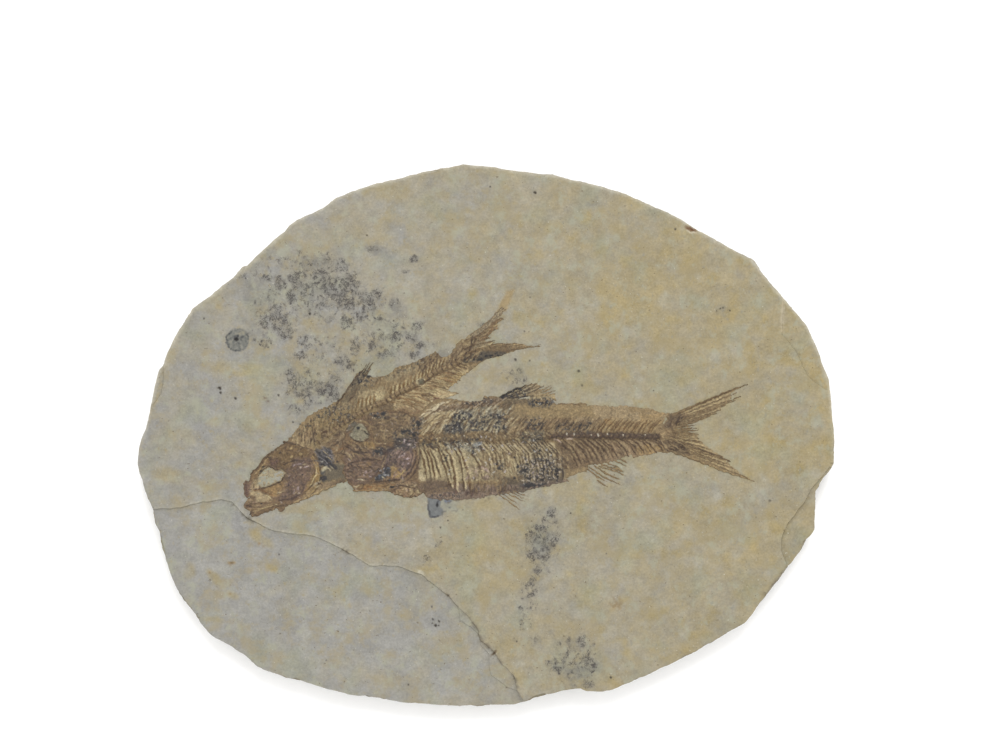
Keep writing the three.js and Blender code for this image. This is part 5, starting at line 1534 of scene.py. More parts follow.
def lower_fins(sheet):
    """Dorsal, anal, pelvic and tail fins of the larger fish."""
    wedge = [(2.6, 8), (3.6, 8.7), (5.6, 9.6), (8.6, 10.7), (10.4, 10.2), (11.4, 9.2), (10.2, 8.5), (6, 7.9)]
    sheet.ground(wedge, 0.16, 0.08)
    sheet.area(wedge, (88, 79, 64), 0.95, 0.3, broken=0.1)
    sheet.ground([(9, 7.4), (10.2, 9), (15, 9), (15.4, 7.4)], 0.2, 0.06)
    sheet.area([(9.4, 7.9), (10.2, 9.2), (15.2, 9.2), (15.4, 8)], (176, 159, 124), 0.9, 0.3)
    tip = [(7.4, 10), (9.4, 11.2), (11.2, 11.3), (12.2, 10.4), (10.4, 9.4)]
    sheet.ground(tip, 0.2, 0.05)
    sheet.area(tip, (134, 118, 92), 0.9, 0.3)
    rays = (
        ((3.4, 8.3), (6, 9.7), (8.8, 10.9)), ((3.9, 8.2), (7.4, 9.7), (10, 11.2)),
        ((5, 8.2), (9, 9.8), (11.5, 11.6)), ((6, 8), (10.5, 9.6), (12.6, 10.8)),
        ((7, 8.2), (10.9, 9.5), (13, 10.2)), ((8, 8.4), (11.5, 9.4), (14, 10.8)),
        ((9.6, 8.6), (12.5, 9.4), (14.6, 10.4)), ((10.4, 8.5), (13, 9), (15.1, 9.7)),
        ((11, 8.3), (13.4, 8.6), (15.2, 9)), ((4.6, 8.1), (8, 9.2), (11.2, 10.6)),
    )
    for k, path in enumerate(rays):
        dark = (76, 64, 50) if k < 4 or k > 8 else (142, 124, 96)
        sheet.line(shifted(path, 0.1, -0.34), 0.34, (176, 163, 136), 0.8)
        sheet.bone(path, 0.28, dark, 0.85, 0.14, (0.9, 0.4), 0.06)
    sheet.bone([(3, 8.2), (4.8, 9.2), (6.8, 10.1), (8.8, 10.8)], 0.4, (44, 40, 36), 0.95, 0.2)
    sheet.line([(4.6, 8.1), (7.4, 8.2), (10.4, 8.5)], 0.6, (62, 52, 42), 0.85)
    sheet.mineral([(2.4, 7.6), (4.6, 9.6), (9, 10.8), (9, 8.2)], 0.6, 332)
    anal = (
        ((24.4, -6.8), (28, -7.8), (30.5, -9)), ((23.6, -6.8), (27, -8.8), (29.3, -9.7)),
        ((22.4, -7), (26, -9.4), (29.5, -10.9)), ((26.5, -6.2), (28.4, -6.9), (30, -7.9)),
        ((28, -5.6), (29.4, -6.2), (30.4, -6.9)), ((29, -5.2), (30, -5.6), (30.8, -6.2)),
        ((24.3, -9.9), (25.4, -10.7), (26.5, -11.3)), ((22, -7.4), (24.4, -9.2), (26.4, -10.2)),
        ((25.2, -6.5), (28.6, -7.5), (30.2, -8.3)),
    )
    for path in anal:
        sheet.bone(path, 0.32, (140, 120, 90), 0.85, 0.14, (0.9, 0.4), 0.03)
        sheet.line(shifted(path, 0.1, 0.34), 0.3, (172, 158, 126), 0.6)
    sheet.fin([(2.6, -12.9), (6, -12.2)], [(8.3, -16.9), (7.2, -14.8), (9.6, -14.6), (9.4, -13.4)], 5, 0.26,
              (146, 124, 90), (172, 158, 126), 335, 0.1, 0, 0.2, 0.7)
    for lobe in (LOWER_UPPER_LOBE, LOWER_LOWER_LOBE):
        sheet.ground(lobe, 0.14, 0.08)
        sheet.area(lobe, (154, 137, 106), 0.95)
    sheet.fin([(39.4, 4), (41.8, 1.7)], [(57, 11), (54.2, 10.1), (55.4, 9.1), (55.6, 8.1), (53, 7),
                                         (52, 5.9), (51.3, 5.2), (48.6, 4.1)], 9, 0.42, (112, 94, 68),
              (182, 166, 132), 336, 0.14, 0.06, 0.08, 0.9)
    sheet.fin([(40.6, 1.5), (40.6, -0.6)], [(46, 2.2), (46.6, 1.2), (46.4, 0.3), (46.2, -0.4), (47.5, -1.6)],
              8, 0.32, (104, 84, 56), (168, 152, 118), 337, 0.14, 0.03, 0.08)
    sheet.fin([(39, -0.2), (41.2, -3.8)], [(47.5, -1.7), (49.2, -3.2), (51.3, -4.6), (53, -5.6),
                                           (53.4, -6.6), (54.6, -7.6), (58.1, -10), (54.4, -8.9), (50, -7)],
              9, 0.42, (112, 93, 66), (182, 165, 130), 338, 0.16, 0.06, 0.06, 0.9)
    sheet.bones((([(44, -2), (49, -4), (53.1, -5.7)], 0.4, (88, 71, 52)),
                 ([(40.6, -3.7), (46, -5.4), (52, -7.9), (56.4, -9.3), (58.4, -10.1)], 0.44,
                  (154, 135, 102)), ([(41.6, 4.5), (43.6, 5.3), (46, 6.6), (50.4, 8.5), (54, 10.1),
                                      (57, 11)], 0.3, (98, 78, 52))))
    sheet.area([(38.4, 1.6), (40.1, 4.2), (42.6, 4.9), (43.6, 4.4), (42.4, 2.8), (40.4, 1.2)], (96, 80, 64),
               0.8, 0.5, 0.06)
    sheet.area([(38.4, -1.3), (40.4, -1.4), (42.6, -1.8), (44.2, -3.4), (43.2, -4.3), (39.4, -4)],
               (108, 93, 73), 0.85, 0.5, 0.06)
    sheet.area([(36.6, 1.7), (40.2, 1.2), (40.4, -0.8), (37.6, -0.9)], (146, 126, 96), 0.9)
    sheet.hatch(block(37, -3.8, 41, 2), -20, 25, 1.5, 0.3, (DARK, SAND, BROWN), 50, 339, 0.6)
    sheet.hatch([(39, 2), (43, 4.9), (44, 5.1), (42, 1.8)], 40, 10, 1.5, 0.3, (UMBER, TAN), 30, 340, 0.6)
    sheet.hatch([(38.6, -1.2), (43, -1.8), (45.4, -4.2), (40, -3.8)], -24, 10, 1.6, 0.32,
                (UMBER, SAND, DARK), 46, 341, 0.7)


def lower_minerals(sheet):
    """Black and blue-grey mineral that grew over the flank, and small glints painted as highlights."""
    places = (
        ((-8.8, 0.4, -5.2, 2.8), 1.1), ((-7.4, 2.4, -3, 5.2), 0.8), ((-4.4, 0.8, 1, 4.8), 0.38),
        ((1.4, 0.6, 4.6, 4.8), 0.75), ((-14.2, -2.6, -10.6, -0.6), 0.45), ((-10, -3, -1, -0.6), 0.5),
        ((8.4, 1, 13, 3), 0.45), ((15.2, 0.4, 22.6, 2.8), 0.34), ((9.4, 6.2, 14.4, 8), 1),
        ((8, -2.4, 12.4, 0.6), 0.5), ((6.6, -8.8, 9.4, -6.4), 0.7), ((1.8, -7.6, 3.8, -5.6), 0.6),
        ((8.6, -9.6, 15.6, -5.2), 0.65), ((7.8, -11.6, 13.2, -10.2), 0.9), ((10.4, -5.4, 14.6, -2.6), 0.45),
        ((-4, -4.4, -1.8, -2.4), 0.6), ((-9.4, -5.8, -7.6, -4.2), 0.5), ((-3.6, 6.4, 1.6, 8.4), 0.5),
        ((-12, -13.8, -5, -12.6), 0.35), ((9, 2, 12, 4), 0.35), ((-2.6, 2, 0.6, 3.4), 0.5),
        ((-4.2, 0.7, -0.8, 2), 0.6),
    )
    sheet.area([(-9.2, 0.4), (-5.2, 0.3), (-4.8, 2), (-6.6, 3.2), (-9.2, 1.8)], (72, 72, 72), 0.55, 0.5)
    sheet.area([(10.6, -9.7), (16.6, -9), (17, -10.4), (11.4, -11.3)], (82, 72, 58), 0.6, 0.4)
    for k, (sides, strength) in enumerate(places):
        sheet.mineral(block(*sides), strength, 351 + 3 * k)
    dots = ((-5.1, 4.7, 0.42), (1.1, 4.2, 0.3), (-6.7, 2, 0.5), (2.9, 3.8, 0.5), (8.1, -0.6, 0.3),
            (-8.3, 1, 0.34), (-8.7, -5, 0.34), (2.3, -6.4, 0.34), (6.2, -4.9, 0.3), (8.1, -7.7, 0.62),
            (12.9, -6.8, 0.4), (3, -7.2, 0.3), (6.2, -9.3, 0.34), (11.7, -3.4, 0.32), (-7.1, -1.6, 0.24),
            (22.8, 2.5, 0.26), (19, -3.8, 0.22), (10.8, 2.1, 0.3), (15.8, 1.9, 0.3), (-5.9, 4.2, 0.3),
            (-4.5, 3.4, 0.3), (-3.2, 4, 0.32), (3.6, 8.2, 0.44), (10.4, -3.4, 0.3), (-7.2, 3, 0.28),
            (-0.4, 2.8, 0.36), (2.2, 1.6, 0.3), (-0.8, 7.5, 0.3), (13.2, -5.2, 0.3), (8.7, -7, 0.32),
            (13.8, -6.4, 0.3), (15.1, -7.9, 0.3), (12, -9.8, 0.34))
    for x, y, reach in dots:
        sheet.blob((x, y), (reach, reach * 0.86), 30, INK, 0.92, 0.03)
    sheet.blobs(((-14.8, 2.6, 0.6, 0.75, 20, INK), (-2.5, 1.05, 1.3, 0.26, 0, NIGHT),
                 (9.4, -10.9, 1.1, 0.6, 10, INK), (-4, 6.8, 0.6, 0.3, -35, INK),
                 (14.6, 7.3, 0.6, 0.4, 0, SLATE)), 0.9)
    sheet.line([(8.2, -11.3), (10.2, -11), (13, -10.7)], 0.5, INK, 0.95, 0.03)
    flank = [(-9, -3.4), (-4, -2), (0, 1.6), (6, -1), (15, -0.6), (15, -4), (8, -8), (0, -9.6), (-8, -9)]
    # Painted highlights: pale glossy glints strewn over the flank
    sheet.hatch(flank, 0, 90, 0.5, 0.26, (CREAM, (176, 166, 160), (190, 188, 180)), 80, 415, 0.8, 0.03, 1)
    sheet.specks(block(9.6, -9.2, 12.8, -6), 0.7, (158, 145, 146), 0.6, 416, 0.3, 0.6)
    belly = block(7.6, -10.4, 16.6, -5)
    sheet.specks(belly, 1, INK, 0.8, 417, 0.3, 0.42)
    # Painted highlights: pale glints among the belly's black specks
    sheet.specks(belly, 0.6, (190, 176, 158), 0.8, 418, 0.36, 0.5)
    sheet.specks(block(9.8, 6.4, 14, 7.8), 0.7, INK, 0.9, 420, 0, 0.2, 0.03)
    sheet.specks(block(-13, -13.8, 12, -11), 0.5, (70, 60, 56), 0.6, 419, 0.36, 0.5, soft=1)
    sheet.blob((-1.8, -1.9), (1.1, 0.5), 10, (140, 146, 152), 0.5)


def lower_skull(sheet):
    """Skull of the larger fish: overlapping plates with raised edges, worn and glossy, and a round eye."""
    head = [(-31.6, -12.6), (-13.4, -14), (-14.6, -9), (-14.9, -3), (-14, 3.6), (-20, 6), (-31.6, 4.6)]
    cheek = [(-30.6, -9.6), (-31, -4), (-29.6, -2.4), (-26, -2.6), (-23.2, -3.4), (-21.8, -4.8), (-23, -7.8),
             (-25.4, -10.2), (-28.2, -11.2)]
    brain = [(-24.6, 4.2), (-22.4, 5), (-18.4, 4.9), (-15.4, 3.6), (-15, 0.6), (-17.4, -1.4), (-21, -1.8),
             (-24.4, -0.8)]
    opercle = [(-21.4, -3.4), (-17.2, -2.2), (-15.6, -3.6), (-15.4, -5.6), (-16, -7.5), (-17.2, -8.8),
               (-19, -9.6), (-20.6, -9.7), (-22, -7.4)]
    throat = [(-20.6, -10.2), (-15.4, -10.2), (-13.9, -12.2), (-15, -13.4), (-18.1, -13.3), (-19.7, -12.9)]
    sheet.area(head, (112, 92, 70), 1, 0.4, 0.14, 0.2)
    sheet.area(cheek, (106, 86, 70), 0.9, 0.3, 0.12, 0.2, 0.5)
    sheet.area(brain, (112, 95, 72), 0.9, 0.3, 0.12, 0.2, 0.4)
    sheet.area(opercle, (112, 91, 80), 0.95, 0.25, 0.16, 0.2, 0.7)
    sheet.area(throat, (148, 126, 101), 0.9, 0.3, 0.06)
    sheet.area([(-22.8, -3), (-19.4, -2), (-15.6, -0.9), (-15.6, -2.6), (-18.8, -4.2), (-20.2, -7.6),
                (-22.6, -7.8)], (72, 60, 54), 0.95, 0.4)
    sheet.areas((
        ([(-16.2, -10.4), (-13.2, -10.2), (-12.8, -12.6), (-16, -12.8)], (102, 86, 68), 0.85),
        ([(-20.2, -0.4), (-17, -0.8), (-16.6, -3.4), (-20, -4)], (76, 66, 60), 0.9),
        ([(-18.8, 0.4), (-16.6, 0.2), (-16.8, -1), (-18.8, -1)], (98, 90, 72), 0.7),
        ([(-20.8, -7), (-18.6, -6.9), (-17.6, -7.8), (-18.8, -9.2), (-20.8, -9.4)], (160, 134, 84), 0.9),
        ([(-27.6, -6.2), (-25, -6.1), (-25, -7.1), (-27.4, -7.2)], (146, 120, 80), 0.7),
        ([(-27.4, -1.6), (-24.4, -1.4), (-24.2, -3.2), (-27, -3.4)], (150, 126, 84), 0.8),
        ([(-28.9, -12.1), (-24, -12.1), (-20.9, -12.2), (-21.6, -10.7), (-25.5, -10.8), (-28.4, -11)],
         (142, 112, 73), 0.85),
        ([(-30.4, 3), (-28, 3), (-28.4, 1.2), (-30.2, 0.8)], (94, 92, 84), 0.8),
    ), 0.3)

    mixed = (UMBER, TAN, DARK, SAND, PLUM, BROWN)
    sheet.hatch(head, -25, 40, 1.3, 0.34, mixed, 420, 421, 0.42, 0.05)
    sheet.hatch(cheek, -12, 25, 1.5, 0.32, (UMBER, (144, 122, 100), PLUM), 110, 422, 0.65, 0.05)
    sheet.hatch(brain, 20, 35, 1.2, 0.32, (UMBER, SAND, BROWN), 100, 423, 0.5, 0.05)
    sheet.hatch(opercle, 62, 25, 1.3, 0.32, ((70, 56, 52), (150, 128, 118), PLUM), 90, 424, 0.65, 0.05)
    sheet.hatch([(-30.2, -1.6), (-26.6, -1.6), (-25, -5), (-30, -4.6)], -38, 12, 1.5, 0.32,
                (SAND, UMBER, TAN), 50, 425, 0.55)
    sheet.hatch(throat, -10, 50, 0.8, 0.34, (SAND, UMBER, CREAM, BROWN), 60, 426, 0.6)
    sheet.hatch([(-29, -12.1), (-21, -12.2), (-20, -10.4), (-28, -10.9)], 4, 14, 1.6, 0.32,
                (DARK, SAND, RUST, TAN), 50, 427, 0.6)

    eye = [(-27.8, 2.5), (-26.9, 2.3), (-26.2, 1.8), (-25.8, 1), (-25.4, 0), (-25.5, -0.6), (-26.4, -1.2),
           (-27.5, -1.4), (-28.4, -1.3), (-29.2, -0.7), (-29.5, 0.2), (-28.9, 1.4), (-28.3, 2)]
    sheet.area(eye, (135, 129, 110), 1, 0.18, 0.06, 0)
    sheet.bones((
        ([(-29.4, -0.4), (-28.4, -1.3), (-27.4, -1.5), (-26.2, -1.2), (-25.5, -0.7)], 0.44, (66, 52, 40)),
        ([(-25.5, -0.4), (-25.6, 0.8), (-26.2, 1.8), (-26.9, 2.4)], 0.34, (88, 72, 52)),
        ([(-29.5, 0), (-29.1, 1.2), (-28.4, 2), (-27.6, 2.5)], 0.34, (84, 78, 66)),
        ([(-28.4, 3), (-26.6, 3), (-25.2, 2), (-24.7, 0.6)], 0.3, (142, 124, 92)),
    ), 0.8, 0.18)
    sheet.area([(-29.2, 1), (-28.3, 1.9), (-28, 0.2), (-29, -0.6)], (112, 108, 94), 0.5)
    sheet.blob((-27.8, 1.5), (0.38, 0.42), 30, INK, 0.95)
    sheet.line([(-27, 1.1), (-26.2, 0.5), (-25.4, -0.05)], 0.38, (66, 58, 46), 0.95)
    sheet.line([(-26.7, 1.1), (-25.9, 0.9)], 0.3, (170, 160, 130), 0.6)

    sheet.bone([(-21.7, -4.2), (-22.4, -6.2), (-23.8, -8.4), (-25.6, -9.8)], 0.6, (88, 70, 60), 0.75, 0.3)
    sheet.line([(-21.6, -4.3), (-21.9, -5.2), (-22.4, -6.4), (-22.8, -7.2)], 0.34, SAND, 0.6, 0.04, 0.6)
    for k, reach in enumerate((4.2, 4.6, 5, 5.4, 5.8)):
        colour = ((76, 60, 50), (134, 112, 88))[k % 2]
        sheet.bone(arc((-20.2, -4.1), (reach, reach * 1.16), 26, -84, 14), 0.3, colour, 0.75, 0.2)
    for centre, radii, start, end in (((-20.95, -0.8), (1.15, 1.1), -30, 250),
                                      ((-23.4, -0.9), (0.9, 1.1), 150, 330),
                                      ((-24.6, 1), (0.8, 0.9), 20, 200),
                                      ((-22.4, 1.6), (0.7, 0.8), 200, 380)):
        sheet.bone(arc(centre, radii, start, end), 0.28, (158, 142, 108), 0.6, 0.14)
    sheet.bones((
        ([(-30.4, -2.4), (-28.8, -3.6), (-26.4, -3.9), (-24.4, -3.6)], 0.5, UMBER),
        ([(-24.6, 4.2), (-21.6, 5), (-18, 4.9), (-15.4, 3.6)], 0.44, DARK),
        ([(-23.4, 2.6), (-20.6, 3.4), (-17, 3)], 0.34, TAN),
        ([(-29.9, -6.2), (-26.2, -5.2), (-23, -5.6)], 0.4, UMBER),
        ([(-24.2, -10.2), (-21, -9.9), (-17.6, -9.6)], 0.4, UMBER),
        ([(-19.6, -9), (-18.4, -8.4), (-17.4, -7.4)], 0.36, (168, 146, 98)),
        ([(-28.8, -12.1), (-25, -12), (-21.2, -12.1)], 0.32, (168, 142, 102)),
        ([(-21.6, -3.3), (-19.2, -2.5), (-16.4, -2.5)], 0.44, (66, 54, 50)),
        ([(-30.9, -8.4), (-28.4, -9.4), (-25.6, -9.6)], 0.4, DARK),
        ([(-20.6, -11.4), (-18.2, -11), (-15.4, -11.6)], 0.4, UMBER),
    ))

    # Pale strokes with shine below: painted highlights (glints) on the glossy skull
    dim_glints = ((168, 154, 150), CREAM, (160, 148, 140))
    sheet.hatch(block(-19, -6.6, -16.8, -4.2), 60, 40, 0.5, 0.22, (LILAC_GLINT, (140, 122, 120)), 16, 431, 0.8,
                0.03, 1)
    sheet.hatch(block(-17.2, -2.7, -15.8, -1.7), 20, 60, 0.6, 0.24, (IVORY, LILAC_GLINT), 5, 432, 0.8, 0.03, 1)
    sheet.hatch(block(-26.8, -9.1, -24.8, -7.8), -30, 30, 0.6, 0.25, (LILAC_GLINT, (140, 122, 120)), 9, 433, 0.75,
                0.03, 1)
    sheet.hatch(head, -20, 60, 0.5, 0.24, dim_glints, 60, 434, 0.6, 0.03, 1)
    sheet.mineral(block(-25.4, 3.4, -21.6, 5.5), 0.8, 435)
    sheet.area([(-20, -0.6), (-15.2, -0.4), (-15, -2.8), (-19.6, -2.6)], (72, 66, 64), 0.5, 0.5)
    sheet.mineral(block(-20.2, -2.8, -14.4, 1.6), 0.45, 438)
    sheet.hatch(block(-18.4, -3.4, -15.2, -0.4), 10, 50, 0.5, 0.24, (LILAC_GLINT, (112, 92, 92), dim_glints[0]), 22, 448,
                0.7, 0.03, 1)
    sheet.mineral(block(-24.6, -4.4, -22.4, -2.8), 0.8, 441)
    sheet.mineral([(-16.4, 1.2), (-14, 1.2), (-13.6, 3.6), (-16, 3.6)], 0.7, 444)
    sheet.blobs(((-22.4, 4.7, 0.6, 0.5, 20, INK), (-15.7, 0, 0.46, 0.46, 0, INK),
                 (-17.8, 0.8, 0.7, 0.36, 10, INK), (-16.8, 0.9, 0.4, 0.3, 0, INK),
                 (-23.6, -3.5, 0.8, 0.4, -10, INK), (-20.4, -11.3, 0.5, 0.3, 0, INK),
                 (-24, 4.2, 0.5, 0.34, 20, INK), (-21.4, -8, 1, 1.1, 10, NIGHT),
                 (-23.4, -9.3, 1, 0.85, 30, NIGHT), (-22.4, -8.8, 0.8, 0.6, 45, SLATE)), 0.92)
    sheet.hatch(block(-24.2, -10, -20.8, -7.2), 50, 30, 0.6, 0.24, ((92, 98, 110), INK, (160, 158, 162)), 26,
                447, 0.85, 0.03, 1)
    # Whitish strokes painted as glints on the jaw and cheek
    sheet.lines((([(-27.9, -9.6), (-26.5, -9.8)], 0.34, IVORY),
                 ([(-28.8, -11), (-28.2, -11.3), (-27.6, -11.1)], 0.32, IVORY),
                 ([(-22.6, -9), (-22, -9.5)], 0.3, IVORY), ([(-30.2, -5), (-29.4, -5.6)], 0.3, dim_glints[0])))


def make_lower_fish():
    """The larger fish, painted from its film to the minerals that grew over it."""
    sheet = Sheet((-32.6, -18.2), (59.4, 13.6), 700)
    sheet.ground(LOWER_BODY)
    lower_flank(sheet)
    lower_fins(sheet)
    lower_spines(sheet)
    lower_ribs(sheet)
    lower_backbone(sheet)
    lower_skull(sheet)
    sheet.weather()
    lower_minerals(sheet)
    return sheet.to_piece("lower_fish_bones")


# The smaller fish

UPPER_BODY = [
    (-51.3, -9.1), (-51.2, -8.4), (-49.6, -7.1), (-48.9, -6.1), (-47.9, -4.9), (-47.1, -3.9), (-46, -3.3),
    (-44.9, -2.5), (-43.4, -1.5), (-42.2, 0.1), (-40.6, 2), (-39, 4), (-36.2, 5.6), (-34, 6.5), (-32.8, 7.2),
    (-31.8, 7.9), (-31.1, 8.6), (-30.1, 9.9), (-29.2, 11.2), (-28.5, 12.3), (-28.2, 13.3), (-27.3, 13.8),
    (-26.4, 13.4), (-24.7, 12.6), (-22.2, 12.9), (-20.7, 13.6), (-19.6, 14.7), (-17.9, 15.2), (-16.3, 15.7),
    (-14.6, 16.2), (-13.6, 16.9), (-12.2, 17.5), (-11.1, 18.2), (-10.5, 17.9), (-9.8, 17), (-8.7, 17),
    (-7.9, 17.4), (-7.3, 18.5), (-6.6, 19.4), (-6.1, 20.2), (-5, 21), (-3, 20.8), (-1.8, 19.3), (-1.2, 18),
    (-0.6, 16), (-2, 15), (-3.4, 14), (-4.5, 13.2), (-5.8, 12.1), (-7.1, 10.8), (-8.4, 9.8), (-7.2, 9.3),
    (-5.5, 9.1), (-7.4, 8.4), (-9.2, 7.9), (-9.6, 7.3), (-11, 6.4), (-12.2, 5.9), (-14, 4), (-20, 0),
    (-26, -6), (-29.6, -9.6), (-30.7, -10.5), (-32.2, -10.6), (-33.7, -11.1), (-34.7, -11.7), (-36, -12.4),
    (-38.1, -13.6), (-39.2, -13.9), (-40.9, -14.6), (-42.2, -14.9), (-43.6, -15.6), (-43.9, -16.4),
    (-44.7, -16.8), (-45.2, -16.7), (-45.7, -15.9), (-46.2, -16.2), (-47.6, -16.7), (-49.6, -17.5),
    (-51, -17.9), (-51, -17.4), (-51.7, -17.2), (-51.2, -16.7), (-52.1, -16.2), (-53, -15.4), (-52.3, -14.5),
    (-51.9, -14.1), (-51.3, -13.4), (-51.8, -13.6), (-52.2, -13.6), (-52.65, -12.7), (-52.8, -10.6),
    (-52.4, -10), (-51.6, -10.1),
]
UPPER_ORBIT = [
    (-49.7, -8.9), (-48.6, -7.4), (-47.6, -6.8), (-46.6, -6.8), (-45.9, -7.4), (-45.3, -7.6), (-44.9, -7.5),
    (-44.2, -7.8), (-43.6, -8.3), (-43.7, -9.1), (-44.5, -9.9), (-45.8, -10.6), (-47.2, -11.3),
    (-48.7, -11.7), (-49.8, -11), (-49.9, -9.8),
]
UPPER_MOUTH = [
    (-51.2, -12.3), (-48.9, -12.2), (-47.6, -12.9), (-46.4, -13.9), (-47.6, -14.3), (-49.7, -14.5),
    (-50.5, -13.6),
]
UPPER_UPPER_LOBE = [
    (-5.4, 20.4), (-3.9, 21.7), (-2.9, 22.2), (-1, 22.6), (0, 23.6), (1.1, 24.7), (1.7, 25.7), (2, 26.5),
    (3, 27.4), (3.8, 27.8), (4.1, 27.2), (3.2, 26.2), (3.3, 25.6), (2.3, 24.6), (2.6, 23.8), (1.4, 23.3),
    (0.8, 22.6), (0, 21.4), (-1, 20.2), (-1.8, 19.5), (-3.6, 18.6),
]
UPPER_LOWER_LOBE = [
    (-2.4, 19.2), (-1.2, 19.1), (0.6, 19.8), (3.8, 20), (7, 20), (9.4, 19.6), (10.6, 19.3), (8.3, 18.7),
    (6.9, 18.7), (6.2, 18.2), (3.8, 17.4), (2.2, 16.9), (0.6, 16.6), (-0.4, 16.1), (-2.2, 15.2),
]
UPPER_COLUMN = [
    (-36.4, -1.6), (-32, 1.8), (-28, 4.5), (-24, 6.6), (-21.9, 7.4), (-19.5, 9), (-16.9, 10.3),
    (-15.1, 11.2), (-12.5, 12.8), (-10.8, 14), (-8, 14.9), (-5.8, 16.2), (-4.2, 17.7), (-2.8, 18.7),
]


def upper_flank(sheet):
    """Film, bare stone and stained bone of the smaller fish's flank."""
    whole = [(-40, -2), (-28, 16), (-4, 24), (0, 16), (-12, 3), (-30, -12), (-38, -14)]
    sheet.area(whole, (134, 117, 88), 1, 1)
    patches = (
        ([(-39.6, 1.8), (-32, 7.4), (-29.6, 5.6), (-29.4, 3), (-33.6, 0.4), (-38, -2.6)], (135, 118, 85),
         0.9),
        ([(-43.6, -1.2), (-39.6, 1.9), (-37.4, -1.8), (-40.4, -2.6)], (160, 144, 116), 0.85),
        ([(-33.6, 5.4), (-31.2, 8.2), (-27.6, 11.2), (-25, 10.8), (-26, 8.4), (-29.6, 5.6)], (125, 113, 91),
         0.9),
        ([(-28.4, 8.2), (-25.6, 9.9), (-22, 10.6), (-22, 9), (-24.2, 8.2)], (166, 154, 124), 0.85),
        ([(-24.2, 8.9), (-22, 9.6), (-22.2, 7.8), (-24, 7)], (172, 161, 130), 0.95),
        ([(-22, 12.8), (-15, 15.6), (-15, 13.6), (-19.6, 12.2), (-22, 11.6)], (152, 140, 114), 0.9),
        ([(-27.4, 12.8), (-23.4, 12.7), (-23.4, 11.2), (-26.8, 11)], (152, 138, 114), 0.8),
        ([(-15.4, 12.6), (-15.6, 15.4), (-8, 16.8), (-7.6, 15.4), (-12, 13.4)], (142, 125, 97), 0.9),
        ([(-20, 7.6), (-13, 11.6), (-8.6, 14.2), (-3.6, 14.2), (-8, 9.4), (-6.6, 8.9), (-12, 6),
          (-19.6, 4.4)], (182, 166, 134), 0.95),
        ([(-13.2, 4.6), (-20.6, 4.4), (-19, 5.8), (-13, 6.6)], (124, 102, 78), 0.9),
        ([(-24.4, 6.6), (-21, 8.4), (-20.6, 7.2), (-23, 6)], (158, 142, 114), 0.7),
        ([(-9.6, 12.6), (-6, 13.6), (-4, 13.6), (-7.6, 10.4)], (160, 137, 94), 0.85),
        ([(-18.6, 12.2), (-15.4, 12.8), (-15.4, 13.8), (-18.6, 13.2)], (122, 106, 84), 0.7),
        ([(-10.6, 10), (-8.4, 11), (-8.8, 12.2), (-10.8, 11.6)], (190, 174, 140), 0.8),
        ([(-7.6, 17.2), (-5, 20.8), (-1.4, 18.8), (-1.4, 15.8), (-6, 15.8)], (130, 114, 93), 0.9),
        ([(-8.6, 17.2), (-6.4, 18.4), (-5.8, 16.6), (-8.2, 15.8)], (156, 141, 115), 0.85),
        ([(-23.8, 5), (-20.4, 5), (-20.4, 6.8), (-23, 6.6)], (106, 90, 70), 0.85),
        ([(-32.8, 0.8), (-29.8, 0.8), (-29.8, -1.6), (-32.8, -1.6)], (96, 80, 62), 0.75),
        ([(-39.8, 0.6), (-37, 0.8), (-37, -1.2), (-39.6, -1.2)], (156, 138, 112), 0.85),
        ([(-31.4, 7.4), (-28, 11.4), (-26.8, 10.2), (-29.4, 7.2)], (92, 81, 66), 0.8),
        ([(-36.2, -12.2), (-30.6, -10.4), (-30.6, -9.4), (-35.6, -10.6)], (108, 92, 72), 0.9),
        ([(-37, -3.6), (-34, -2.6), (-33, -4), (-33.2, -6.4), (-36.6, -5.6)], (88, 76, 68), 0.9),
        ([(-34, -1.6), (-30, -1), (-30, -6.2), (-32.8, -6)], (114, 95, 72), 0.9),
        ([(-36, -2.8), (-32, 0.6), (-30.2, 0.4), (-30.6, -2.6)], (106, 89, 70), 0.85),
    )
    sheet.areas(patches)


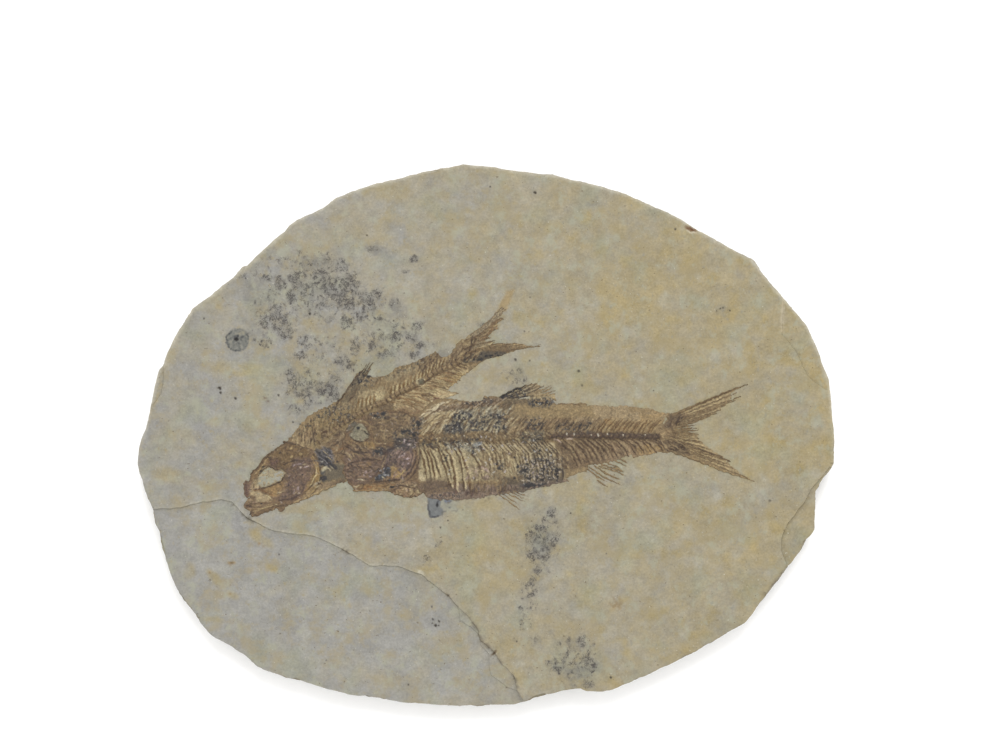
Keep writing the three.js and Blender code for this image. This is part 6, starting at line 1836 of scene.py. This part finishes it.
def upper_spines(sheet):
    """Near upright spines above the backbone, and long fine ribs that sweep back below it."""
    nape = [(-43.6, -1.4), (-40, 1.6), (-36.6, 4.4), (-36, 0.6), (-37.6, -1.6), (-40.6, -2.6)]
    sheet.hatch(nape, 86, 8, 2.2, 0.28, (UMBER, SAND, BROWN, SAND), 110, 501, 0.55)
    sheet.hatch([(-38, 2.6), (-32, 7), (-29.6, 5), (-30, 2.6), (-36, -0.4)], 84, 10, 1.5, 0.3,
                (DARK, SAND, BROWN), 90, 500, 0.4)
    middle = [(-33, 6.8), (-28.4, 12.4), (-22.4, 12.8), (-15.4, 15.8), (-15.6, 12.4), (-23, 8.6), (-31, 4)]
    sheet.hatch(middle, 74, 10, 1.7, 0.32, (DARK, SAND, BROWN, SAND), 220, 502, 0.36)
    rear = [(-15.2, 12.8), (-15, 16.2), (-10.4, 18), (-7.4, 17.4), (-5, 20.6), (-3, 19.6), (-6.4, 15.8)]
    sheet.hatch(rear, 74, 12, 1.5, 0.32, (UMBER, SAND, DARK), 190, 503, 0.55)
    brown = (112, 85, 50)
    pale = (186, 173, 140)
    for x, y in ((-27.9, 6), (-27, 6.3), (-26.1, 6.5), (-25.3, 6.8), (-24.4, 7)):
        sheet.line([(x + 0.45, y), (x + 0.6, y + 1.7)], 0.42, pale, 0.8)
        sheet.bone([(x, y), (x + 0.1, y + 0.9), (x + 0.2, y + 1.8)], 0.36, (124, 96, 58), 0.85)
    sheet.comb(((-20.8, 8.4), (-20.6, 10.8)), ((-17.2, 9.9), (-16.8, 12.2)), 5, 0.42, brown, pale, 0.95,
               0.04, 0.18, 0.12, 0.1, 505)
    sheet.comb(((-16.4, 10.8), (-16, 13)), ((-9.4, 14.9), (-8.9, 16.8)), 10, 0.34, brown, pale, 0.7, 0.04,
               0.16, 0.15, 0.15, 504)
    sheet.comb(((-35.8, -0.6), (-35.4, 1.8)), ((-28.6, 4.6), (-28.2, 6.6)), 10, 0.34, DARK, SAND, 0.6,
               seed=506)
    sheet.comb(((-20.6, 7.2), (-13.4, 5.4)), ((-9.4, 13.6), (-3.8, 13.2)), 18, 0.32, (110, 86, 56),
               (182, 168, 134), 0.75, 0.06, 0.14, 0.25, 0.15, 507)
    sheet.hatch([(-20, 7.2), (-13, 11.2), (-8, 13.8), (-5, 13.4), (-12, 6.2), (-19, 4.6)], -16, 8, 2.2, 0.28,
                ((134, 104, 70), SAND, DARK, CREAM), 150, 508, 0.5)
    sheet.comb(((-9, 14), (-6, 13.2)), ((-3.4, 17.8), (-0.8, 16.2)), 9, 0.34, DARK, SAND, 0.75, seed=509)
    sheet.line([(-12, 7.3), (-9.4, 7.4)], 0.34, IVORY, 0.8)
    sheet.blob((-10.7, 7.7), (0.9, 0.42), 10, (96, 66, 58), 0.8)
    sheet.lines((([(-34, 4.2), (-33, 5.4), (-32.4, 6.6)], 0.4, UMBER),
                 ([(-29.8, 7.4), (-28.8, 8.6)], 0.3, UMBER)))


def upper_backbone(sheet):
    """The backbone: a row of dark joints with pale chips, and a round joint that came loose."""
    sheet.bone(UPPER_COLUMN, 1.2, (130, 110, 82), 0.85, 0.26, (0.7, 0.6))
    beads = resampled(UPPER_COLUMN, 1.15)
    for (x, y), (side_x, side_y) in zip(beads, across(beads)):
        low = (x - 0.55 * side_x, y - 0.55 * side_y)
        high = (x + 0.55 * side_x, y + 0.55 * side_y)
        sheet.line([low, high], 0.34, UMBER, 0.7, -0.05)
        sheet.line([(x + 0.4, y + 0.15), (x + 0.75, y + 0.4)], 0.36, SAND, 0.65, 0.05)
    sheet.line(shifted(UPPER_COLUMN[3:], 0.35, -0.62), 0.42, (84, 64, 44), 0.6)
    for x, y in ((-20.8, 7.6), (-20.2, 9.3), (-14.7, 11.3), (-12.9, 11.4), (-25, 6.2)):
        sheet.blob((x, y), (0.3, 0.2), 30, CREAM, 0.85, 0.03)
    sheet.blob((-14.1, 11.6), (0.75, 0.7), 0, (104, 100, 84), 0.9)
    sheet.bone(arc((-14.1, 11.6), (0.95, 0.9), 30, 330), 0.3, (180, 170, 142), 0.8, 0.14)


def upper_fins(sheet):
    """Tail lobes of bundled rays, the dorsal fin, and black mineral beside them."""
    for lobe in (UPPER_UPPER_LOBE, UPPER_LOWER_LOBE):
        sheet.ground(lobe, 0.14, 0.08)
    sheet.area(UPPER_UPPER_LOBE, (152, 138, 110), 0.95)
    sheet.area(UPPER_LOWER_LOBE, (136, 116, 84), 0.95)
    bundles = (
        (((-3, 21.5), (0, 23.6), (2.2, 25.8), (3.9, 27.6)), 1.1, (127, 112, 93), (182, 172, 150)),
        (((0.4, 23), (2.4, 24.8), (3.7, 25.4)), 0.6, (116, 95, 68), (170, 154, 120)),
        (((-2, 19.6), (-0.4, 21.4), (1.2, 23), (2.6, 23.5)), 0.9, (130, 105, 78), (172, 153, 120)),
        (((-4.6, 20.3), (-2.4, 21.2), (-0.6, 22.2), (0.8, 23.6)), 0.7, (96, 78, 56), (158, 143, 113)),
    )
    for path, spread, dark, pale in bundles:
        for k in range(3):
            shift = (k - 1) * spread / 2.6 * 0.7
            ray = shifted(path, shift, -shift)
            sheet.bone(ray, 0.34, dark, 0.85, 0.16, (0.9, 0.5), 0.06)
            sheet.line(shifted(ray, 0.16, -0.16), 0.26, pale, 0.7)
    sheet.fin([(-2.2, 19), (-2.4, 16.8)], [(4, 20.1), (7, 20), (9, 19.6), (12, 19.35), (9.6, 18.9),
                                           (6.4, 18.3), (4.2, 17.6)], 9, 0.34, (104, 86, 62),
              (168, 152, 120), 522, 0.14, 0.06, 0.1)
    dark = [(-4.6, 15.9), (-1, 16), (4.6, 17.4), (4.2, 18), (0, 18.2), (-4.8, 17.2)]
    sheet.area(dark, (86, 80, 70), 0.85)
    sheet.specks(dark, 0.7, INK, 0.8, 523, 0.1, 0.5)
    sheet.hatch([(-6, 16.6), (-4, 21), (-1, 20), (-2, 16.4)], 42, 18, 1.6, 0.32, (UMBER, TAN, DARK, SAND),
                70, 526, 0.7)
    sheet.bone([(-1.4, 19), (1.8, 20.2)], 0.4, CREAM, 0.8)
    sheet.fin([(-30.6, 9.4), (-27, 11.7)], [(-27, 13.8), (-26, 15.2), (-25.5, 16.3), (-24.4, 16.2),
                                            (-25.2, 14.4)], 6, 0.32, (74, 62, 48), (166, 154, 128), 527,
              0.16, 0.04)
    sheet.bone([(-32.6, 6.6), (-31.2, 8.4), (-29.9, 10.2), (-28.4, 12.4), (-26.4, 14.6)], 0.42, UMBER, 0.85)
    sheet.area([(-30.8, 9.4), (-28.4, 12.4), (-26.4, 13.8), (-26.6, 12.4), (-29.6, 9.4)], (122, 112, 96),
               0.6, 0.25)
    web = [(-3, 18.6), (0.6, 19.6), (0.6, 20.4), (-0.4, 21), (-1.6, 20.8)]
    sheet.ground(web, 0.2, 0.06)
    sheet.area(web, (148, 134, 109), 0.9, 0.3)
    for path in ([(-3, 19.5), (-0.2, 20.1), (2, 20.5)], [(-2.6, 20.2), (-0.4, 20.9), (1.5, 21.3)],
                 [(-2.2, 20.8), (-0.6, 21.4), (0.8, 22)]):
        sheet.bone(path, 0.34, (104, 87, 64), 0.85, 0.14, (0.8, 0.3), 0.05)
    sheet.blobs(((-25.6, 12.9, 0.6, 0.5, 30, INK), (-27.4, 11.7, 0.6, 0.4, 40, INK)))
    sheet.mineral(block(-29.4, 10.6, -24.6, 14.6), 0.4, 528)
    sheet.mineral([(-43, -1), (-39, 2.4), (-32, 7.8), (-32.6, 6), (-39.6, 0.6)], 0.22, 531)
    sheet.mineral([(-38, 3.2), (-36.4, 5.6), (-33.8, 6.2), (-35.4, 3.8)], 0.3, 537)
    sheet.mineral([(-22.6, 12.4), (-15, 15.8), (-11.2, 18.2), (-11.6, 16.6), (-15.6, 14.6)], 0.5, 534)


def upper_skull(sheet):
    """Skull of the smaller fish, with its open jaws and the bare stone of the eye socket."""
    head = [(-53.4, -18.4), (-53.4, -9.4), (-44.4, -1), (-38, -3), (-36.2, -5.6), (-35.9, -8.2),
            (-37.4, -11.2), (-39.6, -14.2), (-45, -17.4)]
    crown = [(-46.8, -3.2), (-43.6, -1.2), (-38.6, -3.2), (-38.6, -7), (-44, -7.2), (-47.4, -6.6)]
    cheek = [(-43.6, -7.8), (-41, -5), (-37.8, -5), (-37.2, -8), (-39.4, -12.6), (-42, -14.2),
             (-45.4, -14.4), (-45.2, -12.4), (-43.4, -10.4)]
    jaw = [(-52.8, -15.4), (-51.8, -14.3), (-46.4, -14.4), (-44, -15.2), (-44.6, -16.6), (-51.4, -17.6)]
    sheet.area(head, (118, 98, 76), 1, 0.3, 0.1, 0.2)
    sheet.area(crown, (112, 92, 64), 0.95, 0.4, 0.1, 0.2)
    sheet.area(cheek, (106, 86, 70), 0.95, 0.35, 0.12, 0.2, 0.6)
    for outline, colour in (
            ([(-37.8, -5.6), (-36.2, -7), (-36.4, -9.2), (-38.8, -12.6), (-39.8, -12.6), (-38.4, -9.4)],
             (142, 118, 78)),
            ([(-50, -11.6), (-44.6, -9.8), (-43.6, -11), (-44.2, -13), (-46.6, -13.6), (-48.4, -12.2)],
             (146, 122, 86)),
            ([(-51.9, -14.2), (-50.2, -13.8), (-48.6, -15), (-51.6, -16.4), (-53, -15.4)], (164, 143, 124)),
            ([(-51.8, -10.4), (-49.6, -11), (-48.8, -12.2), (-51.4, -13.2)], (164, 146, 118)),
            ([(-41, -14.4), (-36, -12.2), (-33, -10.8), (-33.6, -10.1), (-38, -11)], (144, 126, 100)),
            ([(-52.8, -10.2), (-51.4, -10.2), (-51.4, -12.6), (-52, -13.6), (-52.8, -13)], (115, 93, 82)),
            ([(-51.4, -9), (-49.6, -7.2), (-47.8, -4.9), (-46, -2.8), (-45.4, -3.6), (-48.8, -8.4),
              (-50.4, -10)], (128, 106, 76)),
            ([(-47.2, -5.4), (-45.4, -5.4), (-45.4, -7), (-46.8, -7)], (106, 84, 78)),
            ([(-50.8, -9.9), (-49.4, -9.2), (-49.2, -10.8), (-50.6, -11.2)], (158, 142, 112))):
        sheet.area(outline, colour, 0.92, 0.25)

    sheet.hatch(head, 35, 40, 1.2, 0.32, (UMBER, TAN, DARK, BROWN, PLUM), 260, 541, 0.4, 0.05)
    sheet.hatch(crown, 55, 30, 1.1, 0.32, (UMBER, TAN, BROWN), 80, 542, 0.4, 0.05)
    sheet.hatch(cheek, 50, 35, 1.1, 0.32, ((70, 56, 52), (134, 112, 102), PLUM), 90, 543, 0.45, 0.05)
    sheet.hatch(jaw, 16, 14, 1.8, 0.32, (UMBER, SAND, BROWN, TAN), 70, 544, 0.6, 0.05)

    sheet.area(UPPER_ORBIT, (163, 153, 129), 0.95, 0.22, -0.24, 0.1)
    sheet.area(UPPER_MOUTH, (168, 153, 124), 0.95, 0.22, -0.2, 0.12)

    sheet.bones((
        ([(-51.2, -8.5), (-50, -7.5), (-49, -6.2), (-48, -4.9), (-46.3, -3.5), (-45, -2.7), (-43.6, -1.8)],
         0.4, (92, 75, 55)),
        ([(-44, -1.5), (-41, -2.2), (-38.6, -3)], 0.4, (84, 68, 50)),
        ([(-50.4, -8.8), (-48.9, -7), (-47.4, -4.8)], 0.26, (160, 142, 108)),
        ([(-49.4, -8.8), (-48.5, -7.5), (-47.5, -6.9), (-46.6, -6.9), (-45.8, -7.6), (-44.6, -7.7)], 0.3,
         UMBER),
        ([(-52.1, -10.3), (-52.3, -12), (-51.9, -13.5)], 0.6, (96, 76, 66)),
        ([(-43.7, -8.7), (-44.4, -9.9), (-45.9, -10.7), (-47.4, -11.3), (-48.8, -11.6), (-51.6, -11.9)],
         0.36, UMBER),
        ([(-50.6, -12), (-49, -11.9), (-47.4, -12.6), (-46.2, -13.2)], 0.34, (118, 88, 56)),
        ([(-47.7, -13.3), (-47.1, -13.6), (-46.6, -13.9)], 0.36, (200, 186, 150)),
        ([(-52.6, -15.2), (-50.4, -14.9), (-47.6, -14.8), (-45.4, -14.6)], 0.4, (116, 95, 74)),
        ([(-51, -17.6), (-48.4, -16.6), (-45.8, -15.6)], 0.5, (120, 100, 74)),
        ([(-50.6, -16.8), (-48.2, -15.9), (-46, -15.3)], 0.3, (172, 154, 116)),
        ([(-52.2, -15.8), (-50.2, -15.6), (-48.4, -15.5)], 0.3, (110, 90, 70)),
        ([(-45, -14.2), (-42, -13.8), (-40, -12.4), (-39.4, -10.6)], 0.5, (82, 64, 54)),
        ([(-44, -6.4), (-42, -5.6), (-39.4, -5.6)], 0.44, UMBER),
        ([(-46.6, -6.6), (-44.6, -6.9), (-43.2, -8.4), (-43.2, -10.2)], 0.4, (100, 82, 64)),
        ([(-41.6, -14.6), (-38.4, -13.3), (-35.6, -12), (-32.6, -10.9)], 0.6, (162, 143, 110)),
    ), 0.85)
    sheet.lines((([(-49.2, -8), (-48.8, -7.6)], 0.44, INK), ([(-48.7, -7.1), (-48.2, -6.8)], 0.44, INK),
                 ([(-45.6, -12.6), (-43.8, -12.2)], 0.32, (186, 170, 134)),
                 ([(-45.8, -15.2), (-45.4, -15)], 0.44, CREAM)))
    for reach, colour in ((4.4, (84, 66, 46)), (4.85, (150, 126, 84)), (5.3, (158, 136, 94)),
                          (5.7, (84, 66, 46))):
        sheet.bone(arc((-41.6, -8.4), (reach, reach * 1.05), 44, -66, 14), 0.34, colour, 0.75, 0.2)
    sheet.line([(-36.9, -6.8), (-36.9, -8.4), (-37.6, -10), (-38.4, -11.2)], 0.34, (196, 182, 146), 0.85)

    # The glints below are painted highlights on the glossy bone
    glints = (LILAC_GLINT, (156, 142, 148), CREAM)
    sheet.area([(-42, -7.6), (-40.6, -5.4), (-38.6, -5.6), (-39.4, -7.8)], (98, 79, 68), 0.6, 0.5)
    sheet.hatch(block(-41.6, -7.2, -38.8, -5.4), 30, 50, 0.6, 0.22, glints, 10, 551, 0.7, 0.03, 1)
    sheet.hatch(block(-42, -12.8, -40, -10.8), 50, 50, 0.5, 0.22, glints, 10, 552, 0.7, 0.03, 1)
    sheet.hatch(head, 30, 60, 0.5, 0.24, ((160, 148, 140), TAN), 50, 553, 0.5, 0.03, 1)
    for x, y in ((-42.4, -2.9), (-42.3, -4.7), (-40.3, -4.1)):
        sheet.blob((x, y), (0.45, 0.3), 30, (176, 158, 118), 0.75)
    for x, y in ((-42.9, -10.9), (-44.8, -3.9), (-39.9, -8.6), (-48.9, -14.9)):
        sheet.blob((x, y), (0.24, 0.2), 0, INK, 0.85)


def upper_crush(sheet):
    """The crushed place between the two heads, with black mineral, bare stone and a smooth olive plate."""
    olive = [(-36, -8), (-33.6, -6.4), (-30.2, -6.2), (-30.2, -9.6), (-33.4, -9.8), (-35.4, -10.2)]
    torn = [(-37, -3.4), (-34.2, -2.8), (-33.4, -4.2), (-33.4, -6.8), (-36.2, -6.8)]
    sheet.area(olive, (101, 91, 73), 1, 0.3, 0.05, 0.1)
    sheet.area(torn, (76, 70, 67), 0.9)
    sheet.hatch(torn, -38, 14, 1.6, 0.32, (INK, (128, 120, 118), (62, 58, 60), (92, 86, 82)), 60, 561, 0.8)
    sheet.hatch([(-36, 1.4), (-30, 1.2), (-30, -3), (-36, -2.2)], 30, 40, 1, 0.32, (BROWN, UMBER, SAND, TAN),
                90, 562, 0.55)
    sheet.hatch([(-33.6, -1.8), (-30, -1.2), (-30, -6.2), (-32.8, -5.8)], 28, 26, 1.4, 0.32,
                (SAND, UMBER, RUST, TAN, BROWN), 44, 569, 0.65)
    sheet.mineral(torn, 0.6, 563)
    sheet.mineral(block(-35, 2.6, -28.6, 6.4), 0.4, 566)
    black = (44, 42, 44)
    dim = (140, 134, 130)
    sheet.blobs(((-34.4, -6, 1.3, 0.5, -38, black), (-33.2, -7, 0.9, 0.34, -30, black),
                 (-35.4, -9.4, 0.9, 0.7, 30, black), (-35.6, -8.2, 0.7, 0.4, 40, (80, 78, 74)),
                 (-35.2, -7.3, 0.9, 0.5, 40, (184, 174, 144)), (-32.4, -5.8, 0.3, 0.24, 0, black),
                 (-35, 0.7, 0.7, 0.3, 10, (76, 54, 36))))
    sheet.lines((([(-34.8, -6.9), (-33.8, -7.8)], 0.4, CREAM), ([(-34.1, -6.5), (-33.2, -7.3)], 0.3, CREAM),
                 ([(-37.7, -11), (-36.8, -10.5), (-35.8, -10)], 0.5, (180, 168, 144)),
                 ([(-34.6, -4.6), (-33.4, -5.6)], 0.3, SAND), ([(-35.6, -3.4), (-34.2, -4.4)], 0.26, SAND),
                 ([(-36.4, -4.6), (-35, -5.6)], 0.24, dim), ([(-35.4, -5.4), (-34.4, -6.2)], 0.24, dim),
                 ([(-36.8, -10.3), (-35.6, -10.8)], 0.32, UMBER),
                 ([(-37, -11.4), (-36.2, -11)], 0.26, CREAM)))


def make_upper_fish():
    """The smaller fish, sunk where the larger one lies over it."""
    sheet = Sheet((-54.4, -19.2), (13.2, 29.2), 800)
    sheet.ground(UPPER_BODY)
    upper_flank(sheet)
    upper_spines(sheet)
    upper_backbone(sheet)
    upper_fins(sheet)
    upper_skull(sheet)
    sheet.weather()
    upper_crush(sheet)
    sheet.hide_under(LOWER_BODY, 0.3)
    return sheet.to_piece("upper_fish_bones")


# Floor, lights and camera

# Half the floor's width, and the key light's place and width in metres and its power in watts
FLOOR_HALF = 1.2
KEY_PLACE = (0.06, 0.64, 1.04)
KEY_SIZE = 0.5
KEY_POWER = 6.2

# The sky's light
SKY_WHITE = (1.0, 1.0, 1.0, 1.0)
SKY_STRENGTH = 1.28

# The camera's focal length and film width in millimetres, and its nearest sight in metres
FOCAL_LENGTH = 85.0
FILM_WIDTH = 36.0
NEAREST = 0.01


def make_floor():
    """A sheet of white paper under the plate."""
    mesh = bpy.data.meshes.new("floor")
    corners = block(-FLOOR_HALF, -FLOOR_HALF, FLOOR_HALF, FLOOR_HALF)
    mesh.from_pydata([(x, y, 0.0) for x, y in corners], [], [(0, 1, 2, 3)])
    floor = bpy.data.objects.new("floor", mesh)
    bpy.context.scene.collection.objects.link(floor)
    floor.data.materials.append(floor_material())


def make_lights():
    """One round key light from above and behind, and an even white sky."""
    light = bpy.data.lights.new("key", "AREA")
    light.shape = "DISK"
    light.size = KEY_SIZE
    light.energy = KEY_POWER
    holder = bpy.data.objects.new("key", light)
    holder.location = KEY_PLACE
    holder.rotation_euler = (-Vector(KEY_PLACE)).to_track_quat("-Z", "Y").to_euler()
    bpy.context.scene.collection.objects.link(holder)
    world = bpy.data.worlds.new("studio")
    world.use_nodes = True
    background = world.node_tree.nodes["Background"]
    background.inputs["Color"].default_value = SKY_WHITE
    background.inputs["Strength"].default_value = SKY_STRENGTH
    bpy.context.scene.world = world


def make_camera():
    """Straight above, framed so that the plate falls on the photograph's pixels."""
    pixel = MM_PER_PIXEL * MM
    away = FOCAL_LENGTH / FILM_WIDTH * (PHOTO_SIZE[0] * pixel)
    right = (PHOTO_SIZE[0] / 2.0 - PLATE_CENTRE_PIXEL[0]) * pixel
    up = (PLATE_CENTRE_PIXEL[1] - PHOTO_SIZE[1] / 2.0) * pixel
    data = bpy.data.cameras.new("camera")
    data.lens = FOCAL_LENGTH
    data.sensor_width = FILM_WIDTH
    data.clip_start = NEAREST
    data.dof.use_dof = False
    camera = bpy.data.objects.new("camera", data)
    camera.location = (right, up, FACE * MM + away)
    bpy.context.scene.collection.objects.link(camera)
    bpy.context.scene.camera = camera


def dress(piece, node, material):
    """Gives a piece its material, hangs it under the root body, and hides the CAD node that it stands for.
    """
    piece.data.materials.append(material)
    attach(piece, "root")
    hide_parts(node)


make_camera()
make_lights()
make_floor()
dress(make_slab(), "slab", stone_material())
dress(make_lower_fish(), "lower_fish", bone_material("lower_bone"))
dress(make_upper_fish(), "upper_fish", bone_material("upper_bone"))

view = bpy.context.scene.view_settings
view.view_transform = "Standard"
view.look = "None"
view.exposure = 0.0
